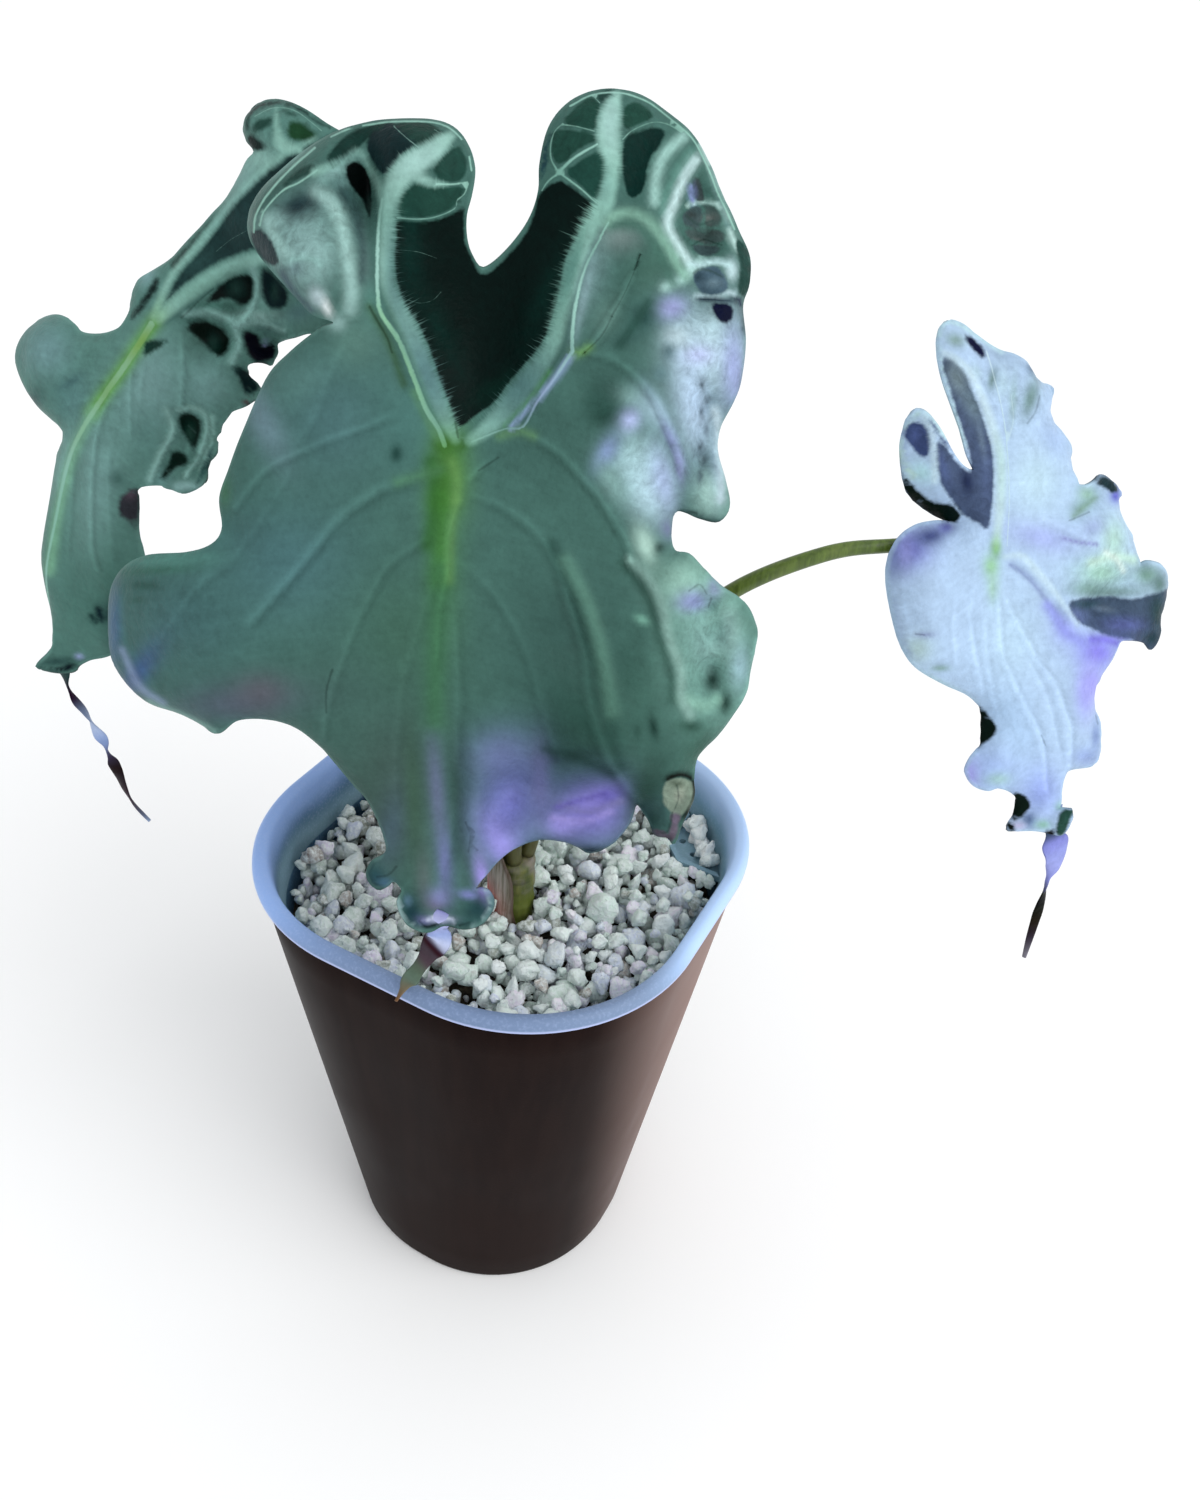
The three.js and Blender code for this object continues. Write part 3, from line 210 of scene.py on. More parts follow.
# The stem and the sheath, whose outline, box and blush are flat, as arc and height
STEM = np.array([6, -6.2])
STEM_RADIUS = 4.8
STEM_SKIN_SHARE = 0.96
STEM_FOOT_Z = 100
STEM_TOP_Z = 134
STEM_ROWS = 40
STEM_SIDES = 40
STEM_GREEN_Z = (127, 122)
STALK_FOOT_Z = STEM_TOP_Z + SEAT_GAP
SHEATH_RADIUS = 5.9
SHEATH_THICKNESS = 0.8
SHEATH_INNER_GAP = 0.15
SHEATH_AZIMUTH = 205
SHEATH_SPACING = 0.5
SHEATH_BOX = [(-10, 10), (111, 153)]
SHEATH_BLUSH = (2, 121, 4, 6)
SHEATH_OUTLINE = [
    (-9, 112), (9, 112), (9.5, 122), (9, 131), (6.5, 138), (3, 145), (0, 152), (-3, 146), (-6.5, 138),
    (-9, 130), (-9.5, 122),
]

# The floor and the light: boxes are given as name, place, target, size, power and colour
FLOOR_HALF = 8.0
STUDIO_COLOUR = (0.97, 0.985, 1.0, 1.0)
STUDIO_STRENGTH = 0.82
SUN_STRENGTH = 1.2
SUN_SPREAD = 50
SUN_PLACE = (0.9, -0.15, 1.0)
SUN_TARGET = (0, 0, 0.1)
SOFT_BOXES = [
    ("right_box", (0.85, -0.1, 0.55), (0, 0, 0.1), (0.5, 0.9), 0.8, (1.0, 0.96, 0.92)),
    ("front_box", (0.35, -0.95, 0.75), (0, 0, 0.18), (0.9, 0.6), 0.6, (0.95, 0.97, 1.0)),
]

# Each blade has its place, its radii of curvature, its outline with the lift of the edge, and its domes, as
# the model has them. All the rest is paint and low relief over the sheet: cells are dark patches with an
# outline, some darkened further by painted shade in pockets, bands are pale and hairy at the edge, lines are
# thin veins, shade creases are dark lines of painted shade in folds and under edges, spots of every kind and
# strokes are soft colour that also holds painted light and shade (highlights, sheen, lilac reflections of a
# violet light, shade in dents and holes), bloom and sheen is where the blade is silvery, partly its own bloom
# and partly painted sheen, and pits and ridges are low relief. The rim colour is a painted highlight along
# the margin, and the lilac colours of the tails are painted reflections.
FRONT = {
    "name": "leaf_front",
    "slot": "leaf_green",
    "spacing": 0.8,
    "junction": (-4.4, -18.5, 235.7),
    "azimuth": 24.5,
    "elevation": 22.6,
    "tip": (436, 915),
    "arch": (150, 1300),
    "body": "#4a6f67",
    "vein": "#9fd2c2",
    "rim": "#8fc4b8",
    "under": "#3b3038",
    "rim_highlight_share": 0.12,
    "cell_blur": 1.0,
    "outline": [
        (483, 268, 0), (506, 251, 0), (528, 222, 0), (539, 192, -1), (541, 163, -2), (550, 128, -3),
        (568, 105, -3), (593, 93, -3), (620, 91, -2), (645, 99, -3), (668, 115, -3), (692, 136, -2),
        (707, 162, -3), (721, 193, -2), (736, 228, -3), (748, 257, -4), (748, 284, -2), (741, 306, -5),
        (744, 342, -4), (739, 382, -5), (731, 404, -3), (719, 427, -5), (717, 451, -2), (725, 481, 1),
        (729, 506, 2), (719, 521, 2), (700, 518, 0), (676, 510, -3), (670, 530, -4), (674, 550, -2),
        (690, 555, 2), (705, 571, -2), (722, 587, 2), (739, 598, -2), (750, 611, 1), (756, 630, -3),
        (754, 650, -1), (749, 669, -4), (745, 693, -2), (730, 717, -3), (716, 735, -4), (697, 755, -4),
        (693, 775, -3), (694, 795, 2), (688, 811, 3), (681, 826, 2), (674, 844, 1), (668, 838, 1),
        (655, 834, -1), (648, 818, -3), (636, 802, -6), (630, 820, -6), (613, 841, -7), (591, 851, -7),
        (571, 842, -7), (540, 838, -6), (515, 847, -4), (499, 859, -3), (487, 873, -2), (476, 887, 0),
        (487, 890, 3), (494, 904, 3), (484, 922, 3), (466, 929, 2), (446, 925, 1), (428, 932, 1),
        (411, 927, 2), (402, 917, 3), (397, 902, 3), (402, 890, 1), (394, 881, 0), (387, 886, -1),
        (378, 889, -1), (369, 881, -1), (367, 871, -1), (373, 860, -1), (386, 852, 0), (384, 835, -1),
        (377, 816, -2), (367, 798, -2), (353, 782, -3), (332, 757, -3), (320, 744, -3), (296, 726, -3),
        (269, 718, -3), (239, 719, -2), (218, 733, -1), (202, 723, -3), (180, 712, -4), (149, 701, -5),
        (127, 681, -6), (113, 655, -6), (110, 620, -5), (113, 588, -4), (126, 567, -3), (149, 556, -3),
        (188, 553, -2), (212, 545, -1), (223, 528, -1), (221, 498, -2), (230, 470, -2), (243, 435, -2),
        (268, 379, -3), (291, 353, -3), (320, 329, -2), (335, 322, 0), (314, 314, -2), (298, 297, -4),
        (283, 281, -3), (262, 256, -5), (251, 236, -5), (251, 214, -5), (262, 192, -5), (284, 170, -5),
        (310, 149, -5), (336, 134, -5), (368, 124, -4), (395, 121, -4), (434, 122, -5), (456, 131, -5),
        (469, 150, -4), (474, 171, -3), (471, 194, -2), (466, 215, -1), (466, 236, 0), (471, 254, 0),
    ],
    "domes": [
        (200, 620, 20, 16, 0, 6), (222, 540, 6, 6, 0, -3), (315, 270, 14, 11, 35, 8),
        (361, 190, 3.5, 8, 0, -8), (480, 340, 11, 22, 0, -8), (600, 150, 10, 13, 0, 3),
        (430, 165, 11, 9, 0, 3), (660, 200, 4, 14, -15, 3), (702, 190, 4, 3, 0, -4),
        (707, 238, 4, 3, 0, -4), (702, 300, 4, 3.5, 0, -4), (722, 300, 4, 4, 0, 3),
        (690, 345, 12, 10, 0, 4), (706, 400, 3, 3, 0, -4), (704, 430, 3, 3, 0, -3),
        (704, 460, 3, 3, 0, -4), (625, 430, 11, 13, 0, 7), (600, 395, 5, 4, 0, -4), (680, 572, 6, 4, 0, 3),
        (710, 600, 6, 4, 30, 2), (705, 612, 3, 3, 0, -4), (720, 640, 3, 3, 0, -4),
        (712, 682, 3.5, 3.5, 0, -5), (722, 707, 2.5, 3, 0, -3), (660, 640, 5, 18, -15, 3),
        (600, 730, 16, 7, -35, 5), (560, 815, 22, 7, 0, -9), (505, 800, 5, 16, -25, -4),
        (445, 830, 2.5, 20, 0, -2), (470, 820, 2.5, 18, -8, 2), (440, 890, 6, 6, 0, 2),
    ],
    # Dark pattern cells; those in the right ruffle's pockets also hold painted shade
    "cells": [
        ("#213a35", [
            (328, 158), (340, 143), (354, 133), (378, 125), (395, 127), (373, 137), (359, 149), (340, 163),
            (331, 171),
        ]),
        ("#1f3032", [
            (368, 145), (381, 127), (396, 126), (416, 145), (402, 156), (394, 168), (386, 176), (376, 163),
        ]),
        ("#26403a", [
            (396, 126), (411, 124), (428, 125), (439, 131), (443, 137), (433, 144), (419, 147), (403, 134),
        ]),
        ("#284840", [
            (459, 148), (465, 161), (465, 173), (459, 181), (447, 182), (436, 177), (434, 168), (441, 158),
            (451, 150),
        ]),
        ("#294a41", [
            (400, 199), (407, 190), (419, 183), (433, 187), (443, 187), (464, 186), (463, 194), (456, 201),
            (453, 207), (436, 215), (419, 218), (400, 216),
        ]),
        ("#0b201e", [
            (397, 222), (419, 221), (437, 219), (455, 211), (463, 205), (464, 238), (471, 256), (483, 274),
            (508, 256), (530, 226), (541, 194), (559, 181), (567, 184), (593, 206), (582, 230), (571, 249),
            (566, 262), (559, 299), (548, 334), (536, 354), (513, 380), (495, 403), (472, 419), (458, 428),
            (449, 407), (440, 384), (430, 354), (419, 327), (403, 304), (394, 267), (396, 235),
        ]),
        ("#294a41", [
            (592, 98), (599, 105), (601, 112), (597, 119), (598, 126), (592, 131), (565, 125), (572, 114),
            (582, 104),
        ]),
        ("#27443f", [(597, 96), (613, 91), (606, 104), (600, 105)]),
        ("#294a41", [(557, 131), (592, 135), (596, 141), (578, 151), (563, 165), (554, 158), (553, 145)]),
        ("#264840", [
            (567, 173), (578, 163), (597, 152), (605, 159), (604, 176), (600, 192), (596, 200), (582, 187),
        ]),
        ("#2b4a50", [(554, 134), (549, 149), (548, 169), (541, 182), (543, 160), (548, 140)]),
        ("#274a40", [(625, 107), (634, 104), (643, 108), (653, 118), (640, 125), (627, 130), (621, 122)]),
        ("#16302c", [
            (625, 138), (637, 133), (651, 129), (665, 132), (659, 147), (652, 157), (647, 170), (644, 190),
            (633, 199), (625, 190), (621, 160),
        ]),
        ("#2b4640", [(283, 187), (296, 174), (310, 166), (317, 166), (314, 173), (300, 181), (288, 188)]),
        ("#2c3d40", [
            (254, 231), (262, 229), (271, 238), (278, 250), (281, 263), (276, 266), (264, 258), (254, 243),
        ]),
        ("#2c4a44", [
            (736, 239), (744, 246), (749, 262), (750, 282), (742, 296), (736, 293), (739, 268), (734, 250),
        ]),
        ("#191d33", [(712, 304), (722, 302), (731, 307), (730, 320), (722, 324), (714, 317)]),
        ("#0b1818", [
            (345, 166), (352, 161), (361, 163), (368, 172), (373, 186), (374, 204), (371, 222), (366, 212),
            (360, 200), (351, 190), (345, 178),
        ]),
        ("#3f4c4c", [(691, 175), (697, 178), (702, 186), (705, 198), (703, 203), (694, 202), (692, 190)]),
        ("#44585a", [(682, 214), (690, 208), (700, 207), (701, 215), (699, 224), (690, 227), (681, 223)]),
        ("#435754", [(704, 206), (713, 207), (719, 213), (721, 225), (711, 227), (703, 225), (704, 215)]),
        ("#4d615f", [
            (683, 229), (694, 229), (706, 231), (718, 229), (725, 236), (720, 243), (706, 241), (694, 240),
            (686, 237),
        ]),
        ("#435658", [(690, 245), (703, 245), (716, 247), (722, 250), (713, 257), (701, 259), (693, 253)]),
        ("#4a6270", [
            (692, 273), (704, 268), (717, 268), (724, 277), (727, 290), (717, 296), (704, 295), (694, 285),
        ]),
        ("#8a9c8c", [
            (666, 780), (675, 777), (684, 778), (692, 784), (694, 793), (693, 802), (688, 810), (681, 816),
            (673, 814), (667, 807), (663, 798), (663, 788),
        ]),
        ("#5a5560", [(652, 829), (660, 830), (668, 833), (671, 843), (664, 839), (655, 836)]),
        ("#6e6674", [
            (673, 812), (682, 815), (679, 824), (679, 830), (676, 836), (671, 842), (668, 836), (672, 824),
            (670, 815),
        ]),
    ],
    "bands": [
        (8, [
            (455, 440), (446, 420), (434, 392), (421, 360), (408, 328), (395, 303), (387, 283), (386, 262),
            (388, 228), (390, 205), (393, 190),
        ], (5, 8, 9, 9, 9, 8, 7, 7, 7, 8, 9)),
        (3, [
            (390, 205), (397, 183), (410, 167), (428, 155), (443, 143), (451, 137),
        ], (8, 11, 13, 11, 8, 4)),
        (2, [(416, 176), (432, 183), (446, 184)], (6, 4, 1)),
        (2, [(316, 174), (345, 160), (358, 152), (370, 166), (380, 184), (384, 200)], (4, 3, 3, 3, 4, 4)),
        (8, [
            (470, 441), (492, 425), (513, 402), (535, 373), (554, 343), (565, 300), (576, 262), (590, 228),
            (606, 200),
        ], (5, 9, 11, 10, 8, 8, 9, 10, 9)),
        (3, [(606, 200), (612, 165), (608, 140), (611, 112), (617, 97)], (8, 8, 12, 10, 4)),
    ],
    "lines": [
        (2.4, 1.1, [
            (444, 446), (438, 430), (425, 408), (413, 376), (398, 339), (381, 313), (377, 290), (377, 260),
            (380, 226), (384, 200),
        ]),
        (0.8, 1.4, [(472, 442), (505, 430), (524, 427), (538, 403), (554, 380), (573, 352)]),
        (1.6, 0.8, [(573, 352), (573, 330), (576, 304), (585, 270), (600, 238), (608, 222)]),
        (0.5, 0.3, [(397, 218), (419, 219), (437, 216), (454, 208), (456, 200), (463, 194), (467, 184)]),
        (1.2, 0.5, [(436, 184), (452, 184), (466, 182)]),
        (0, 0, [(395, 129), (405, 138), (419, 149)]),
        (1.5, 1, [(560, 173), (566, 166), (578, 156), (597, 145)]),
        (1, 0.5, [(560, 173), (580, 188), (596, 203)]),
        (1, 0.4, [(560, 173), (549, 182), (543, 191)]),
        (0.8, 0.2, [(560, 173), (553, 161), (552, 147), (556, 133), (564, 125)]),
        (0.2, 0.2, [(563, 126), (578, 128), (594, 132)]),
        (0, 0, [(592, 97), (600, 105)]),
        (0.4, 0.2, [(622, 140), (632, 131), (651, 124), (666, 126), (680, 134)]),
        (-0.2, -0.2, [(434, 132), (444, 138), (452, 148)]),
        (-0.3, -0.3, [(400, 250), (418, 252), (436, 258)]),
        (-0.3, -0.3, [(408, 300), (420, 303), (432, 300), (440, 292)]),
        (1.1, 0.9, [(316, 150), (293, 170), (270, 195), (258, 216), (256, 232)]),
        (0.9, 0.7, [(318, 172), (300, 184), (284, 192), (266, 212), (262, 226)]),
        (0.8, 0.8, [
            (332, 139), (350, 131), (368, 127), (395, 124), (434, 125), (454, 134), (466, 151), (470, 171),
        ]),
        (0.8, 0.8, [
            (571, 108), (593, 97), (620, 95), (645, 103), (666, 118), (690, 139), (704, 164), (718, 195),
            (733, 230),
        ]),
    ],
    "side_veins": [
        (0.6, 3, (3, 6), [(405, 408), (371, 423), (327, 439), (284, 458), (262, 473), (236, 506)]),
        (0.7, 4, (4, 7), [
            (432, 472), (399, 482), (377, 489), (338, 517), (312, 549), (284, 582), (250, 620),
        ]),
        (0.5, 3.5, (4, 5), [
            (436, 530), (393, 560), (377, 582), (358, 618), (340, 665), (327, 707), (324, 735),
        ]),
        (0.3, 4, (4, 3), [(440, 570), (420, 620), (404, 680), (395, 750), (396, 800)]),
        (0.4, 4, (6, 2), [(452, 600), (456, 650), (458, 700), (456, 760)]),
        (0.9, 3, (-4, 6), [
            (522, 431), (545, 441), (563, 453), (580, 472), (599, 494), (615, 519), (628, 542), (631, 560),
        ]),
        (0.8, 3, (-5, 4), [
            (577, 352), (610, 357), (633, 372), (651, 392), (665, 417), (676, 447), (681, 469),
        ]),
        (0.7, 4, (-6, 4), [
            (471, 495), (501, 504), (534, 528), (556, 560), (568, 600), (582, 646), (590, 703), (608, 754),
            (640, 800),
        ]),
        (0.4, 4, (-4, 5), [(462, 560), (500, 600), (528, 655), (545, 715), (560, 755)]),
        (0.6, 3, (5, 3), [(499, 452), (485, 463), (470, 478)]),
        (0.4, 3, (4, 0), [(460, 495), (453, 517), (447, 540), (447, 571), (440, 604), (436, 660)]),
        (0.7, 2.5, (-4, -3), [(641, 252), (626, 287), (609, 321), (593, 342), (580, 352)]),
        (0.4, 3, (3, 2), [(128, 586), (125, 628), (141, 661), (160, 690)]),
        (0.3, 4, (3, 5), [(352, 330), (330, 372), (318, 410), (300, 440)]),
        (0.3, 4, (3, 5), [(300, 455), (262, 520), (232, 560)]),
        (0.4, 4, (2, 5), [(240, 560), (200, 585), (160, 640)]),
        (0.4, 2, (2, 2), [(320, 144), (288, 168), (266, 193), (253, 214), (251, 234)]),
    ],
    "shade_creases": [
        (1.2, [(369, 306), (386, 335), (392, 352)]),
        (0.6, [(455, 423), (458, 438)]),
        (0.6, [(479, 471), (499, 458)]),
        (0.4, [(583, 354), (600, 338), (614, 312), (629, 284), (640, 254)]),
        (0.6, [(333, 669), (327, 690), (327, 712)]),
        (1, [(711, 597), (708, 606)]),
        (1, [
            (667, 778), (677, 774), (686, 776), (693, 783), (694, 797), (690, 808), (685, 816), (681, 826),
        ]),
        (0.6, [(673, 812), (671, 824), (668, 832), (658, 834)]),
        (0.5, [(688, 590), (698, 584), (706, 592)]),
        (0.4, [(676, 784), (679, 797), (676, 808)]),
        (0, [(470, 828), (475, 834), (471, 842), (477, 850)]),
        (0, [(466, 822), (470, 836), (468, 852)]),
        (1, [(681, 514), (694, 512), (703, 519), (716, 521)]),
        (0.6, [(692, 273), (700, 270), (712, 272), (722, 278)]),
        (0.5, [(684, 216), (696, 224), (712, 222)]),
        (0.5, [(690, 246), (704, 238), (722, 246)]),
        (0.6, [(397, 866), (389, 874), (378, 876)]),
        (0.7, [(419, 920), (426, 926), (440, 923), (455, 926), (470, 922)]),
    ],
    # Own tones with painted light and shade: highlights and sheen, lilac reflections, and shade in dents,
    # holes and folds
    "spots": [
        ("#50767a", 0.8, 285, 560, 75, 60), ("#55797e", 0.6, 330, 420, 60, 60),
        ("#4f7b76", 0.7, 430, 420, 50, 50), ("#466a5a", 0.8, 410, 640, 60, 80),
        ("#465f58", 0.9, 390, 770, 60, 70), ("#3c5a54", 0.9, 560, 640, 60, 70),
        ("#33524a", 0.9, 590, 730, 50, 60), ("#3f6258", 0.7, 640, 690, 34, 60),
        ("#47665f", 0.8, 330, 690, 50, 40), ("#4a6e70", 0.8, 180, 620, 70, 60),
        ("#7893a0", 0.7, 264, 420, 16, 44, -25), ("#5b8f84", 0.8, 168, 561, 48, 8, -3),
        ("#3f6a5c", 0.7, 160, 571, 40, 4, -3), ("#56616f", 0.9, 236, 702, 60, 20, -4),
        ("#62606a", 0.7, 262, 690, 26, 18), ("#47608a", 0.9, 140, 672, 12, 34, 35),
        ("#4f6f92", 0.8, 116, 628, 7, 40), ("#2e4f46", 0.7, 148, 586, 14, 5),
        ("#38584f", 0.6, 140, 600, 8, 4), ("#4c7a58", 0.6, 226, 492, 7, 16),
        ("#62897f", 0.7, 356, 340, 26, 26), ("#5f8782", 0.6, 300, 380, 30, 20, -30),
        ("#6c8d8c", 0.9, 592, 272, 16, 44, 15), ("#8aa9ae", 0.8, 583, 300, 5, 40, 12),
        ("#7f9290", 0.8, 622, 236, 22, 16), ("#5c8076", 0.8, 630, 225, 12, 8),
        ("#476b60", 0.9, 652, 268, 22, 26, 25), ("#5f8078", 0.7, 607, 318, 14, 22, 25),
        ("#2c4c43", 1, 606, 417, 15, 12, -20), ("#3a5c54", 0.8, 596, 400, 14, 16),
        ("#83aaa5", 0.9, 630, 398, 14, 10, 40), ("#b3bfec", 1, 630, 421, 9, 12, 25),
        ("#a9d0d4", 1, 635, 462, 24, 26, -20), ("#b6d7e2", 1, 648, 492, 20, 34, -20),
        ("#93a5dc", 0.7, 607, 452, 9, 18, 30), ("#aebfe6", 0.8, 662, 480, 12, 34, -12),
        ("#8fb8b4", 0.8, 612, 480, 10, 22, -30), ("#7a80b4", 0.9, 667, 432, 5, 34, -24),
        ("#7c7fae", 0.9, 678, 466, 4, 18, -8), ("#9ab9c6", 0.9, 652, 410, 12, 22, -30),
        ("#bad8e2", 1, 706, 350, 34, 44), ("#b7d0e8", 1, 693, 400, 20, 60, -6),
        ("#a9b6e6", 0.9, 731, 366, 11, 40), ("#8f9ac8", 0.8, 738, 390, 5, 22),
        ("#a3a9dc", 0.9, 671, 309, 14, 12, -20), ("#b7c0ea", 0.8, 698, 355, 16, 10),
        ("#c6dfe8", 0.8, 676, 338, 12, 10), ("#4f6a70", 0.9, 668, 352, 7, 9, 20),
        ("#5f7f84", 0.8, 660, 374, 8, 9, 20), ("#2f4f4c", 0.9, 643, 318, 14, 16, 40),
        ("#3f5f5c", 0.7, 628, 338, 16, 8, -20), ("#a9cfc8", 0.9, 712, 495, 16, 22),
        ("#23353a", 0.9, 712, 520, 15, 3.5, 8), ("#b9d3e4", 0.9, 718, 450, 7, 40),
        ("#bfe0e4", 0.9, 730, 270, 5, 10), ("#cfeef2", 1, 731, 272, 4, 7),
        ("#b8dccf", 0.9, 645, 545, 9, 20, -20), ("#1f3432", 1, 659, 549, 6, 6),
        ("#7b7fa8", 0.8, 668, 530, 8, 12, -30), ("#86b8a9", 1, 712, 640, 38, 80),
        ("#9ecabb", 0.9, 682, 585, 24, 26, -40), ("#9ba8d0", 1, 692, 600, 13, 10),
        ("#a9b3de", 0.8, 714, 588, 7, 9), ("#a3c6d4", 0.8, 738, 665, 9, 22),
        ("#36554a", 1, 710, 681, 8, 12, 15), ("#3c5c50", 1, 724, 704, 6, 10, 20),
        ("#446a5e", 0.9, 689, 725, 14, 8), ("#3c5f53", 0.9, 700, 748, 26, 16, -45),
        ("#5b8a7a", 0.7, 697, 655, 12, 30, -15), ("#7fb5a2", 0.9, 643, 620, 8, 4, 25),
        ("#5a7f7a", 0.8, 722, 640, 8, 12, 20), ("#33524a", 0.8, 565, 735, 30, 40),
        ("#28413c", 0.8, 560, 756, 34, 7, -8), ("#6f7799", 0.8, 436, 790, 8, 50, -4),
        ("#767fae", 0.9, 445, 862, 8, 34, -4), ("#465c56", 1, 396, 810, 26, 60),
        ("#4d626c", 0.9, 392, 830, 14, 40, 8), ("#435f50", 0.9, 414, 800, 9, 70, -3),
        ("#3b5a4c", 1, 458, 790, 7, 60, -6), ("#3b584e", 0.9, 464, 850, 5, 34, -4),
        ("#5c6a6a", 0.8, 424, 880, 8, 30), ("#66606c", 0.9, 436, 902, 10, 8),
        ("#8388cc", 1, 508, 806, 30, 50, 12), ("#6f7ba8", 0.8, 500, 756, 30, 26),
        ("#9b98e2", 1, 502, 846, 14, 34, -30), ("#a69be8", 1, 482, 880, 7, 24, -10),
        ("#7075a0", 0.8, 540, 780, 10, 36), ("#8a84d4", 1, 590, 812, 42, 30, -5),
        ("#9a93e0", 0.9, 600, 800, 24, 14, -20), ("#9d96e2", 0.9, 562, 824, 14, 10),
        ("#766fc2", 0.9, 610, 796, 16, 10, -20), ("#2b3b48", 1, 592, 849, 26, 4),
        ("#36534b", 1, 648, 785, 22, 44, 20), ("#2c463f", 0.8, 654, 820, 10, 14),
        ("#213c42", 1, 411, 912, 13, 18), ("#4a4880", 0.8, 424, 920, 8, 5, 20),
        ("#2a474b", 1, 478, 910, 17, 15), ("#3c5f5f", 0.8, 470, 920, 16, 6),
        ("#2f4f56", 1, 376, 876, 10, 12), ("#5a8a52", 0.8, 452, 470, 20, 50),
        ("#4f7d5c", 0.7, 446, 560, 18, 80), ("#83aaa5", 0.9, 706, 645, 26, 50, -8),
        ("#a3c9c4", 0.8, 728, 628, 10, 20), ("#45545e", 0.9, 701, 384, 3, 6),
        ("#4a5b64", 0.9, 706, 399, 3, 5, 20), ("#45545e", 0.9, 700, 412, 3, 6),
        ("#4c5c68", 0.8, 705, 430, 3, 6, -10), ("#45545e", 0.9, 699, 446, 3, 5),
        ("#4f6068", 0.8, 704, 462, 3, 6, 15), ("#45545e", 0.9, 699, 478, 3, 6),
        ("#1f3d38", 0.95, 396, 454, 6, 9), ("#2c463f", 1, 712, 681, 8, 11, 15),
        ("#2a443d", 1, 725, 704, 5, 9, 20), ("#223a34", 1, 652, 727, 5, 13, -12),
        ("#35544a", 0.9, 690, 726, 9, 5), ("#2f4d45", 0.7, 636, 731, 4, 8),
        ("#8f9ac8", 0.9, 692, 601, 14, 9, -10), ("#8289c4", 0.9, 468, 894, 9, 4, 10),
        ("#5f7f98", 0.7, 408, 900, 4, 5), ("#7f86b4", 0.9, 440, 896, 11, 10),
        ("#b3b6de", 1, 439, 919, 13, 4), ("#4c6f8e", 0.7, 386, 882, 8, 5),
        ("#23383c", 0.8, 450, 927, 30, 3.5), ("#84a9a6", 1, 300, 240, 34, 42, 15),
        ("#8fb3b0", 0.8, 312, 262, 22, 26, 20), ("#5f777c", 0.8, 286, 292, 9, 14, -35),
        ("#6f8a90", 0.7, 296, 268, 8, 8), ("#22353a", 1, 298, 208, 25, 14, -25),
        ("#2a4044", 0.8, 313, 200, 13, 9), ("#8fb6b2", 0.8, 278, 222, 10, 10),
        ("#eef9f9", 1, 327, 306, 4, 10, -24), ("#c6dce2", 0.8, 318, 296, 7, 10, -24),
        ("#9fc4c0", 0.8, 338, 322, 8, 8), ("#334a4c", 0.9, 342, 196, 9, 20, -14),
        ("#3a5254", 0.8, 356, 222, 8, 26, -10), ("#56726f", 0.9, 364, 262, 8, 34, -4),
        ("#5f8f84", 0.8, 372, 305, 8, 20, -15), ("#8fb9b4", 0.8, 335, 172, 22, 6, -30),
        ("#86b4ab", 0.9, 290, 162, 30, 5, -40), ("#7aa8a0", 0.8, 362, 156, 8, 6),
        ("#6b8f8c", 0.7, 345, 182, 16, 6, -20),
    ],
    "vein_spots": [
        ("#688f8c", 1, 396, 270, 18, 70), ("#5f8587", 1, 425, 375, 34, 70, -20),
        ("#5d8584", 1, 520, 385, 60, 60, 30), ("#5c897f", 1, 572, 270, 20, 60, 20),
        ("#a9d6ca", 0.9, 377, 270, 4, 60), ("#9ad2ae", 1, 382, 318, 6, 20, -25),
        ("#8fc79c", 0.9, 408, 372, 6, 60, -22), ("#a3b8da", 0.9, 545, 392, 6, 40, 35),
        ("#a9d9cd", 0.9, 577, 300, 5, 70, 12), ("#5f9a4c", 1, 446, 462, 26, 30),
        ("#a6cfc7", 1, 420, 160, 40, 26, -30), ("#a9d2cb", 1, 610, 125, 16, 34),
        ("#86b5ab", 0.9, 604, 185, 12, 22), ("#7ea9a2", 0.9, 345, 160, 30, 20),
        ("#7fb0a2", 0.8, 430, 215, 40, 8, -5), ("#7fb3a4", 0.8, 560, 170, 26, 40),
        ("#6f9c8f", 0.8, 650, 128, 30, 14), ("#9fd0c3", 0.8, 585, 152, 20, 8, -30),
    ],
    "deep_spots": [
        ("#16332e", 0.7, 410, 250, 12, 50), ("#15302b", 0.6, 440, 330, 12, 50, -25),
        ("#15302b", 0.6, 545, 300, 12, 50, 20), ("#133029", 0.6, 500, 390, 30, 12, -30),
        ("#2f4a43", 0.7, 425, 138, 14, 6), ("#3a4f4a", 0.6, 372, 208, 5, 10),
        ("#6a6f6c", 0.7, 708, 219, 9, 3, -10), ("#6d7572", 0.7, 700, 240, 12, 2.5, 20),
        ("#2f3432", 0.8, 712, 230, 8, 4), ("#303533", 0.8, 690, 216, 6, 4),
        ("#8b93cc", 0.6, 692, 192, 3, 8), ("#7d98a4", 0.8, 714, 284, 7, 5),
        ("#26363e", 0.8, 697, 276, 5, 5), ("#3c4a3a", 0.8, 676, 783, 8, 4, 20),
        ("#b7bfae", 0.7, 680, 795, 5, 7), ("#3a323c", 0.8, 671, 838, 4, 5),
        ("#8f829a", 0.6, 676, 820, 3, 6),
    ],
    # Midrib greens, with painted highlights on ridges, painted shadow lines under edges and lilac reflections
    "strokes": [
        ("#46783a", 1, 16, [(447, 447), (446, 470), (443, 500)]),
        ("#477f3c", 0.8, 11, [(443, 500), (441, 540), (440, 580)]),
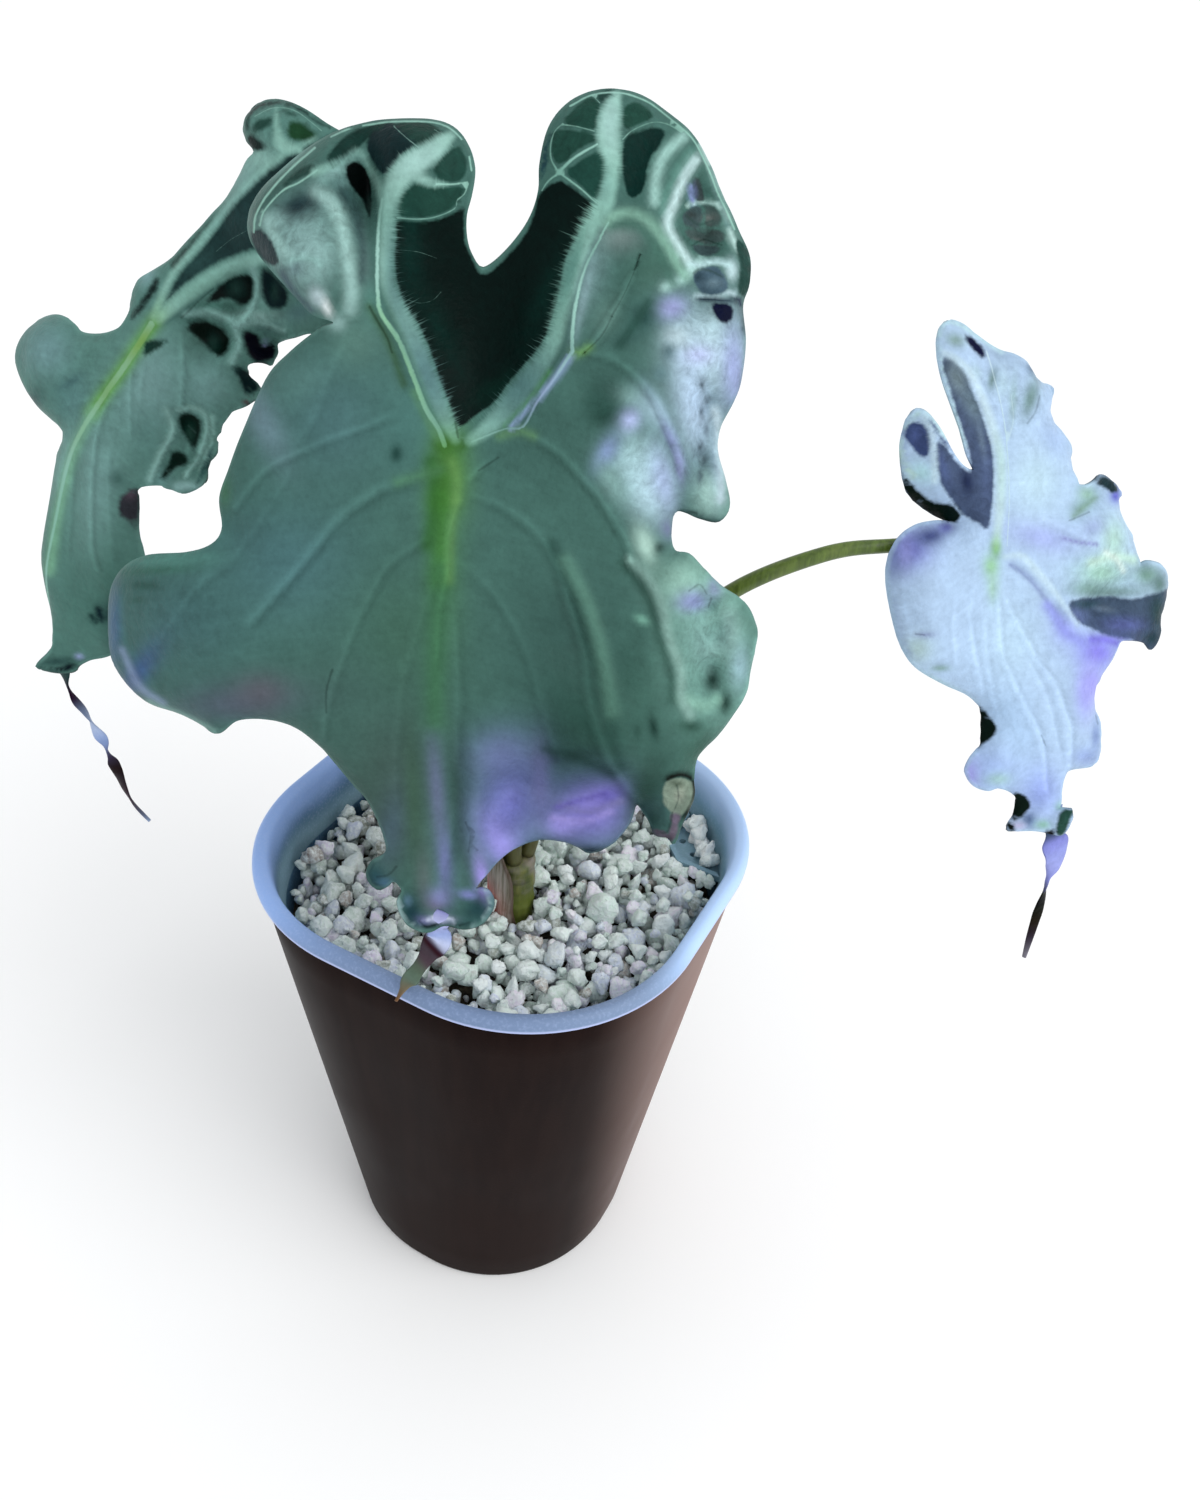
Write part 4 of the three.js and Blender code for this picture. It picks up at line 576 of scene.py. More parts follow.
        ("#437350", 0.7, 12, [(440, 570), (437, 640), (434, 720)]),
        ("#6a9a58", 0.6, 6, [(452, 462), (457, 480), (456, 500)]),
        ("#6f9f60", 0.4, 5, [(456, 500), (452, 530), (450, 580)]),
        ("#34642f", 0.7, 8, [(431, 462), (434, 480), (434, 510), (428, 545)]),
        ("#4f7d58", 0.5, 6, [(440, 470), (420, 476), (398, 482)]),
        ("#5f8f62", 0.5, 5, [(415, 392), (428, 420), (438, 440)]),
        ("#3a662c", 0.7, 7, [(440, 446), (452, 442), (462, 446)]),
        ("#8fbfae", 0.8, 6, [(681, 698), (692, 703), (706, 706), (716, 700)]),
        ("#3d5c3c", 0.7, 5, [(369, 306), (384, 332), (394, 356), (404, 384)]),
        ("#6c9a50", 0.6, 5, [(575, 354), (584, 352), (590, 348)]),
        ("#6c9a66", 0.5, 5, [(500, 436), (520, 431), (534, 436)]),
        ("#548f5c", 0.8, 4, [(506, 424), (530, 400), (550, 372)]),
        ("#9fb8e0", 0.8, 3, [(512, 428), (534, 404), (556, 378), (570, 358)]),
        ("#2f4f47", 0.8, 5, [(648, 303), (634, 326), (620, 346)]),
        ("#2e4b44", 0.6, 7, [(551, 545), (575, 600), (588, 655), (598, 712), (620, 765)]),
        ("#6a9886", 0.5, 7, [(566, 560), (588, 605), (602, 655), (612, 712)]),
        ("#8fb5ab", 0.9, 5, [
            (630, 560), (650, 580), (662, 605), (668, 637), (679, 670), (680, 695), (689, 714),
        ]),
        ("#38574e", 0.8, 6, [(622, 562), (642, 585), (653, 610), (659, 640), (669, 672), (671, 700)]),
        ("#243c36", 0.6, 6, [(545, 748), (580, 757), (612, 772)]),
        ("#15130f", 1, 3, [
            (667, 777), (677, 773), (686, 775), (693, 782), (695, 797), (691, 808), (685, 817),
        ]),
        ("#7d7ca0", 0.5, 4, [(560, 806), (590, 812), (620, 800)]),
        ("#a79ee4", 0.8, 3, [(552, 818), (585, 822), (610, 812)]),
        ("#6b63b4", 0.7, 3, [(556, 808), (580, 800), (606, 792)]),
        ("#a3cfc6", 1, 5, [(682, 138), (664, 156), (656, 178), (654, 203)]),
        ("#5f9084", 0.9, 4, [(690, 152), (676, 172), (665, 196), (662, 214)]),
        ("#c9e8e8", 1, 4.5, [(694, 160), (683, 176), (673, 202), (666, 224), (675, 244), (690, 268)]),
        ("#a9d2cc", 0.9, 5, [(700, 262), (690, 272), (676, 282), (664, 288)]),
        ("#8f9ad0", 0.9, 3, [(689, 186), (690, 196), (692, 205)]),
        ("#b5d9d2", 0.9, 2, [(686, 206), (700, 203), (712, 203), (719, 208)]),
        ("#bfe2e4", 1, 3, [(688, 266), (700, 266), (716, 263), (728, 266)]),
        ("#b9d6dc", 1, 2.5, [(694, 297), (712, 295), (733, 293)]),
        ("#1e2a3c", 0.9, 2.5, [(698, 300), (714, 300), (734, 300)]),
        ("#c2e6e0", 0.9, 3, [(700, 146), (714, 180), (724, 212), (730, 236), (738, 252)]),
        ("#5a7f7c", 0.9, 2.5, [(709, 168), (720, 200), (727, 228)]),
        ("#c5dce6", 0.9, 4, [(714, 408), (720, 440), (722, 480), (720, 500)]),
        ("#22333a", 1, 2.5, [(679, 511), (694, 514), (706, 521), (722, 521)]),
        ("#9fc6c0", 0.9, 7, [(318, 193), (330, 203), (340, 222), (346, 250), (351, 285), (350, 308)]),
        ("#9cc4be", 0.8, 6, [(268, 220), (276, 238), (290, 258)]),
        ("#8fbab4", 0.8, 3, [(288, 262), (306, 258), (322, 264)]),
        ("#4a5a66", 0.8, 4, [(284, 272), (296, 292), (312, 310)]),
        ("#3f5556", 0.8, 4, [(358, 226), (362, 250), (360, 280)]),
        ("#93a6c8", 0.6, 4, [(124, 650), (140, 684), (164, 702)]),
        ("#8fc0ac", 0.8, 5.5, [
            (607, 222), (613, 217), (628, 214), (645, 219), (660, 236), (675, 262), (684, 276),
        ]),
        ("#4a7266", 0.8, 5, [(612, 226), (628, 222), (641, 228), (654, 246), (664, 266), (672, 284)]),
        ("#1e2a44", 0.9, 2.5, [(737, 300), (742, 316), (742, 334)]),
        ("#3f5f58", 0.8, 5, [(261, 210), (276, 192), (292, 178), (306, 167)]),
        ("#d3dcf2", 0.8, 1.5, [(426, 919), (436, 916), (448, 917), (455, 921)]),
        ("#1b2a2e", 0.9, 2, [(424, 926), (434, 924), (444, 927), (458, 926), (470, 929)]),
        ("#a9c3c8", 0.7, 1.5, [(397, 898), (400, 912), (408, 922), (420, 929)]),
        ("#9fbcc0", 0.7, 1.5, [(486, 888), (491, 904), (485, 918), (472, 927)]),
        ("#22383c", 0.9, 3, [(372, 862), (368, 874), (374, 884), (384, 888)]),
        ("#7fa7a0", 0.7, 3, [(150, 700), (190, 716), (216, 730)]),
        ("#86b4ab", 0.9, 3, [(756, 640), (752, 672), (742, 698)]),
    ],
    "bloom_and_sheen": [
        (1, 706, 350, 40, 70), (1, 700, 220, 26, 60), (1, 640, 150, 22, 30), (0.8, 640, 470, 34, 50),
        (0.9, 710, 640, 34, 70), (1, 300, 240, 46, 60), (0.8, 352, 190, 30, 50), (0.5, 600, 280, 24, 60),
        (0.7, 700, 470, 22, 60), (0.6, 420, 160, 40, 24), (0.6, 610, 130, 20, 40), (0.3, 180, 620, 70, 60),
    ],
    "pits": [
        (699, 190, 7, 11, 0, -0.9), (711, 219, 9, 8, 0, -0.9), (706, 243, 16, 9, 0, -1),
        (708, 281, 15, 9, 0, -1.2), (720, 310, 8, 8, 0, -1.2), (397, 452, 6, 9, 0, -0.6),
        (148, 586, 12, 4, 0, -0.6), (140, 600, 7, 3, 0, -0.5), (653, 728, 4, 14, -15, -0.9),
        (710, 681, 9, 13, 15, -1), (724, 704, 6, 9, 20, -0.9), (689, 725, 12, 8, 0, -0.7),
        (692, 600, 12, 9, 0, 0.7), (712, 601, 4, 8, 30, -0.9), (300, 203, 20, 11, -15, -1),
        (659, 549, 6, 6, 0, -1), (704, 408, 5, 7, 0, -0.8), (698, 433, 5, 7, 0, -0.8),
        (700, 460, 6, 8, 0, -0.8), (668, 352, 8, 12, 0, -0.5), (730, 640, 8, 20, 0, 0.5),
        (418, 905, 16, 16, 0, 0.8), (474, 905, 14, 14, 0, 0.8), (679, 797, 9, 12, 0, -0.6),
    ],
    "ridges": [
        (0.5, 5, [(440, 446), (425, 408), (399, 339), (380, 313), (377, 260), (385, 195), (410, 165)]),
        (0.5, 5, [
            (472, 442), (524, 427), (554, 380), (573, 352), (572, 330), (575, 304), (600, 238), (612, 190),
        ]),
        (0.9, 10, [(320, 176), (327, 190), (340, 211), (347, 235), (350, 269), (354, 302)]),
        (0.6, 7, [(283, 180), (262, 200), (254, 226)]), (-0.5, 6, [(369, 306), (391, 350), (402, 395)]),
        (-0.5, 6, [(377, 494), (322, 545), (258, 622)]), (0.4, 8, [(399, 480), (338, 514), (284, 578)]),
        (-0.4, 6, [(371, 430), (284, 465)]), (0.6, 8, [(630, 560), (662, 605), (679, 670), (689, 714)]),
        (-0.6, 9, [(622, 562), (653, 610), (669, 672)]), (-0.8, 9, [(551, 545), (588, 655), (620, 765)]),
        (0.7, 8, [(560, 548), (600, 650), (625, 755)]), (0.5, 6, [(651, 392), (676, 447), (681, 469)]),
        (-0.6, 7, [(645, 395), (668, 447), (674, 470)]), (-0.6, 5, [(642, 252), (612, 326), (583, 357)]),
        (0.6, 6, [(610, 218), (647, 214), (668, 243), (686, 272)]),
        (-0.5, 5, [(128, 586), (125, 628), (150, 672)]), (0.5, 7, [(436, 700), (441, 780), (450, 890)]),
        (-0.5, 6, [(455, 720), (464, 800), (468, 880)]), (0.5, 6, [(470, 730), (480, 800), (480, 860)]),
        (0.5, 5, [(640, 520), (636, 545), (648, 572)]), (0.4, 5, [(412, 480), (446, 470), (440, 600)]),
    ],
    "stalk": [
        (6.6, -8.6, STALK_FOOT_Z, 1.85), (6.2, -9.2, 150, 2.3), (4, -10, 176, 2.4), (0.5, -9.5, 203, 2.2),
        (-4, -9.5, 222, 2.1),
    ],
    "stalk_name": "petiole_front",
    # The lilac and pale colours along the tail are painted reflections and highlights
    "tail": [
        (444, 912, -2.2, 1.5, 0, "#8f93c8"), (440, 920, -2.6, 2.3, 0, "#b3b8e2"),
        (437, 928, -2.9, 2, 6, "#aab4e4"), (439, 935, -3, 2.6, 6, "#9fb0e2"),
        (438, 941, -3.1, 2.7, 10, "#c3cdee"), (434, 945, -3.2, 2.9, 20, "#4c4250"),
        (429, 951, -3.4, 2.4, 30, "#4b4149"), (424, 960, -3.8, 1.9, 40, "#554a50"),
        (418, 969, -3.8, 1.7, 40, "#5f6f60"), (410, 980, -3, 1.9, 30, "#66786a"),
        (404, 988, -1.2, 1.2, 60, "#7a7460"), (396, 1001, 1, 0.5, 90, "#7a5a40"),
    ],
}

LEFT = {
    "name": "leaf_left",
    "slot": "leaf_green",
    "spacing": 0.75,
    "junction": (-91.5, -3.2, 236.9),
    "azimuth": 5,
    "elevation": 20,
    "tip": (62, 660),
    "arch": (200, 700),
    "body": "#5b857c",
    "vein": "#9ccdbf",
    "rim": "#86b9ae",
    "under": "#3d2f3c",
    "rim_highlight_share": 0.2,
    "cell_blur": 1.7,
    "outline": [
        (352, 225, 0), (362, 190, 0), (362, 160, -1), (345, 136, -1), (326, 124, -2), (308, 112, -3),
        (291, 104, -4), (275, 101, -5), (260, 105, -5), (250, 115, -5), (246, 128, -5), (248, 141, -3),
        (256, 151, -2), (248, 161, -2), (239, 180, -3), (229, 197, -3), (214, 214, -3), (199, 231, -3),
        (183, 248, -3), (172, 260, -3), (155, 271, -3), (142, 279, -3), (136, 288, -3), (133, 300, -3),
        (130, 314, -2), (121, 327, -1), (110, 333, -2), (96, 335, -3), (83, 333, -4), (75, 325, -4),
        (66, 318, -5), (54, 316, -5), (41, 321, -6), (31, 332, -6), (25, 348, -6), (25, 367, -6),
        (29, 386, -5), (37, 403, -4), (51, 417, -3), (62, 427, -2), (65, 437, -2), (60, 452, -3),
        (56, 470, -3), (52, 500, -4), (46, 535, -4), (44, 558, -4), (47, 587, -3), (53, 613, -2),
        (54, 634, 0), (50, 650, 2), (36, 666, 3), (48, 671, 3), (62, 673, 3), (74, 671, 2), (80, 665, 0),
        (92, 659, -2), (109, 655, -4), (126, 644, -5), (138, 612, -5), (146, 575, -5), (144, 553, -5),
        (139, 532, -5), (139, 506, -5), (139, 490, -4), (143, 486, -1), (158, 485, 0), (171, 488, -3),
        (183, 493, -2), (196, 489, -3), (206, 480, -2), (210, 464, -4), (217, 453, -2), (219, 438, -4),
        (223, 422, -2), (234, 411, -3), (247, 405, -1), (259, 395, 0), (257, 384, -3), (248, 373, -4),
        (246, 363, -1), (261, 362, 0), (271, 365, -2), (277, 357, -3), (279, 342, -2), (295, 337, -2),
        (312, 333, -2), (338, 340, -3), (372, 330, -3), (388, 300, -3), (384, 265, -2), (366, 240, 0),
    ],
    "domes": [
        (50, 360, 9, 11, 0, 4), (110, 470, 10, 30, 15, 3), (215, 250, 6, 14, 40, -3),
        (211, 338, 6, 5, 0, -4), (238, 292, 4, 4, 0, -3), (276, 300, 4, 6, 0, -4), (256, 346, 4, 4, 0, -5),
        (246, 382, 3, 4, 0, -3), (190, 424, 4, 4, 0, -3), (178, 464, 4, 5, 0, -3), (98, 613, 3, 4, 0, -3),
        (276, 130, 8, 8, 0, 2), (230, 365, 4, 4, 0, 3), (170, 380, 6, 10, 0, 3),
    ],
    # Dark pattern cells; those in the dimples also hold painted shade
    "cells": [
        ("#253a3a", [
            (165, 304), (183, 270), (206, 244), (243, 197), (282, 161), (321, 140), (345, 136), (360, 170),
            (330, 240), (300, 244), (269, 247), (251, 251), (217, 264), (185, 286),
        ]),
        ("#1d2b2a", [(131, 320), (145, 296), (158, 277), (160, 288), (150, 303), (138, 317)]),
        ("#1f2f2c", [(172, 265), (190, 245), (214, 218), (213, 222), (195, 246), (176, 272)]),
        ("#1b2d2b", [
            (246, 128), (249, 116), (259, 106), (275, 102), (291, 104), (321, 121), (340, 133), (321, 127),
            (291, 109), (275, 107), (260, 111), (252, 120), (250, 136),
        ]),
        ("#25462f", [(290, 122), (303, 124), (317, 136), (314, 141), (297, 142), (288, 137)]),
        ("#2b4a42", [(254, 126), (262, 119), (274, 120), (271, 128), (262, 131), (255, 134)]),
        ("#192826", [(247, 138), (253, 134), (262, 141), (268, 148), (256, 151)]),
        ("#2b4a42", [(281, 112), (291, 112), (300, 119), (290, 117)]),
        ("#0e1c1b", [
            (206, 300), (227, 279), (248, 273), (255, 278), (254, 299), (243, 307), (227, 300), (212, 304),
        ]),
        ("#182629", [(264, 266), (285, 284), (288, 304), (277, 310), (267, 307), (261, 284)]),
        ("#0f1d1a", [
            (188, 323), (206, 320), (227, 331), (232, 346), (222, 359), (209, 351), (196, 338), (189, 333),
        ]),
        ("#1f3a33", [(144, 344), (151, 340), (170, 341), (159, 350), (146, 357)]),
        ("#11161e", [
            (243, 331), (258, 333), (262, 347), (269, 341), (277, 338), (275, 357), (266, 364), (253, 362),
            (244, 347),
        ]),
        ("#16282a", [(233, 367), (243, 367), (258, 384), (259, 392), (246, 395), (240, 383)]),
        ("#5a3038", [(243, 401), (248, 400), (250, 404), (245, 405)]),
        ("#10231e", [(178, 415), (188, 411), (200, 416), (202, 427), (196, 450), (186, 438), (178, 425)]),
        ("#112520", [(172, 449), (185, 453), (188, 464), (175, 469), (165, 479), (160, 477), (167, 464)]),
        ("#2e5150", [(214, 445), (211, 464), (204, 478), (196, 486), (201, 472), (206, 458)]),
        ("#383a40", [(119, 500), (127, 490), (139, 488), (139, 507), (136, 527), (129, 521), (119, 514)]),
        ("#15282e", [(96, 606), (103, 608), (104, 622), (98, 620)]),
        ("#1d3434", [(90, 612), (96, 616), (98, 626), (91, 620)]),
        ("#16242a", [(38, 667), (60, 668), (70, 664), (78, 668), (62, 673), (46, 671)]),
    ],
    "bands": [
        (1.5, [(160, 318), (186, 296), (217, 275), (253, 260), (290, 256), (330, 252)], (6, 7, 7, 6, 4, 4)),
        (1, [
            (155, 318), (160, 306), (175, 274), (206, 238), (243, 191), (282, 156), (316, 140),
        ], (4, 4, 3, 3, 2.5, 2, 2)),
        (2, [(277, 112), (278, 130), (283, 146), (300, 150)], (1, 3, 7, 4)),
    ],
    "lines": [
        (3, 0.6, [
            (153, 324), (140, 345), (122, 372), (107, 393), (83, 431), (69, 465), (57, 520), (48, 569),
            (51, 606),
        ]),
        (0, 0, [(256, 118), (274, 110), (296, 113), (322, 132)]),
        (-0.3, -0.3, [(217, 252), (232, 240), (248, 231)]),
    ],
    "side_veins": [
        (0.7, 2.5, (4, 0), [(120, 390), (103, 414), (93, 465), (92, 541), (98, 569)]),
        (0.5, 2.5, (3, 0), [(141, 352), (132, 372), (130, 414), (131, 438)]),
        (0.7, 2.5, (4, 0), [(180, 325), (182, 362), (180, 403)]),
        (0.4, 3, (3, 0), [(150, 345), (144, 370), (140, 400)]),
        (0.4, 3, (3, 0), [(75, 450), (72, 500), (68, 560)]),
        (0.4, 3, (3, 0), [(110, 430), (108, 500), (112, 560)]),
        (0.5, 3, (2, 3), [(120, 375), (90, 380), (60, 372)]),
        (0.4, 3, (2, 3), [(108, 395), (85, 400), (62, 405)]),
        (0.8, 2.5, (3, 2), [(256, 270), (259, 289), (253, 307), (240, 325), (228, 318), (207, 310)]),
        (0.6, 2.5, (2, 3), [(240, 325), (262, 322), (285, 330)]),
        (0.6, 2.5, (3, 0), [(236, 326), (240, 345), (232, 362)]),
        (0.7, 2.5, (3, 2), [(167, 410), (172, 430), (160, 455), (150, 480)]),
        (0.7, 2.5, (3, 0), [(178, 410), (190, 407), (204, 413), (207, 430), (199, 455), (186, 476)]),
        (0.8, 2, (2, 2), [(183, 432), (190, 444), (188, 452)]),
    ],
    "shade_creases": [
        (0.6, [(182, 318), (200, 300), (213, 289)]),
        (0.3, [(188, 425), (196, 433)]),
        (0.6, [(248, 388), (256, 398), (250, 404)]),
    ],
    # Own tones with painted light and shade: highlights on bulges, a lilac reflection, shade in pits and at
    # curled margins
    "spots": [
        ("#7fa6a4", 0.9, 150, 390, 30, 50, 10), ("#7aa39f", 0.8, 100, 480, 22, 70, 6),
        ("#73999a", 1, 48, 350, 24, 26), ("#5c8585", 0.7, 75, 400, 20, 26),
        ("#3a5a5a", 0.9, 34, 402, 9, 14, 30), ("#456668", 0.8, 72, 382, 14, 5, -30),
        ("#527a74", 0.6, 150, 430, 20, 40), ("#77a09d", 0.8, 205, 385, 26, 26),
        ("#43685f", 0.8, 112, 590, 24, 40), ("#4c766d", 0.7, 80, 600, 26, 50),
        ("#2a4746", 0.9, 112, 612, 9, 12), ("#1d3232", 0.8, 98, 608, 4, 5),
        ("#22393a", 0.8, 104, 618, 4, 5), ("#2f4d4b", 0.8, 120, 640, 12, 14),
        ("#86aeb0", 0.8, 148, 276, 8, 12, 20), ("#86ada8", 0.9, 240, 172, 22, 30, 35),
        ("#93c0b6", 0.8, 262, 160, 18, 12), ("#3b5a52", 0.8, 235, 312, 16, 8),
        ("#4f7270", 0.8, 272, 322, 18, 8, -15), ("#8a90c0", 0.9, 264, 346, 3, 7, 20),
        ("#383a3e", 0.8, 133, 514, 6, 12), ("#a9b9e8", 0.9, 80, 656, 4, 3),
        ("#2c4848", 0.8, 58, 662, 22, 6), ("#39574f", 0.6, 200, 340, 14, 16),
        ("#9cc6c4", 0.9, 186, 486, 16, 5), ("#7fb0ac", 0.7, 160, 478, 10, 10),
        ("#50766f", 0.6, 60, 500, 8, 60, 8), ("#35544f", 0.7, 118, 478, 8, 8),
        ("#86b4ae", 0.7, 64, 470, 8, 40, 10), ("#8fb6b0", 0.8, 262, 316, 20, 5),
        ("#56787a", 0.8, 300, 312, 14, 10, -20), ("#1e3a34", 0.8, 192, 318, 12, 7),
        ("#3a6258", 0.7, 214, 306, 26, 4),
    ],
    "vein_spots": [
        ("#7fa85c", 1, 142, 343, 14, 30, 35), ("#83b07a", 1, 108, 392, 16, 30, 38),
        ("#8fc0a0", 1, 84, 430, 12, 30, 25), ("#8fbf9a", 0.8, 158, 312, 10, 14),
        ("#8fc4b0", 0.9, 58, 520, 14, 70), ("#80b0a2", 0.9, 200, 285, 40, 12, -35),
        ("#74a092", 0.9, 230, 272, 40, 5, -30), ("#93c4bc", 0.8, 230, 210, 60, 60),
    ],
    "deep_spots": [
        ("#33504e", 0.7, 200, 262, 20, 12, -40), ("#2f4a4a", 0.6, 250, 215, 20, 30, 40),
        ("#2a4640", 0.7, 236, 288, 8, 10), ("#27433c", 0.7, 214, 344, 6, 10),
        ("#2c4c42", 0.7, 190, 432, 5, 10), ("#33534b", 0.6, 275, 292, 4, 10),
        ("#6a5a68", 0.6, 130, 493, 6, 6),
    ],
    "strokes": [
        ("#6aa552", 0.9, 8, [(156, 322), (140, 345), (122, 372), (106, 394), (94, 412)]),
        ("#7fb596", 0.8, 6, [(94, 412), (84, 432), (74, 456), (66, 484), (58, 520), (51, 570)]),
        ("#3d5f5a", 0.7, 4, [(166, 322), (190, 303), (218, 284)]),
        ("#8fbdb4", 0.8, 3, [(213, 417), (213, 440), (202, 470)]),
        ("#7fa9a2", 1, 4, [(254, 268), (259, 289), (254, 307), (240, 325)]),
        ("#7fa9a2", 0.9, 3.5, [(240, 325), (226, 317), (207, 312), (186, 314)]),
        ("#7fa9a2", 0.9, 3, [(240, 325), (262, 322), (285, 330)]),
        ("#7fa9a2", 0.9, 3.5, [(236, 326), (240, 345), (232, 362)]),
        ("#86b0a9", 0.9, 3, [(167, 410), (172, 430), (160, 455), (150, 480)]),
        ("#8ab6ae", 0.9, 2.5, [(178, 409), (190, 406), (205, 412), (208, 430), (200, 456), (186, 476)]),
        ("#6f9a92", 0.7, 3, [(262, 300), (270, 316), (286, 322)]),
    ],
    "bloom_and_sheen": [
        (0.9, 240, 320, 50, 50), (0.8, 195, 440, 24, 40), (0.8, 270, 140, 34, 34), (0.4, 90, 400, 80, 80),
    ],
    "pits": [
        (72, 382, 12, 6, -30, -0.7), (190, 430, 12, 18, 10, -0.8), (174, 464, 12, 12, 0, -0.8),
        (210, 338, 18, 14, 0, -0.9), (232, 290, 20, 12, 0, -0.8), (275, 288, 9, 18, 0, -0.9),
        (262, 348, 12, 12, 0, -1), (247, 382, 8, 10, 0, -0.8), (155, 348, 10, 6, 0, -0.7),
        (98, 613, 6, 8, 0, -0.7), (230, 225, 14, 50, 45, -0.4), (300, 132, 10, 8, 0, -0.5),
    ],
    "ridges": [
        (0.7, 7, [(155, 318), (122, 372), (83, 431), (57, 520), (48, 569)]),
        (0.7, 8, [(160, 318), (217, 275), (253, 260), (330, 252)]),
        (0.5, 5, [(158, 306), (206, 238), (282, 156)]), (0.4, 6, [(120, 390), (93, 465), (92, 541)]),
        (-0.3, 6, [(108, 400), (78, 470), (70, 560)]), (0.5, 6, [(180, 325), (182, 362), (180, 403)]),
        (0.6, 6, [(256, 270), (259, 289), (240, 325), (207, 312)]),
        (0.5, 6, [(167, 410), (160, 455), (150, 480)]),
    ],
    "stalk": [
        (3.6, -5.5, STALK_FOOT_Z, 1.8), (2.4, -4.8, 146, 1.9), (-3, -2, 164, 1.9), (-16, 5, 192, 1.8),
        (-34, 11, 220, 1.7), (-52, 14, 239, 1.6), (-69, 15, 247, 1.6), (-82, 12.5, 245.5, 1.6),
    ],
    "stalk_name": "petiole_left",
    # The lilac and pale colours along the tail are painted reflections and highlights
    "tail": [
        (60, 655, -6, 3.5, 0, "#3c5c58"), (64, 672, -6.5, 2.4, 10, "#33504f"),
        (68, 687, -7.4, 0.9, 40, "#2a2634"), (75, 700, -8.3, 1.3, 80, "#3a3248"),
        (85, 712, -9.3, 1.8, 60, "#7f8fae"), (95, 728, -10.5, 2.7, 20, "#b4c6ea"),
        (103, 741, -11.6, 2, 0, "#93aadc"), (108, 753, -12.6, 0.7, 60, "#5a5a78"),
        (114, 764, -13.5, 1.5, 150, "#2f2830"), (120, 777, -14.6, 2, 190, "#2c242a"),
        (126, 791, -15.6, 1.5, 200, "#3c3038"), (134, 804, -16.6, 1, 230, "#55505c"),
        (143, 814, -17.4, 0.7, 250, "#6f7890"), (150, 821, -18, 0.5, 260, "#9fb4d6"),
    ],
}

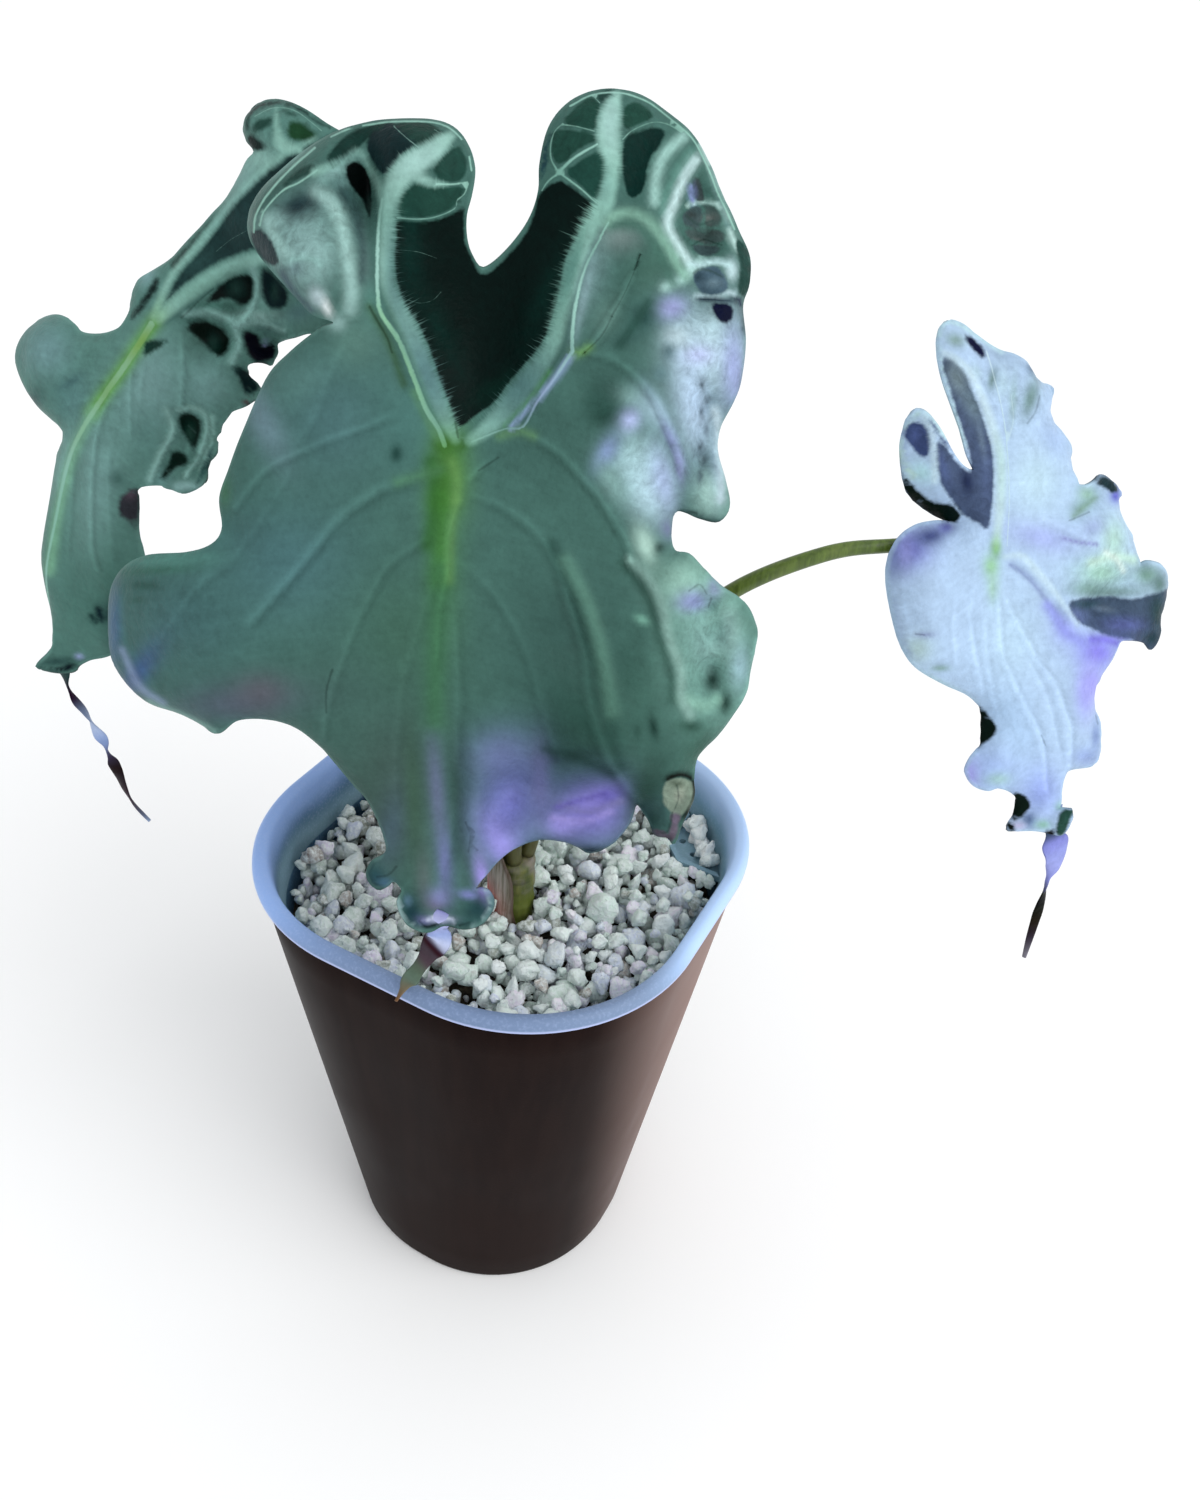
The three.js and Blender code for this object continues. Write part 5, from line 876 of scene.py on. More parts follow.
RIGHT = {
    "name": "leaf_right",
    "slot": "leaf_silver",
    "spacing": 0.7,
    "junction": (85.1, 44.3, 216.3),
    "azimuth": 45,
    "elevation": 25,
    "tip": (1040, 830),
    "arch": (180, 900),
    # The pale blue body, veins and rim: partly the blade's own silver, partly painted sheen and lilac
    # reflections
    "body": "#b9d4f2",
    "vein": "#cfe9f2",
    "rim": "#b9d9ef",
    "under": "#2c2a26",
    "rim_highlight_share": 0.4,
    "cell_blur": 1.2,
    "outline": [
        (973, 470, 0), (966, 453, 0), (960, 430, 0), (951, 405, -1), (942, 379, -2), (937, 355, -3),
        (937, 338, -3), (941, 325, -4), (949, 321, -4), (962, 325, -3), (974, 335, -3), (987, 344, -2),
        (1001, 352, -2), (1013, 355, -2), (1025, 363, -3), (1034, 379, -4), (1041, 384, -3),
        (1048, 386, -4), (1051, 393, -4), (1048, 406, -4), (1050, 420, -4), (1061, 433, -3),
        (1071, 449, -2), (1068, 462, -3), (1074, 476, -1), (1081, 485, 1), (1092, 483, 2), (1101, 475, 2),
        (1111, 481, 0), (1118, 492, -3), (1116, 504, -3), (1122, 520, -2), (1129, 534, -3),
        (1134, 550, -2), (1139, 563, 0), (1150, 561, 2), (1162, 566, 1), (1166, 580, -2), (1163, 602, -3),
        (1158, 621, -2), (1160, 633, -1), (1150, 649, -2), (1143, 642, -1), (1129, 640, 1), (1119, 643, 0),
        (1113, 654, -2), (1105, 668, -3), (1097, 679, -4), (1093, 691, -3), (1093, 709, -3),
        (1099, 722, -1), (1100, 739, 0), (1098, 754, -2), (1090, 765, -3), (1069, 769, -2),
        (1063, 778, -1), (1060, 797, 0), (1062, 808, 2), (1074, 810, 4), (1071, 822, 3), (1064, 833, 1),
        (1054, 834, 0), (1040, 831, 0), (1024, 830, -1), (1007, 830, -2), (1008, 822, -3), (1014, 812, -3),
        (1014, 795, -3), (1000, 788, 0), (987, 790, -1), (973, 785, -2), (966, 775, -2), (965, 768, -2),
        (971, 756, -3), (979, 745, -5), (981, 725, -6), (979, 707, -6), (967, 694, -4), (945, 684, -3),
        (923, 672, -3), (910, 661, -3), (899, 641, -4), (891, 611, -4), (886, 581, -4), (888, 557, -4),
        (899, 537, -3), (916, 525, -3), (936, 521, -3), (947, 521, -4), (930, 512, -6), (914, 500, -7),
        (905, 488, -6), (901, 466, -5), (900, 448, -4), (902, 434, -4), (906, 420, -3), (913, 410, -2),
        (923, 410, -1), (934, 420, 0), (944, 436, 0), (953, 453, 0), (963, 466, 0),
    ],
    "domes": [
        (1010, 450, 8, 12, -20, 3), (1030, 380, 5, 5, 0, 2), (918, 437, 3, 5, 0, -1.5),
        (1085, 540, 8, 6, 0, 3), (1120, 600, 9, 4, 10, -4), (1075, 650, 6, 8, 0, 3),
        (1040, 600, 5, 14, 0, 2), (920, 590, 7, 12, 0, 3), (1080, 720, 4, 8, 0, 2), (990, 740, 5, 8, 0, 3),
        (955, 540, 6, 4, 0, -2), (1100, 500, 4, 4, 0, -2),
    ],
    # Blue-grey cells partly hold lilac reflection; the near-black ones are underside and hollows in painted
    # shade
    "cells": [
        ("#4c5b78", [
            (944, 357), (955, 362), (966, 375), (974, 395), (981, 412), (988, 432), (993, 453), (994, 479),
            (992, 508), (987, 530), (978, 523), (963, 513), (951, 498), (942, 485), (937, 466), (936, 442),
            (945, 446), (952, 457), (963, 468), (970, 472), (968, 453), (959, 423), (950, 391), (944, 372),
        ]),
        ("#43527c", [
            (909, 424), (916, 421), (925, 424), (931, 434), (931, 447), (927, 458), (919, 455), (909, 444),
            (905, 434),
        ]),
        ("#50608a", [(925, 413), (936, 427), (946, 441), (953, 453), (948, 450), (938, 436), (929, 422)]),
        ("#141a38", [(963, 336), (970, 338), (980, 346), (985, 356), (981, 360), (974, 353), (965, 343)]),
        ("#15201c", [
            (900, 452), (902, 468), (912, 482), (922, 492), (934, 501), (950, 503), (960, 512), (958, 522),
            (945, 521), (930, 513), (914, 501), (904, 488),
        ]),
        ("#15211d", [(979, 703), (990, 716), (997, 726), (994, 737), (984, 744), (976, 749), (979, 730)]),
        ("#17221d", [(1012, 791), (1024, 794), (1031, 804), (1024, 815), (1012, 822), (1012, 806)]),
        ("#1a201f", [(1004, 824), (1012, 821), (1016, 829), (1010, 833)]),
        ("#10191b", [(1042, 834), (1047, 829), (1055, 829), (1053, 836)]),
        ("#2f5148", [(1060, 812), (1074, 808), (1072, 816), (1064, 833), (1056, 834)]),
        ("#22363c", [(1094, 482), (1102, 475), (1112, 481), (1117, 492), (1110, 493), (1102, 486)]),
        ("#48596f", [
            (1066, 604), (1080, 598), (1106, 596), (1131, 599), (1150, 594), (1178, 590), (1178, 640),
            (1160, 655), (1146, 650), (1130, 640), (1108, 637), (1090, 630), (1074, 620),
        ]),
    ],
    "bands": [
        (1.5, [
            (995, 545), (999, 508), (1000, 461), (993, 432), (982, 400), (968, 372), (955, 359),
            (944, 353),
        ], (3, 5, 5, 5, 4, 3.5, 3, 2)),
        (1.5, [(935, 480), (934, 455), (931, 430), (924, 418)], (3, 2.5, 2, 1.5)),
        (1.5, [(1003, 557), (1020, 556), (1034, 569), (1053, 592), (1076, 625)], (1, 3, 3, 2, 1)),
    ],
    "lines": [
        (0.5, 0.3, [(985, 352), (994, 380), (1002, 415), (1006, 449), (1008, 500), (1006, 546)]),
        (0.3, 0, [(926, 408), (940, 429), (954, 453)]),
        (0, 0, [(1010, 395), (1012, 420), (1008, 440)]),
        (0.3, 0.3, [(940, 356), (944, 384), (954, 420), (962, 448)]),
    ],
    "side_veins": [
        (0.5, 3, (3, 0), [(974, 583), (969, 610), (971, 640), (978, 673), (982, 692)]),
        (0.5, 3, (3, 0), [(984, 600), (984, 625), (985, 655), (992, 692), (998, 717)]),
        (0.6, 3, (3, 0), [
            (996, 580), (998, 617), (1001, 652), (1013, 682), (1026, 709), (1038, 732), (1043, 759),
            (1045, 790),
        ]),
        (0.6, 3, (3, -1), [
            (998, 584), (1013, 617), (1026, 640), (1038, 661), (1053, 682), (1064, 711), (1070, 730),
            (1068, 764),
        ]),
        (0.4, 3, (3, 0), [(1015, 644), (1034, 672), (1047, 701), (1058, 749)]),
        (0.4, 3, (-3, 1), [(960, 583), (952, 620), (955, 660)]),
        (0.4, 3, (1, 3), [(1034, 517), (1068, 530), (1083, 538)]),
        (0.4, 3, (-3, 0), [(908, 560), (906, 600), (912, 640)]),
    ],
    "shade_creases": [
        (0.5, [(1068, 521), (1078, 517), (1088, 513)]),
        (0.3, [(1040, 735), (1044, 745)]),
        (0.5, [(916, 633), (924, 634)]),
        (0.3, [(1094, 716), (1096, 724)]),
        (0.3, [(1038, 396), (1034, 412), (1026, 424)]),
    ],
    # Own tones with painted light and shade: lilac and violet reflections, pale highlights, dark shade in
    # dents and under lobes
    "spots": [
        ("#a9b7ee", 0.9, 1040, 537, 34, 14, 15), ("#c3e2ee", 0.7, 1034, 480, 26, 34),
        ("#a3cfc0", 1, 1100, 572, 26, 16), ("#b5dcd0", 0.9, 1112, 540, 13, 22),
        ("#7ba391", 0.9, 1146, 574, 14, 13), ("#5a7a72", 0.9, 1158, 584, 8, 12),
        ("#7fa79c", 0.8, 1088, 588, 18, 8), ("#6f8f88", 0.8, 1112, 592, 40, 7),
        ("#8aa2c0", 0.7, 1062, 612, 10, 12), ("#6a6cb0", 0.9, 1122, 636, 22, 5),
        ("#8a86ea", 1, 1096, 652, 22, 18, 10), ("#a3a0f4", 1, 1090, 684, 12, 20, 5),
        ("#a9acf4", 0.9, 1084, 694, 9, 26), ("#a3b0f0", 0.8, 1064, 630, 14, 16),
        ("#20343c", 1, 1104, 481, 9, 5, 20), ("#6a6ecc", 1, 1114, 496, 6, 8),
        ("#9cc4b0", 0.9, 1086, 494, 10, 10), ("#7fa49c", 0.8, 1080, 508, 12, 8, -30),
        ("#9fb0dc", 0.7, 1092, 528, 12, 8, -30), ("#6f6fc4", 1, 912, 552, 22, 22, -14),
        ("#343c74", 1, 929, 537, 20, 11, -12), ("#5b5fa6", 0.9, 945, 528, 10, 6),
        ("#6674a8", 0.9, 896, 560, 8, 20, 10), ("#8f92d8", 0.9, 906, 556, 7, 16),
        ("#b3cdea", 0.8, 930, 600, 30, 40), ("#b9d6d4", 0.8, 918, 648, 14, 14),
        ("#8f9ac4", 0.8, 925, 634, 10, 3), ("#7fa292", 0.8, 940, 667, 9, 3.5),
        ("#b3d4ca", 0.9, 930, 680, 30, 5, 25), ("#a3bbf0", 0.8, 990, 770, 30, 24),
        ("#a9aaf2", 0.9, 970, 774, 9, 14), ("#a3cdbc", 0.7, 998, 778, 13, 7),
        ("#9db0f2", 0.9, 1040, 790, 20, 26), ("#98aee4", 0.8, 1085, 756, 14, 10),
        ("#7d92c8", 0.8, 1094, 736, 5, 14), ("#54699a", 0.9, 1029, 820, 7, 8),
        ("#c9c6ec", 1, 1018, 825, 6, 3.5), ("#8fc0ac", 0.9, 1042, 824, 8, 5),
        ("#8fc3b0", 0.8, 1060, 806, 5, 4), ("#86bd7c", 1, 995, 548, 5, 10),
        ("#97c9a0", 1, 990, 566, 8, 12), ("#a9d4b8", 0.8, 992, 588, 6, 16),
        ("#9cb4ce", 0.9, 1000, 356, 20, 6, 25), ("#a9c4c8", 0.9, 954, 370, 5, 10, -20),
        ("#6f86a2", 0.9, 1030, 370, 7, 5, 40), ("#aec8ee", 0.8, 1052, 440, 12, 20, -30),
        ("#b4dfe6", 0.9, 922, 472, 13, 10, 30), ("#7d90bc", 0.9, 903, 440, 3, 18),
        ("#8fa2c4", 0.8, 940, 328, 4, 14, 20), ("#a9c8ea", 0.7, 1010, 720, 24, 50, -20),
        ("#c3e2f8", 0.7, 1010, 640, 26, 40), ("#c0dfee", 0.8, 1002, 384, 8, 16),
        ("#86a39c", 0.9, 955, 341, 10, 7, 20), ("#6a8580", 0.9, 991, 380, 5, 13, 10),
        ("#708f89", 0.9, 1029, 398, 8, 22, 15), ("#93b3ae", 0.7, 1012, 402, 4, 26, 5),
        ("#b0cdd6", 0.7, 975, 372, 5, 9, -30),
    ],
    "vein_spots": [
        ("#9fcf9c", 0.9, 995, 546, 8, 16), ("#b9dcd6", 0.8, 1002, 470, 8, 50),
    ],
    "deep_spots": [
        ("#869ba3", 0.9, 957, 378, 9, 18, -20), ("#6f8590", 0.8, 972, 405, 9, 20, -22),
        ("#27304e", 1, 966, 482, 7, 13, -10), ("#5a6a90", 0.7, 986, 470, 6, 30),
        ("#566694", 0.8, 940, 462, 5, 24, -20), ("#7f95aa", 0.6, 981, 440, 3, 18, -10),
        ("#6676a6", 0.9, 1072, 618, 14, 12), ("#5f6aa8", 0.9, 1100, 640, 26, 6),
        ("#5a649c", 0.9, 1122, 625, 22, 8), ("#2f474b", 1, 1156, 612, 8, 22),
        ("#35505a", 0.9, 1085, 604, 14, 5), ("#7d8fa4", 0.6, 1104, 610, 10, 3, 10),
        ("#5f70a8", 0.7, 917, 434, 6, 10), ("#233a40", 0.9, 1150, 638, 9, 7),
    ],
    # Among the strokes: painted highlights along edges and lilac reflections
    "strokes": [
        ("#8b9aca", 0.7, 3, [(1010, 564), (1028, 577), (1045, 600), (1063, 623)]),
        ("#9298ec", 0.7, 6, [(1046, 606), (1064, 632), (1080, 642)]),
        ("#8fa3c8", 0.6, 3.5, [(893, 600), (898, 632), (910, 654)]),
        ("#c9ecec", 0.9, 3, [(906, 426), (918, 412), (930, 418), (944, 437)]),
        ("#c4e9ec", 0.8, 3, [(938, 336), (944, 323), (958, 325), (978, 338), (1000, 352)]),
        ("#c4e9ec", 0.7, 2.5, [(938, 345), (944, 376), (955, 412), (966, 446)]),
        ("#c9ece4", 0.9, 3, [(900, 440), (902, 460), (914, 476)]),
        ("#c3e6d8", 0.9, 5, [(1090, 562), (1112, 556), (1132, 560)]),
        ("#dff2ea", 0.7, 3, [(1104, 552), (1116, 560), (1122, 570)]),
        ("#7c74e0", 0.8, 4, [(1090, 640), (1104, 640), (1118, 644)]),
        ("#8f92cc", 0.8, 2, [(1061, 538), (1078, 542), (1095, 544)]),
        ("#7fa08e", 0.7, 3, [(1072, 517), (1084, 506), (1094, 498)]),
    ],
    "bloom_and_sheen": [
        (0.7, 1110, 580, 44, 50), (0.9, 965, 420, 26, 60), (0.6, 1020, 400, 24, 34),
        (0.4, 920, 540, 30, 20),
    ],
    "pits": [
        (990, 380, 8, 14, 0, -0.8), (1026, 408, 9, 20, 15, -1), (919, 440, 9, 15, 0, -0.8),
        (972, 348, 6, 12, -40, -0.9), (1110, 610, 30, 10, 0, -1), (925, 540, 20, 10, -15, -0.8),
        (924, 634, 8, 4, 0, -0.6), (939, 667, 9, 4, 0, -0.6), (1078, 518, 10, 4, -25, -0.8),
        (1097, 652, 10, 18, 0, 0.7), (1045, 745, 5, 10, 0, -0.4), (954, 342, 10, 8, 0, -0.5),
        (1030, 800, 10, 12, 0, -0.6),
    ],
    "ridges": [
        (0.5, 5, [(994, 548), (1000, 461), (982, 400), (944, 353)]),
        (0.4, 4, [(996, 580), (1001, 652), (1026, 709), (1043, 759)]),
        (0.4, 4, [(998, 584), (1026, 640), (1053, 682), (1068, 764)]),
        (-0.3, 5, [(992, 600), (1004, 680), (1030, 745)]), (0.4, 4, [(974, 583), (971, 640), (982, 692)]),
        (0.5, 5, [(1001, 556), (1034, 569), (1076, 625)]),
        (-0.4, 5, [(1009, 566), (1043, 598), (1078, 633)]), (0.4, 4, [(1034, 517), (1083, 538)]),
        (0.3, 4, [(984, 600), (985, 655), (998, 717)]),
    ],
    "stalk": [
        (7.8, -4.4, STALK_FOOT_Z, 1.8), (10, -1.5, 148, 1.9), (17.5, 8, 171, 1.9), (27.5, 15, 189, 1.8),
        (39, 23.3, 203.6, 1.75), (54.6, 30.4, 214, 1.6), (66, 36.7, 216.8, 1.45), (76, 43, 217.5, 1.4),
    ],
    "stalk_name": "petiole_right",
    # The lilac and pale colours along the tail are painted reflections and highlights
    "tail": [
        (1048, 812, -2.4, 4, 0, "#8fa6d8"), (1052, 830, -3, 1.6, 10, "#41566a"),
        (1055, 842, -4, 3.2, 10, "#8a90da"), (1056, 854, -5, 3, 0, "#9aa3e6"),
        (1053, 866, -6, 1.8, 20, "#a6aef0"), (1048, 878, -7, 0.6, 80, "#8e94d8"),
        (1044, 892, -8.2, 1.3, 150, "#26281c"), (1039, 908, -9.5, 1.5, 180, "#1c1d16"),
        (1034, 924, -10.8, 1.1, 200, "#2a2420"), (1029, 940, -12, 0.8, 220, "#46404c"),
        (1024, 957, -13.3, 0.5, 240, "#8a8894"),
    ],
}


def linear(colour):
    """Linear RGB of a hex colour."""
    parts = np.array([int(colour[i:i + 2], 16) for i in (1, 3, 5)]) / 255
    return np.where(parts <= 0.04045, parts / 12.92, ((parts + 0.055) / 1.055) ** 2.4)


def flat(colour):
    return (*linear(colour), 1.0)


def unit(vector):
    return vector / np.linalg.norm(vector)


def facing(azimuth, elevation):
    """Direction towards an azimuth and an elevation."""
    return np.array([
        math.sin(azimuth) * math.cos(elevation),
        -math.cos(azimuth) * math.cos(elevation),
        math.sin(elevation),
    ])


def view_axes():
    """Right, up and back directions of the view from the eye point."""
    azimuth = math.radians(EYE_AZIMUTH)
    roll = math.radians(EYE_ROLL)
    level = np.array([math.cos(azimuth), math.sin(azimuth), 0])
    back = facing(azimuth, math.radians(EYE_ELEVATION))
    rise = np.cross(back, level)
    right = math.cos(roll) * level + math.sin(roll) * rise
    up = math.cos(roll) * rise - math.sin(roll) * level
    return right, up, back


RIGHTWARD, UPWARD, BACKWARD = view_axes()


def sight_lines(sheet):
    """Directions from the eye point through points on the sheet."""
    offset = (sheet - SHEET_CENTRE) / EYE_FOCAL
    return -BACKWARD + offset[:, :1] * RIGHTWARD - offset[:, 1:] * UPWARD


def on_sheet(points):
    """Where points are seen on the sheet."""
    offset = points - EYE
    depth = -(offset @ BACKWARD)
    x = SHEET_CENTRE[0] + EYE_FOCAL * (offset @ RIGHTWARD) / depth
    y = SHEET_CENTRE[1] - EYE_FOCAL * (offset @ UPWARD) / depth
    return np.stack((x, y), 1)


def smooth_line(points, spacing, closed=False):
    """Evenly spaced points on a curve through the given ones. Every column is smoothed."""
    p = np.asarray(points, float)
    if closed:
        p = np.vstack((p[-1:], p, p[:2]))
    else:
        p = np.vstack((2 * p[:1] - p[1:2], p, 2 * p[-1:] - p[-2:-1]))
    steps = np.linspace(0, 1, 16, endpoint=False)[:, None]
    dense = []
    for a, b, c, d in zip(p[:-3], p[1:-2], p[2:-1], p[3:]):
        cubic = 2 * b + (c - a) * steps + (2 * a - 5 * b + 4 * c - d) * steps ** 2
        dense.append((cubic + (3 * b - a - 3 * c + d) * steps ** 3) / 2)
    dense = np.vstack(dense + [p[-2:-1]])
    lengths = np.r_[0, np.cumsum(np.linalg.norm(np.diff(dense, axis=0), axis=1))]
    count = max(2, round(lengths[-1] / spacing))
    places = np.linspace(0, lengths[-1], count + 1)
    spaced = np.stack([np.interp(places, lengths, column) for column in dense.T], 1)
    return spaced[:-1] if closed else spaced


def nearest(points, line, closed=False, reach=None):
    """Distance from points to a line, the place along it, and the line's other columns there."""
    distance = np.full(len(points), FAR if reach else np.inf)
    along = np.zeros(len(points))
    extra = np.zeros((len(points), line.shape[1] - 2))
    ends = np.roll(line, -1, 0) if closed else line[1:]
    starts = line if closed else line[:-1]
    chosen = np.arange(len(points))
    if reach:
        low = line[:, :2].min(0) - reach
        high = line[:, :2].max(0) + reach
        chosen = np.nonzero(((points > low) & (points < high)).all(1))[0]
    near = points[chosen]
    travelled = 0.0
    for a, b in zip(starts, ends):
        step = b[:2] - a[:2]
        length = max(np.hypot(*step), 1e-9)
        t = np.clip(((near - a[:2]) @ step) / length ** 2, 0, 1)
        gap = near - a[:2] - t[:, None] * step
        d = np.hypot(gap[:, 0], gap[:, 1])
        better = d < distance[chosen]
        rows = chosen[better]
        distance[rows] = d[better]
        along[rows] = travelled + t[better] * length
        extra[rows] = a[2:] + t[better, None] * (b[2:] - a[2:])
        travelled += length
    return distance, along, extra


def inside(points, loop):
    """Which points lie inside a closed loop."""
    result = np.zeros(len(points), bool)
    x, y = points.T
    for a, b in zip(loop, np.roll(loop, -1, 0)):
        if a[1] == b[1]:
            continue
        crosses = (a[1] > y) != (b[1] > y)
        result ^= crosses & (x < (b[0] - a[0]) * (y - a[1]) / (b[1] - a[1]) + a[0])
    return result


def soft_spot(points, x, y, rx, ry, tilt=0):
    """A round or tilted oval that fades outwards, 1 at its middle."""
    angle = math.radians(tilt)
    dx = points[:, 0] - x
    dy = points[:, 1] - y
    a = (dx * math.cos(angle) + dy * math.sin(angle)) / rx
    b = (dy * math.cos(angle) - dx * math.sin(angle)) / ry
    return np.exp(-a * a - b * b)


def soft_line(points, line, width):
    """A line that fades sideways, 1 along its middle."""
    distance, _, _ = nearest(points, smooth_line(line, STROKE_STEP), reach=SPREAD * width)
    return np.exp(-(distance / width) ** 2)


def grid_inside(loop, x, y, room, shift=0):
    """Points of a grid inside a loop and clear of it."""
    grid = np.stack((x.ravel(), y.ravel()), 1) + shift
    grid = grid[inside(grid, loop)]
    gap, _, _ = nearest(grid, loop, closed=True)
    return grid[gap > room]


def triangulate(points, loops, rows=()):
    """Triangles over flat points inside the given loops of point numbers, with edges along the rows."""
    edges = [(a, b) for loop in loops for a, b in zip(loop, loop[1:] + loop[:1])] + list(rows)
    found = delaunay_2d_cdt([Vector(p) for p in points], edges, [], 1, 1e-7)
    places = np.array([tuple(v) for v in found[0]])
    triangles = np.array([f for f in found[2] if len(f) == 3])
    return places, triangles


def slab_faces(triangles, count):
    """Faces of a slab whose two sides share their triangles, and its rims."""
    edges = {(a, b) for t in triangles.tolist() for a, b in zip(t, t[1:] + t[:1])}
    faces = [*map(tuple, triangles), *map(tuple, triangles[:, ::-1] + count)]
    return faces + [(b, a, a + count, b + count) for a, b in edges if (b, a) not in edges]


def tube_faces(rings, sides):
    """Faces of a tube of rings with both ends closed."""
    faces = []
    for r in range(rings - 1):
        for k in range(sides):
            n = (k + 1) % sides
            faces.append((r * sides + k, r * sides + n, (r + 1) * sides + n, (r + 1) * sides + k))
    faces.append(tuple(range(sides))[::-1])
    faces.append(tuple((rings - 1) * sides + k for k in range(sides)))
    return faces


def carried_axes(rows, side):
    """The rows of a tube, each with two directions across it that are carried along without twist."""
    tangents = np.gradient(rows[:, :3], axis=0)
    for row, tangent in zip(rows, tangents):
        tangent = unit(tangent)
        side = unit(side - (side @ tangent) * tangent)
        yield row, side, np.cross(tangent, side)


def tube_ring(centre, wide, thin, sides):
    """One turn of points round a centre, as far out as two vectors reach."""
    angles = np.linspace(0, TURN, sides, endpoint=False)[:, None]
    return centre + np.cos(angles) * wide + np.sin(angles) * thin


def make_object(name, vertices, faces, material, smooth=True):
    mesh = bpy.data.meshes.new(name)
    mesh.from_pydata([tuple(v) for v in vertices], [], [tuple(f) for f in faces])
    mesh.materials.append(material)
    mesh.update()
    if smooth:
        mesh.shade_smooth()
    made = bpy.data.objects.new(name, mesh)
    bpy.context.scene.collection.objects.link(made)
    return made


def set_number(made, name, values):
    attribute = made.data.attributes.new(name, "FLOAT", "POINT")
    attribute.data.foreach_set("value", np.asarray(values, np.float32))


def set_colour(made, name, values):
    attribute = made.data.attributes.new(name, "FLOAT_COLOR", "POINT")
    full = np.c_[values, np.ones(len(values))]
    attribute.data.foreach_set("color", full.astype(np.float32).ravel())


def hold(made, node):
    """A piece that stands for a node of the model: hung under the root, with the model's own part hidden."""
    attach(made, "root")
    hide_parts(node)


class Shading:
    """Short names for building a material's nodes."""

    def __init__(self, name):
        self.material = bpy.data.materials.new(name)
        self.material.use_nodes = True
        self.tree = self.material.node_tree
        self.surface = self.tree.nodes["Principled BSDF"]

    def node(self, kind, **settings):
        made = self.tree.nodes.new(kind)
        for name, value in settings.items():
            setattr(made, name, value)
        return made

    def plug(self, socket, value):
        if isinstance(value, bpy.types.NodeSocket):
            self.tree.links.new(value, socket)
        else:
            socket.default_value = value

    def plug_all(self, made, values):
        for socket, value in zip(made.inputs, values):
            self.plug(socket, value)
        return made.outputs[0]

    def set(self, name, value):
        self.plug(self.surface.inputs[name], value)

    def number(self, name):
        return self.node("ShaderNodeAttribute", attribute_name=name).outputs["Fac"]

    def colour(self, name):
        return self.node("ShaderNodeAttribute", attribute_name=name).outputs["Color"]

    def place(self):
        return self.node("ShaderNodeTexCoord").outputs["Object"]

    def axes(self):
        """The three coordinates of the place."""
        made = self.node("ShaderNodeSeparateXYZ")
        self.plug(made.inputs[0], self.place())
        return made.outputs

    def math(self, operation, a, b=0.0):
        return self.plug_all(self.node("ShaderNodeMath", operation=operation), (a, b))

    def weighted(self, *pairs):
        """A sum of values, each times its weight."""
        terms = [value if weight == 1 else self.math("MULTIPLY", value, weight) for value, weight in pairs]
        total = terms[0]
        for term in terms[1:]:
            total = self.math("ADD", total, term)
        return total

    def ramp(self, value, low, high, start=0.0, end=1.0):
        made = self.node("ShaderNodeMapRange", interpolation_type="SMOOTHSTEP")
        return self.plug_all(made, (value, low, high, start, end))

    def ramp_mm(self, value, low, high, start=0.0, end=1.0):
        """A ramp over a length, with its ends in millimetres."""
        return self.ramp(value, low * MM, high * MM, start, end)

    def mix(self, factor, a, b):
        made = self.node("ShaderNodeMix", data_type="RGBA")
        self.plug(made.inputs[0], factor)
        self.plug(made.inputs[6], a)
        self.plug(made.inputs[7], b)
        return made.outputs[2]

    def scaled(self, vector, factors):
        return self.plug_all(self.node("ShaderNodeVectorMath", operation="MULTIPLY"), (vector, factors))

    def shaded(self, colour, *pairs):
        """A colour times one plus a weighted sum."""
        return self.times(colour, self.math("ADD", self.weighted(*pairs), 1.0))

    def times(self, colour, factor):
        """A colour made brighter or darker by a factor."""
        made = self.node("ShaderNodeVectorMath", operation="SCALE")
        self.plug(made.inputs[0], colour)
        self.plug(made.inputs["Scale"], factor)
        return made.outputs[0]

    def noise(self, vector, scale, detail=2.0, roughness=0.5, distortion=0.0):
        made = self.node("ShaderNodeTexNoise")
        self.plug(made.inputs["Vector"], vector)
        made.inputs["Scale"].default_value = scale
        made.inputs["Detail"].default_value = detail
        made.inputs["Roughness"].default_value = roughness
        made.inputs["Distortion"].default_value = distortion
        return made.outputs["Fac"]

    def wave(self, vector, scale, detail, roughness=0.5, distortion=0.0):
        """Noise about zero."""
        return self.math("SUBTRACT", self.noise(vector, scale, detail, roughness, distortion), 0.5)

    def streaks(self, names, sizes, seed, detail, roughness=0.65):
        """Noise about zero over two of the mesh's numbers, each as fine as its size says."""
        across = [self.math("MULTIPLY", self.number(name), size) for name, size in zip(names, sizes)]
        place = self.plug_all(self.node("ShaderNodeCombineXYZ"), (*across, seed))
        return self.wave(place, 1.0, detail, roughness)

    def pores(self, vector, scale):
        made = self.node("ShaderNodeTexVoronoi", feature="F1")
        self.plug(made.inputs["Vector"], vector)
        made.inputs["Scale"].default_value = scale
        return made.outputs["Distance"]

    def bump(self, height, depth, strength):
        made = self.node("ShaderNodeBump")
        made.inputs["Strength"].default_value = strength
        made.inputs["Distance"].default_value = depth
        self.plug(made.inputs["Height"], height)
        self.set("Normal", made.outputs[0])


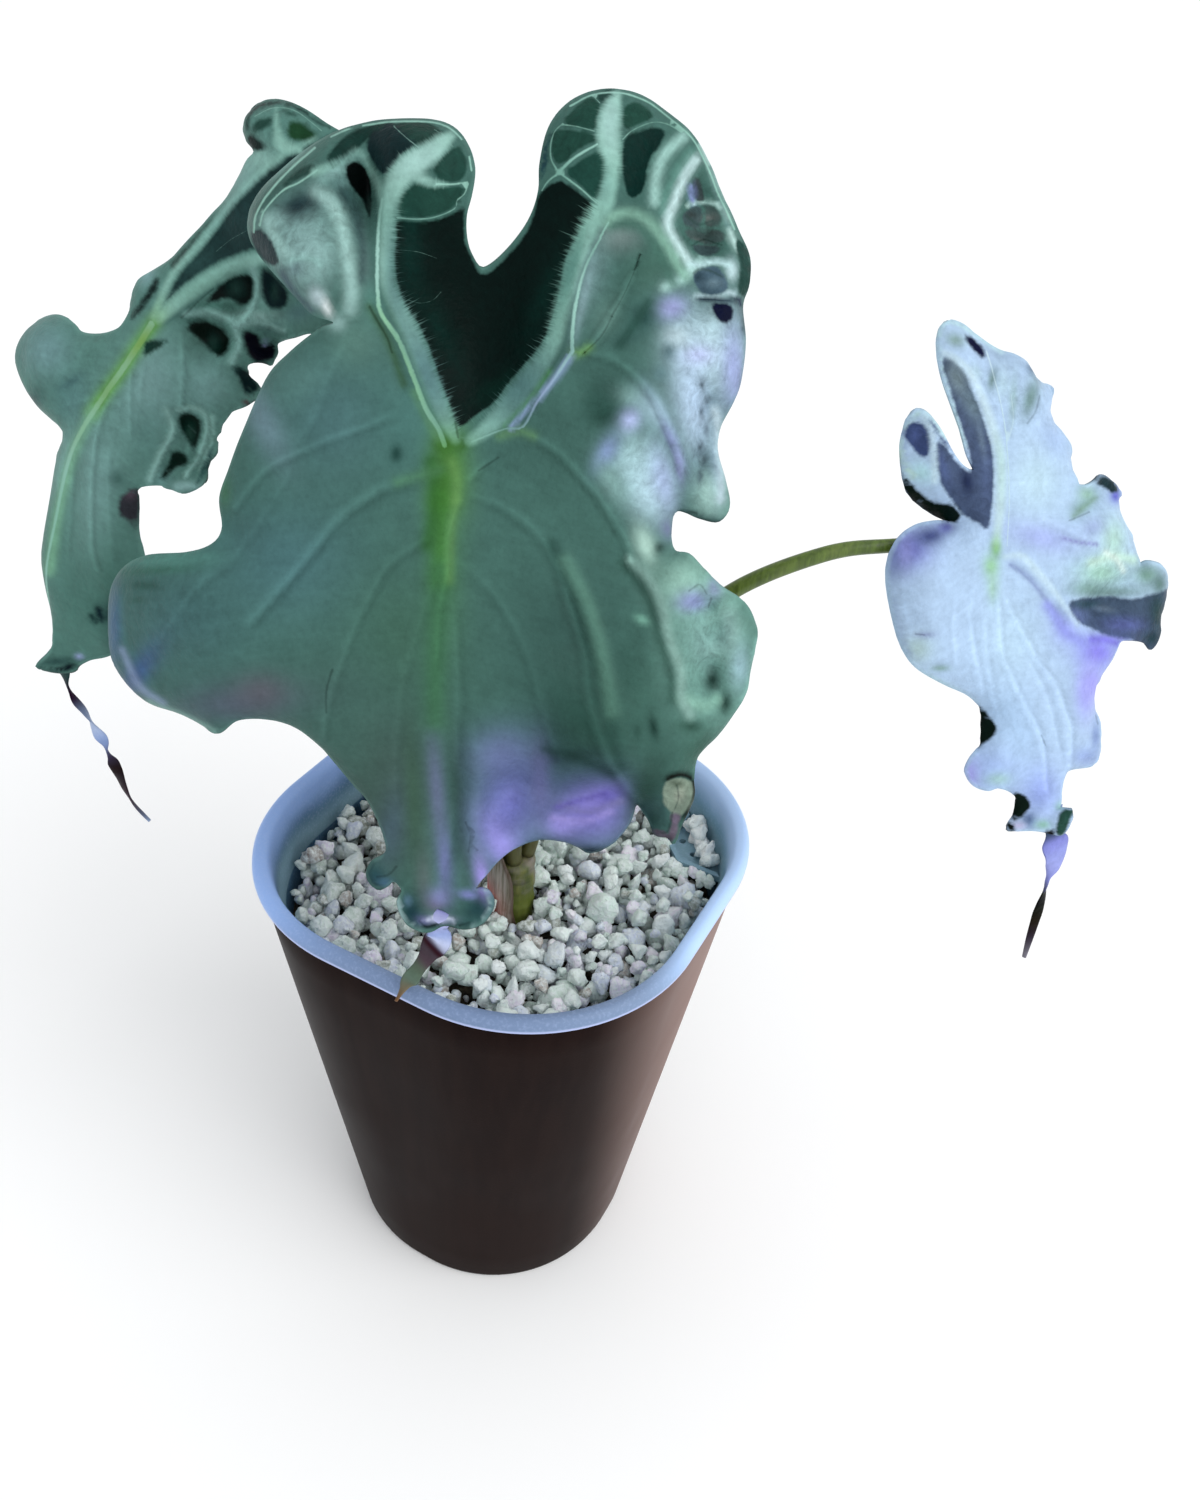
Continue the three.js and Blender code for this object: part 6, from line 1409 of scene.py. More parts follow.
class Blade:
    """The chart of a blade, with u across it, v up its midrib and w out of its upper face."""

    def __init__(self, leaf):
        self.origin = np.array(leaf["junction"], float)
        self.out = facing(math.radians(leaf["azimuth"]), math.radians(leaf["elevation"]))
        tip = self.meet(np.array([leaf["tip"]], float), 0)[0]
        self.along = unit(self.origin - tip)
        self.across = np.cross(self.along, self.out)
        self.arch = leaf["arch"]
        centres = self.chart(self.meet(np.array([d[:2] for d in leaf["domes"]], float), 0))
        self.domes = [(*centre, *dome[2:]) for centre, dome in zip(centres, leaf["domes"])]

    def meet(self, sheet, w):
        """Where the lines of sight through sheet points meet the blade's plane, raised by w."""
        lines = sight_lines(sheet)
        reach = ((self.origin - EYE) @ self.out + w) / (lines @ self.out)
        return EYE + lines * reach[:, None]

    def chart(self, points):
        offset = points - self.origin
        return np.stack((offset @ self.across, offset @ self.along), 1)

    def bulge(self, uv):
        u, v = uv.T
        w = -u * u / (2 * self.arch[0]) - v * v / (2 * self.arch[1])
        for *shape, height in self.domes:
            w = w + height * soft_spot(uv, *shape)
        return w

    def chart_points(self, sheet, lift=0.0):
        place = self.chart(self.meet(sheet, 0))
        for _ in range(PLACING_ROUNDS):
            place = self.chart(self.meet(sheet, self.bulge(place) + lift))
        return place

    def surface(self, uv, w):
        return self.origin + uv[:, :1] * self.across + uv[:, 1:] * self.along + w[:, None] * self.out


class LeafSurface:
    """The middle surface of a blade as a fine mesh, with its place on the sheet at each point."""

    def __init__(self, leaf):
        self.leaf = leaf
        self.blade = Blade(leaf)
        corners = np.array(leaf["outline"], float)
        turned = self.blade.chart_points(corners[:, :2], corners[:, 2])
        shaped = np.c_[turned, corners[:, 2]]
        self.outline = smooth_line(shaped, OUTLINE_SPACING, closed=True)
        self.uv, self.triangles = self.fill(smooth_line(shaped, leaf["spacing"], closed=True)[:, :2])
        height, self.margin = self.height(self.uv)
        bare = self.blade.surface(self.uv, height)
        self.sheet = on_sheet(bare)
        self.places = bare + self.low_relief(bare)[:, None] * self.towards_eye(bare)
        self.normals = self.point_normals()

    def height(self, uv):
        """Height of the waved blade over its chart, and the distance to its margin."""
        margin, _, lift = nearest(uv, self.outline, closed=True)
        reach = np.clip(margin / EDGE_REACH, 0, 1)
        return self.blade.bulge(uv) + lift[:, 0] * (1 - reach) ** EDGE_POWER, margin

    def vein_rows(self, loop):
        """Rows of points that follow each drawn vein, as lists of neighbours."""
        leaf = self.leaf
        drawn = [row[-1] for name in ("lines", "shade_creases", "side_veins") for row in leaf[name]]
        rows = []
        for line in drawn:
            sheet = smooth_line(line, leaf["spacing"] * ROW_STRETCH)
            place = self.blade.chart_points(sheet)
            for _ in range(ROW_ROUNDS):
                place = self.blade.chart(self.blade.meet(sheet, self.height(place)[0]))
            room, _, _ = nearest(place, loop, closed=True)
            fits = inside(place, loop) & (room > leaf["spacing"] * ROW_MARGIN)
            row = []
            for point, fit in zip(place, fits):
                if not fit or (row and np.hypot(*(point - row[-1])) > ROW_BREAK * leaf["spacing"]):
                    rows.append(row)
                    row = []
                if fit:
                    row.append(point)
            rows.append(row)
        return [np.array(row) for row in rows if len(row) > 1]

    def fill(self, loop):
        """A staggered grid of points inside the outline with rows along the veins, and its triangles."""
        spacing = self.leaf["spacing"]
        low = loop.min(0)
        high = loop.max(0)
        rows = np.arange(low[1], high[1], spacing * math.sqrt(3) / 2)
        columns = np.arange(low[0], high[0], spacing)
        x, y = np.meshgrid(columns, rows)
        x = x + np.where(np.arange(len(rows)) % 2, spacing / 2, 0)[:, None]
        rng = np.random.default_rng(GRID_SEED)
        shift = rng.uniform(-GRID_JITTER, GRID_JITTER, (x.size, 2)) * spacing
        grid = grid_inside(loop, x, y, spacing * GRID_MARGIN, shift)
        rows = self.vein_rows(loop)
        edges = []
        start = len(loop)
        for row in rows:
            edges += [(start + k, start + k + 1) for k in range(len(row) - 1)]
            start += len(row)
            apart, _, _ = nearest(grid, row, reach=spacing)
            grid = grid[apart > spacing * ROW_CLEARANCE]
        points = np.vstack((loop, *rows, grid))
        return triangulate(points, [list(range(len(loop)))], edges)

    def low_relief(self, bare):
        """Height of the fine folds, pits and veins towards the eye."""
        relief = np.zeros(len(bare))
        for *shape, height in self.leaf["pits"]:
            relief += height * soft_spot(self.sheet, *shape)
        for height, width, line in self.leaf["ridges"]:
            relief += height * soft_line(self.sheet, line, width)
        for i, place in enumerate(bare):
            for size, depth in SWELLS:
                relief[i] += depth * noise.noise(Vector(place / size))
        return relief

    def towards_eye(self, bare):
        sight = EYE - bare
        return sight / np.linalg.norm(sight, axis=1)[:, None]

    def point_normals(self):
        a, b, c = (self.places[self.triangles[:, k]] for k in range(3))
        face = np.cross(b - a, c - a)
        normals = np.zeros_like(self.places)
        for k in range(3):
            np.add.at(normals, self.triangles[:, k], face)
        normals /= np.linalg.norm(normals, axis=1)[:, None]
        if (normals @ self.blade.out).mean() < 0:
            self.triangles = self.triangles[:, ::-1]
            normals = -normals
        return normals

    def boundary(self):
        """Directed edges on the margin, with the blade on their left."""
        edges = np.vstack([self.triangles[:, [k, (k + 1) % 3]] for k in range(3)])
        keys = {(a, b) for a, b in edges.tolist()}
        return np.array([(a, b) for a, b in keys if (b, a) not in keys])


def painted(points, base, spots, strokes=()):
    """A colour for each point: a base with soft spots and strokes laid over it."""
    colour = np.tile(linear(base), (len(points), 1)) if isinstance(base, str) else base.copy()
    for shade, strength, *shape in spots:
        colour += strength * soft_spot(points, *shape)[:, None] * (linear(shade) - colour)
    for shade, strength, width, line in strokes:
        colour += strength * soft_line(points, line, width)[:, None] * (linear(shade) - colour)
    return colour


def side_vein_shade(points, veins):
    """Light on each soft side vein and shade beside it, as a factor."""
    factor = np.ones(len(points))
    for strength, width, shift, line in veins:
        spaced = smooth_line(line, STROKE_STEP)
        for shifted, share in ((spaced, SIDE_VEIN_LIGHT), (spaced + np.array(shift), SIDE_VEIN_SHADE)):
            distance, along, _ = nearest(points, shifted, reach=SPREAD * width)
            fade = np.clip(along / SIDE_VEIN_FADE, 0, 1)
            factor += share * strength * fade * np.exp(-(distance / width) ** 2)
    return factor


def less_gloss(colour):
    """Paint that looks like the colour once light and gloss are added."""
    paint = colour * PAINT_SHARE
    return np.clip(np.maximum(paint - GLOSS_SHARE, paint * LEAST_PAINT_SHARE), LEAST_PAINT, 1)


def cell_distance(points, cells):
    """Signed distance to the nearest dark cell, negative inside, and that cell's colour."""
    distance = np.full(len(points), FAR)
    colour = np.tile(linear("#203a34"), (len(points), 1))
    for shade, corners in cells:
        loop = smooth_line(corners, LINE_STEP, closed=True)
        gap, _, _ = nearest(points, loop, closed=True, reach=CELL_REACH)
        gap = np.where(inside(points, loop), -gap, gap)
        closer = gap < distance
        distance[closer] = gap[closer]
        colour[closer] = linear(shade)
    return distance, colour


def line_distance(points, lines):
    """Least distance to tapering lines, less their half-width."""
    result = np.full(len(points), FAR)
    for start, end, line in lines:
        spaced = smooth_line(line, LINE_STEP)
        spaced = np.c_[spaced, np.linspace(start, end, len(spaced))]
        distance, _, width = nearest(points, spaced, reach=LINE_REACH)
        result = np.minimum(result, np.where(distance < FAR, distance - width[:, 0], FAR))
    return result


def band_distance(points, bands):
    """Least distance to pale bands, less their half-width, the hairs' length and the place along a band."""
    result = np.full(len(points), FAR)
    hair = np.zeros(len(points))
    place = np.zeros(len(points))
    for number, (hairs, line, widths) in enumerate(bands):
        spaced = smooth_line(np.c_[np.array(line, float), np.array(widths, float)], LINE_STEP)
        distance, along, width = nearest(points, spaced, reach=BAND_REACH)
        gap = np.where(distance < FAR, distance - width[:, 0], FAR)
        closer = gap < result
        result[closer] = gap[closer]
        hair[closer] = hairs
        place[closer] = along[closer] + BAND_PLACE_GAP * number
    return result, hair, place


def leaf_material(leaf):
    """Painted blade: soft body colour with painted light and shade in it, dark cells, hairy pale bands, thin
    veins, folds darkened by painted shade and a painted highlight along the rim.
    """
    s = Shading("blade_of_" + leaf["name"])
    place = s.place()
    fine = s.wave(place, 900, 3)
    mottle = s.wave(place, 240, 4, 0.6)
    blotch = s.wave(place, 480, 4, 0.7, 0.6)
    brushed = s.streaks(("out_along", "down_along"), (0.11, 0.75), 0.0, 4)
    texture = s.weighted((brushed, 0.4), (mottle, 0.8), (fine, 0.45))
    # Mottled silvery sheen: partly the blade's own bloom, partly painted sheen
    sheen_mottle = s.math("MULTIPLY", blotch, s.math("MULTIPLY", s.number("bloom_and_sheen"), 1.5))
    body = s.shaded(s.colour("tint"), (texture, 0.55), (sheen_mottle, 1))
    deep = s.shaded(s.colour("deep"), (blotch, 1.2))
    paler = s.shaded(s.colour("vein"), (texture, 0.7))

    blur = leaf["cell_blur"]
    cell = s.weighted((s.number("cell"), 1), (fine, 2.4), (brushed, 2 * blur), (mottle, 2 * blur))
    colour = s.mix(s.ramp(cell, 1.6 * blur, -2.2 * blur), body, deep)

    by_band = ("along", "off")
    broad_tufts = s.streaks(by_band, (0.26, 0.03), 0.0, 3)
    fine_tufts = s.streaks(by_band, (0.61, 0.05), 3.0, 3)
    tufts = s.weighted((broad_tufts, 0.75), (fine_tufts, 0.45))
    wisps = s.math("MULTIPLY", s.streaks(by_band, (0.5, 0.012), 7.0, 2, 0.6), 2.6)
    dark_side = s.ramp(s.number("cell"), 9.0, 2.0)
    hair = s.math("MULTIPLY", s.number("hair"), s.math("MULTIPLY", dark_side, 3.6))
    for pattern, low, high, share in ((wisps, 3.0, -8.0, 0.3), (tufts, 4.0, -6.5, 0.9)):
        edge = s.math("ADD", s.number("band"), s.math("MULTIPLY", pattern, hair))
        colour = s.mix(s.ramp(edge, low, high, 0.0, share), colour, paler)

    line = s.ramp(s.weighted((s.number("line"), 1), (fine, 1.2)), 0.9, -1.0, 0.0, 0.85)
    colour = s.mix(line, colour, s.times(s.colour("vein"), LINE_GAIN))
    # Painted shade in folds and under edges: these lines darken towards a third of the body tint
    crease_shade = s.ramp(s.weighted((s.number("crease_shade"), 1), (fine, 1.6)), 1.8, -0.8, 0.0, 0.6)
    colour = s.mix(crease_shade, colour, s.times(s.colour("tint"), 0.35))
    # Painted highlight along the margin, kept out of the dark cells
    rim = s.ramp(s.number("edge"), 0.8, 0.1, 0.0, leaf["rim_highlight_share"])
    rim = s.math("MULTIPLY", rim, s.ramp(s.number("cell"), 0.0, 5.0))
    colour = s.mix(rim, colour, flat(leaf["rim"]))

    under = s.mix(s.ramp(mottle, -0.3, 0.3, 0.0, 0.6), flat(leaf["under"]), flat("#57604f"))
    under = s.mix(s.ramp(s.number("under_vein"), 3.0, -1.0, 0.0, 0.6), under, flat("#7d8a72"))
    colour = s.mix(s.number("lower"), colour, under)
    s.set("Base Color", colour)
    s.set("Roughness", s.ramp(mottle, -0.3, 0.3, 0.4, 0.52))
    s.set("Specular IOR Level", 0.05)
    s.bump(s.weighted((fine, 0.4), (line, 0.35), (texture, 0.9)), 0.0003, 0.8)
    return s.material


def tail_mesh(leaf, blade):
    """Points and faces of the twisted ribbon at a blade's tip, with a colour at each point."""
    stations = np.array([row[:5] for row in leaf["tail"]], float)
    shades = np.array([linear(row[5]) for row in leaf["tail"]])
    centres = blade.meet(stations[:, :2], stations[:, 2])
    rows = smooth_line(np.c_[centres, stations[:, 3:], shades], TAIL_STEP)
    rings = []
    for row, side, normal in carried_axes(rows, blade.across):
        turn = math.radians(row[4])
        wide = math.cos(turn) * side + math.sin(turn) * normal
        thin = math.cos(turn) * normal - math.sin(turn) * side
        rings.append(tube_ring(row[:3], row[3] * wide, TAIL_HALF_THICKNESS * thin, TAIL_SIDES))
    colours = np.repeat(np.clip(rows[:, 5:8], 0, 1), TAIL_SIDES, axis=0)
    return np.vstack(rings), tube_faces(len(rows), TAIL_SIDES), colours


def build_leaf(leaf):
    """A blade with ribs on its back, a rounded rim and its drip tip, painted point by point."""
    skin = LeafSurface(leaf)
    count = len(skin.places)
    half = BLADE_THICKNESS / 2
    line = line_distance(skin.sheet, leaf["lines"])
    side_vein = line_distance(skin.sheet, [(1, 1, row[-1]) for row in leaf["side_veins"]])
    vein_gap = np.minimum(line, side_vein)
    band, hair, along = band_distance(skin.sheet, leaf["bands"])
    rib = RIB_HEIGHT * np.exp(-(np.clip(np.minimum(vein_gap, band), 0, None) / RIB_REACH) ** 2)
    rib *= np.clip(skin.margin / EDGE_REACH, 0, 1)
    upper = skin.places + half * skin.normals
    lower = skin.places - (half + rib)[:, None] * skin.normals
    edges = skin.boundary()
    rim = edges[:, 0]
    rim_number = {int(a): 2 * count + i for i, a in enumerate(rim)}
    outward = np.cross(skin.places[edges[:, 1]] - skin.places[rim], skin.normals[rim])
    outward /= np.linalg.norm(outward, axis=1)[:, None]
    middle = skin.places[rim] + RIM_ROUND * outward
    faces = [*map(tuple, skin.triangles), *map(tuple, skin.triangles[:, ::-1] + count)]
    for a, b in edges.tolist():
        faces.append((b, a, rim_number[a], rim_number[b]))
        faces.append((rim_number[b], rim_number[a], a + count, b + count))
    tail, tail_faces, tail_colours = tail_mesh(leaf, skin.blade)
    start = 2 * count + len(rim)
    faces += [tuple(start + k for k in face) for face in tail_faces]
    vertices = np.vstack((upper, lower, middle, tail)) * MM
    made = make_object(leaf["name"] + "_look", vertices, faces, leaf_material(leaf))

    # The tint is the body colour with painted light and shade laid over it: highlights, sheen, lilac
    # reflections and shade
    tint = painted(skin.sheet, leaf["body"], leaf["spots"], leaf["strokes"])
    tint *= side_vein_shade(skin.sheet, leaf["side_veins"])[:, None]
    cell, deep = cell_distance(skin.sheet, leaf["cells"])
    coats = {
        "tint": tint,
        "vein": painted(skin.sheet, leaf["vein"], leaf["vein_spots"]),
        "deep": painted(skin.sheet, deep, leaf["deep_spots"]),
    }
    for name, colour in coats.items():
        set_colour(made, name, less_gloss(np.vstack((colour, colour, colour[rim], tail_colours))))

    shade_creases = [(width, CREASE_TAPER * width, row) for width, row in leaf["shade_creases"]]
    bloom_and_sheen = sum(strength * soft_spot(skin.sheet, *shape) for strength, *shape in leaf["bloom_and_sheen"])
    far_on_tail = {
        "cell": cell,
        "line": line,
        "under_vein": np.minimum(vein_gap, band + 3),
        "band": band,
        "crease_shade": line_distance(skin.sheet, shade_creases),
        "edge": skin.margin,
    }
    none_on_tail = {
        "out_along": np.abs(skin.uv[:, 0]),
        "down_along": skin.uv[:, 1] + 0.25 * np.abs(skin.uv[:, 0]),
        "hair": hair,
        "along": along,
        "off": band,
        "bloom_and_sheen": np.clip(bloom_and_sheen, 0, 1),
    }
    for numbers, tail_value in ((far_on_tail, FAR), (none_on_tail, 0)):
        for name, values in numbers.items():
            on_tail = np.full(len(tail), tail_value)
            set_number(made, name, np.r_[values, values, values[rim], on_tail])
    is_lower = np.r_[np.zeros(count), np.ones(count), np.full(len(rim), RIM_UNDERSIDE), np.zeros(len(tail))]
    set_number(made, "lower", is_lower)
    hold(made, leaf["name"])
    return skin


def sweep(name, rows, sides, material):
    """A round tube through rows of a centre and a radius."""
    rings = [
        tube_ring(row[:3], row[3] * side, row[3] * normal, sides)
        for row, side, normal in carried_axes(rows, np.array([1.0, 0, 0]))
    ]
    made = make_object(name, np.vstack(rings) * MM, tube_faces(len(rows), sides), material)
    travelled = np.r_[0, np.cumsum(np.linalg.norm(np.diff(rows[:, :3], axis=0), axis=1))]
    set_number(made, "travel", np.repeat(travelled, sides))
    return made


def stalk_material():
    """Olive leaf stalk with long streaks and a purple flush near its foot."""
    s = Shading("stalk_skin")
    place = s.place()
    along = s.noise(s.scaled(place, (1.0, 1.0, 0.12)), 900, 3, 0.6)
    blotch = s.noise(place, 120, 3, 0.6)
    colour = s.mix(s.ramp(along, 0.3, 0.7), flat("#42561c"), flat("#5b7229"))
    colour = s.mix(s.ramp(blotch, 0.45, 0.75, 0.0, 0.6), colour, flat("#6f7f3a"))
    colour = s.mix(s.ramp(s.number("travel"), 26.0, 2.0, 0.0, 0.6), colour, flat("#5a4638"))
    s.set("Base Color", colour)
    s.set("Roughness", s.ramp(along, 0.3, 0.7, 0.32, 0.46))
    s.bump(along, 0.0002, 0.6)
    return s.material


def build_stalk(leaf, skin, material):
    """A stalk that runs from the stem to the back of its blade."""
    centre = np.argmin(np.hypot(*skin.uv.T))
    last_radius = leaf["stalk"][-1][3]
    ends = [
        (*(skin.places[centre] - gap * skin.normals[centre]), last_radius * swell)
        for gap, swell in zip((STALK_TURN, STALK_END_GAP), STALK_END_SWELL)
    ]
    rows = smooth_line(np.array([*leaf["stalk"], *ends]), STALK_STEP)
    flare = np.clip(1 - (len(rows) - 1 - np.arange(len(rows))) / STALK_FLARE_ROWS, 0, 1)
    rows[:, 3] *= 1 + STALK_FLARE * flare
    made = sweep(leaf["stalk_name"] + "_look", rows, STALK_SIDES, material)
    hold(made, leaf["stalk_name"])


def stem_material():
    """Olive stem, greener low down, with pale blotches and dark scars."""
    s = Shading("stem_skin")
    place = s.place()
    grain = s.noise(s.scaled(place, (1.0, 1.0, 0.15)), 700, 4, 0.6)
    blotch = s.noise(place, 160, 3, 0.6)
    rings = s.noise(s.scaled(place, (0.15, 0.15, 1.0)), 350, 2, 0.5)
    colour = s.mix(s.ramp(grain, 0.3, 0.7), flat("#4f5a2a"), flat("#76783f"))
    colour = s.mix(s.ramp(blotch, 0.5, 0.75, 0.0, 0.7), colour, flat("#8f8484"))
    colour = s.mix(s.ramp(rings, 0.62, 0.7, 0.0, 0.5), colour, flat("#2f331c"))
    colour = s.mix(s.ramp_mm(s.axes()[2], *STEM_GREEN_Z, 0.0, 0.7), colour, flat("#5c6a20"))
    s.set("Base Color", colour)
    s.set("Roughness", s.ramp(grain, 0.3, 0.7, 0.4, 0.6))
    s.bump(s.weighted((grain, 1), (rings, 0.7)), 0.0005, 0.7)
    return s.material


def build_stem():
    """A slightly knobbly stem, narrower at its very top."""
    rows = []
    for z in np.linspace(STEM_FOOT_Z, STEM_TOP_Z, STEM_ROWS):
        share = (z - STEM_FOOT_Z) / (STEM_TOP_Z - STEM_FOOT_Z)
        swell = 1 + 0.04 * math.sin(z * 0.9) + 0.02 * math.sin(z * 2.3)
        crown = 0.7 if share > 0.985 else 1.0
        rows.append((*STEM, z, STEM_RADIUS * STEM_SKIN_SHARE * swell * crown))
    made = sweep("stem_look", np.array(rows), STEM_SIDES, stem_material())
    hold(made, "stem_base")


def sheath_material():
    """Dry papery sheath: grey-pink with brown edges and a red patch."""
    s = Shading("sheath_skin")
    place = s.place()
    fibre = s.noise(s.scaled(place, (1.0, 1.0, 0.06)), 1500, 3, 0.6)
    blotch = s.noise(place, 130, 3, 0.6)
    streak = s.ramp(fibre, 0.35, 0.65)
    colour = s.mix(streak, flat("#6f6a58"), flat("#a79f96"))
    colour = s.mix(s.ramp(blotch, 0.5, 0.7, 0.0, 0.7), colour, flat("#5b4a34"))
    colour = s.mix(s.number("blush"), colour, s.mix(streak, flat("#c23c48"), flat("#ea7474")))
    colour = s.mix(s.ramp(s.number("edge"), 1.2, 0.2, 0.0, 0.8), colour, flat("#4a3424"))
    s.set("Base Color", colour)
    s.set("Roughness", 0.5)
    s.bump(fibre, 0.0003, 0.8)
    return s.material


def build_sheath():
    """A thin curved sheet round the stem's left side, pointed at the top."""
    loop = smooth_line(SHEATH_OUTLINE, SHEATH_SPACING, closed=True)
    x, y = np.meshgrid(*(np.arange(low, high, SHEATH_SPACING) for low, high in SHEATH_BOX))
    grid = grid_inside(loop, x, y, SHEATH_SPACING * GRID_MARGIN)
    points, triangles = triangulate(np.vstack((loop, grid)), [list(range(len(loop)))])
    arc, height = points.T
    angle = math.radians(SHEATH_AZIMUTH) + arc / SHEATH_RADIUS
    crumple = 0.12 * np.sin(arc * 2.4 + height * 0.25)
    layers = []
    for radius in (SHEATH_RADIUS + SHEATH_THICKNESS * 0.9, SHEATH_RADIUS + SHEATH_INNER_GAP):
        reach = radius + crumple
        layers.append(np.stack((STEM[0] + reach * np.cos(angle), STEM[1] + reach * np.sin(angle), height), 1))
    faces = slab_faces(triangles, len(points))
    made = make_object("sheath_look", np.vstack(layers) * MM, faces, sheath_material())
    edge, _, _ = nearest(points, loop, closed=True)
    set_number(made, "blush", np.tile(soft_spot(points, *SHEATH_BLUSH), 2))
    set_number(made, "edge", np.tile(edge, 2))
    hold(made, "cataphyll")


def rounded_square(side, corner, z, steps=28):
    """One turn of a rounded square at a height."""
    reach = side / 2 - corner
    ring = []
    for quarter, (sign_x, sign_y) in enumerate([(1, 1), (-1, 1), (-1, -1), (1, -1)]):
        for step in range(steps + 1):
            angle = (quarter + step / steps) * math.pi / 2
            x = sign_x * reach + corner * math.cos(angle)
            ring.append((x, sign_y * reach + corner * math.sin(angle), z))
    return np.array(ring)


def ring_skin(name, rings, material):
    """A closed skin over a stack of rings, with sharp edges where it turns sharply."""
    made = make_object(name, np.vstack(rings) * MM, tube_faces(len(rings), len(rings[0])), material)
    made.data.set_sharp_from_angle(angle=math.radians(40))
    return made


def blend_rings(low, high, count):
    """Rings evenly spaced from one to another."""
    return [low + (high - low) * k / count for k in range(count)] + [high]


def level_distance(s, axes, direction):
    """Distance from the middle along a level direction."""
    return s.weighted(*zip(axes, direction))


def pot_material():
    """Satin brown plastic with faint upright streaks, scuffs and dust, and painted light that pales its right
    side.
    """
    s = Shading("brown_plastic")
    place = s.place()
    streaks = s.noise(s.scaled(place, (1.0, 1.0, 0.05)), 260, 3, 0.6)
    cloud = s.noise(place, 14, 3, 0.6)
    grit = s.noise(place, 1800, 2, 0.5)
    colour = s.mix(s.ramp(streaks, 0.3, 0.7), flat("#160c0b"), flat("#1c110f"))
    colour = s.mix(s.ramp(cloud, 0.35, 0.7, 0.0, 0.6), colour, flat("#211512"))
    colour = s.mix(s.ramp(grit, 0.62, 0.72, 0.0, 0.2), colour, flat("#2c201b"))
    # Painted light: the side towards the right turns a paler brown
    rightward = level_distance(s, s.axes(), LEVEL_RIGHT)
    colour = s.mix(s.ramp_mm(rightward, *POT_LIT_SIDE, 0.0, 0.9), colour, flat("#967c75"))
    s.set("Base Color", colour)
    s.set("Roughness", s.ramp(cloud, 0.3, 0.7, 0.36, 0.48))
    s.set("Specular IOR Level", 0.02)
    s.bump(s.weighted((grit, 1), (streaks, 0.6)), 0.00006, 0.3)
    return s.material


def build_pot():
    """The outer pot: rounded foot, straight walls, rounded rim and the inside down to its floor."""
    rings = [rounded_square(POT_FOOT_SIDE - loss, POT_FOOT_CORNER - loss / 2, z) for loss, z in FOOT_PROFILE]
    top = rounded_square(POT_RIM_SIDE, POT_RIM_CORNER, POT_HEIGHT - POT_RIM_DROP)
    rings += blend_rings(rings[-1], top, 12)[1:]
    for inset, drop in RIM_PROFILE:
        rings.append(rounded_square(POT_RIM_SIDE - 2 * inset, POT_RIM_CORNER - inset, POT_HEIGHT - drop))
    floor = rounded_square(POT_FOOT_SIDE - 2 * POT_WALL, POT_FOOT_CORNER - POT_WALL, POT_FLOOR)
    rings += blend_rings(rings[-1], floor, 6)[1:]
    hold(ring_skin("outer_pot_look", rings, pot_material()), "outer_pot")


def liner_ring(z, inset):
    """One turn of the liner's wall at a height, moved inwards."""
    t = (z - LINER_FOOT_Z) / (POT_HEIGHT - LINER_FOOT_Z)
    side = LINER_FOOT_SIDE + t * (LINER_TOP_SIDE - LINER_FOOT_SIDE)
    corner = LINER_FOOT_CORNER + t * (LINER_TOP_CORNER - LINER_FOOT_CORNER)
    return rounded_square(side - 2 * inset, corner - inset, z)


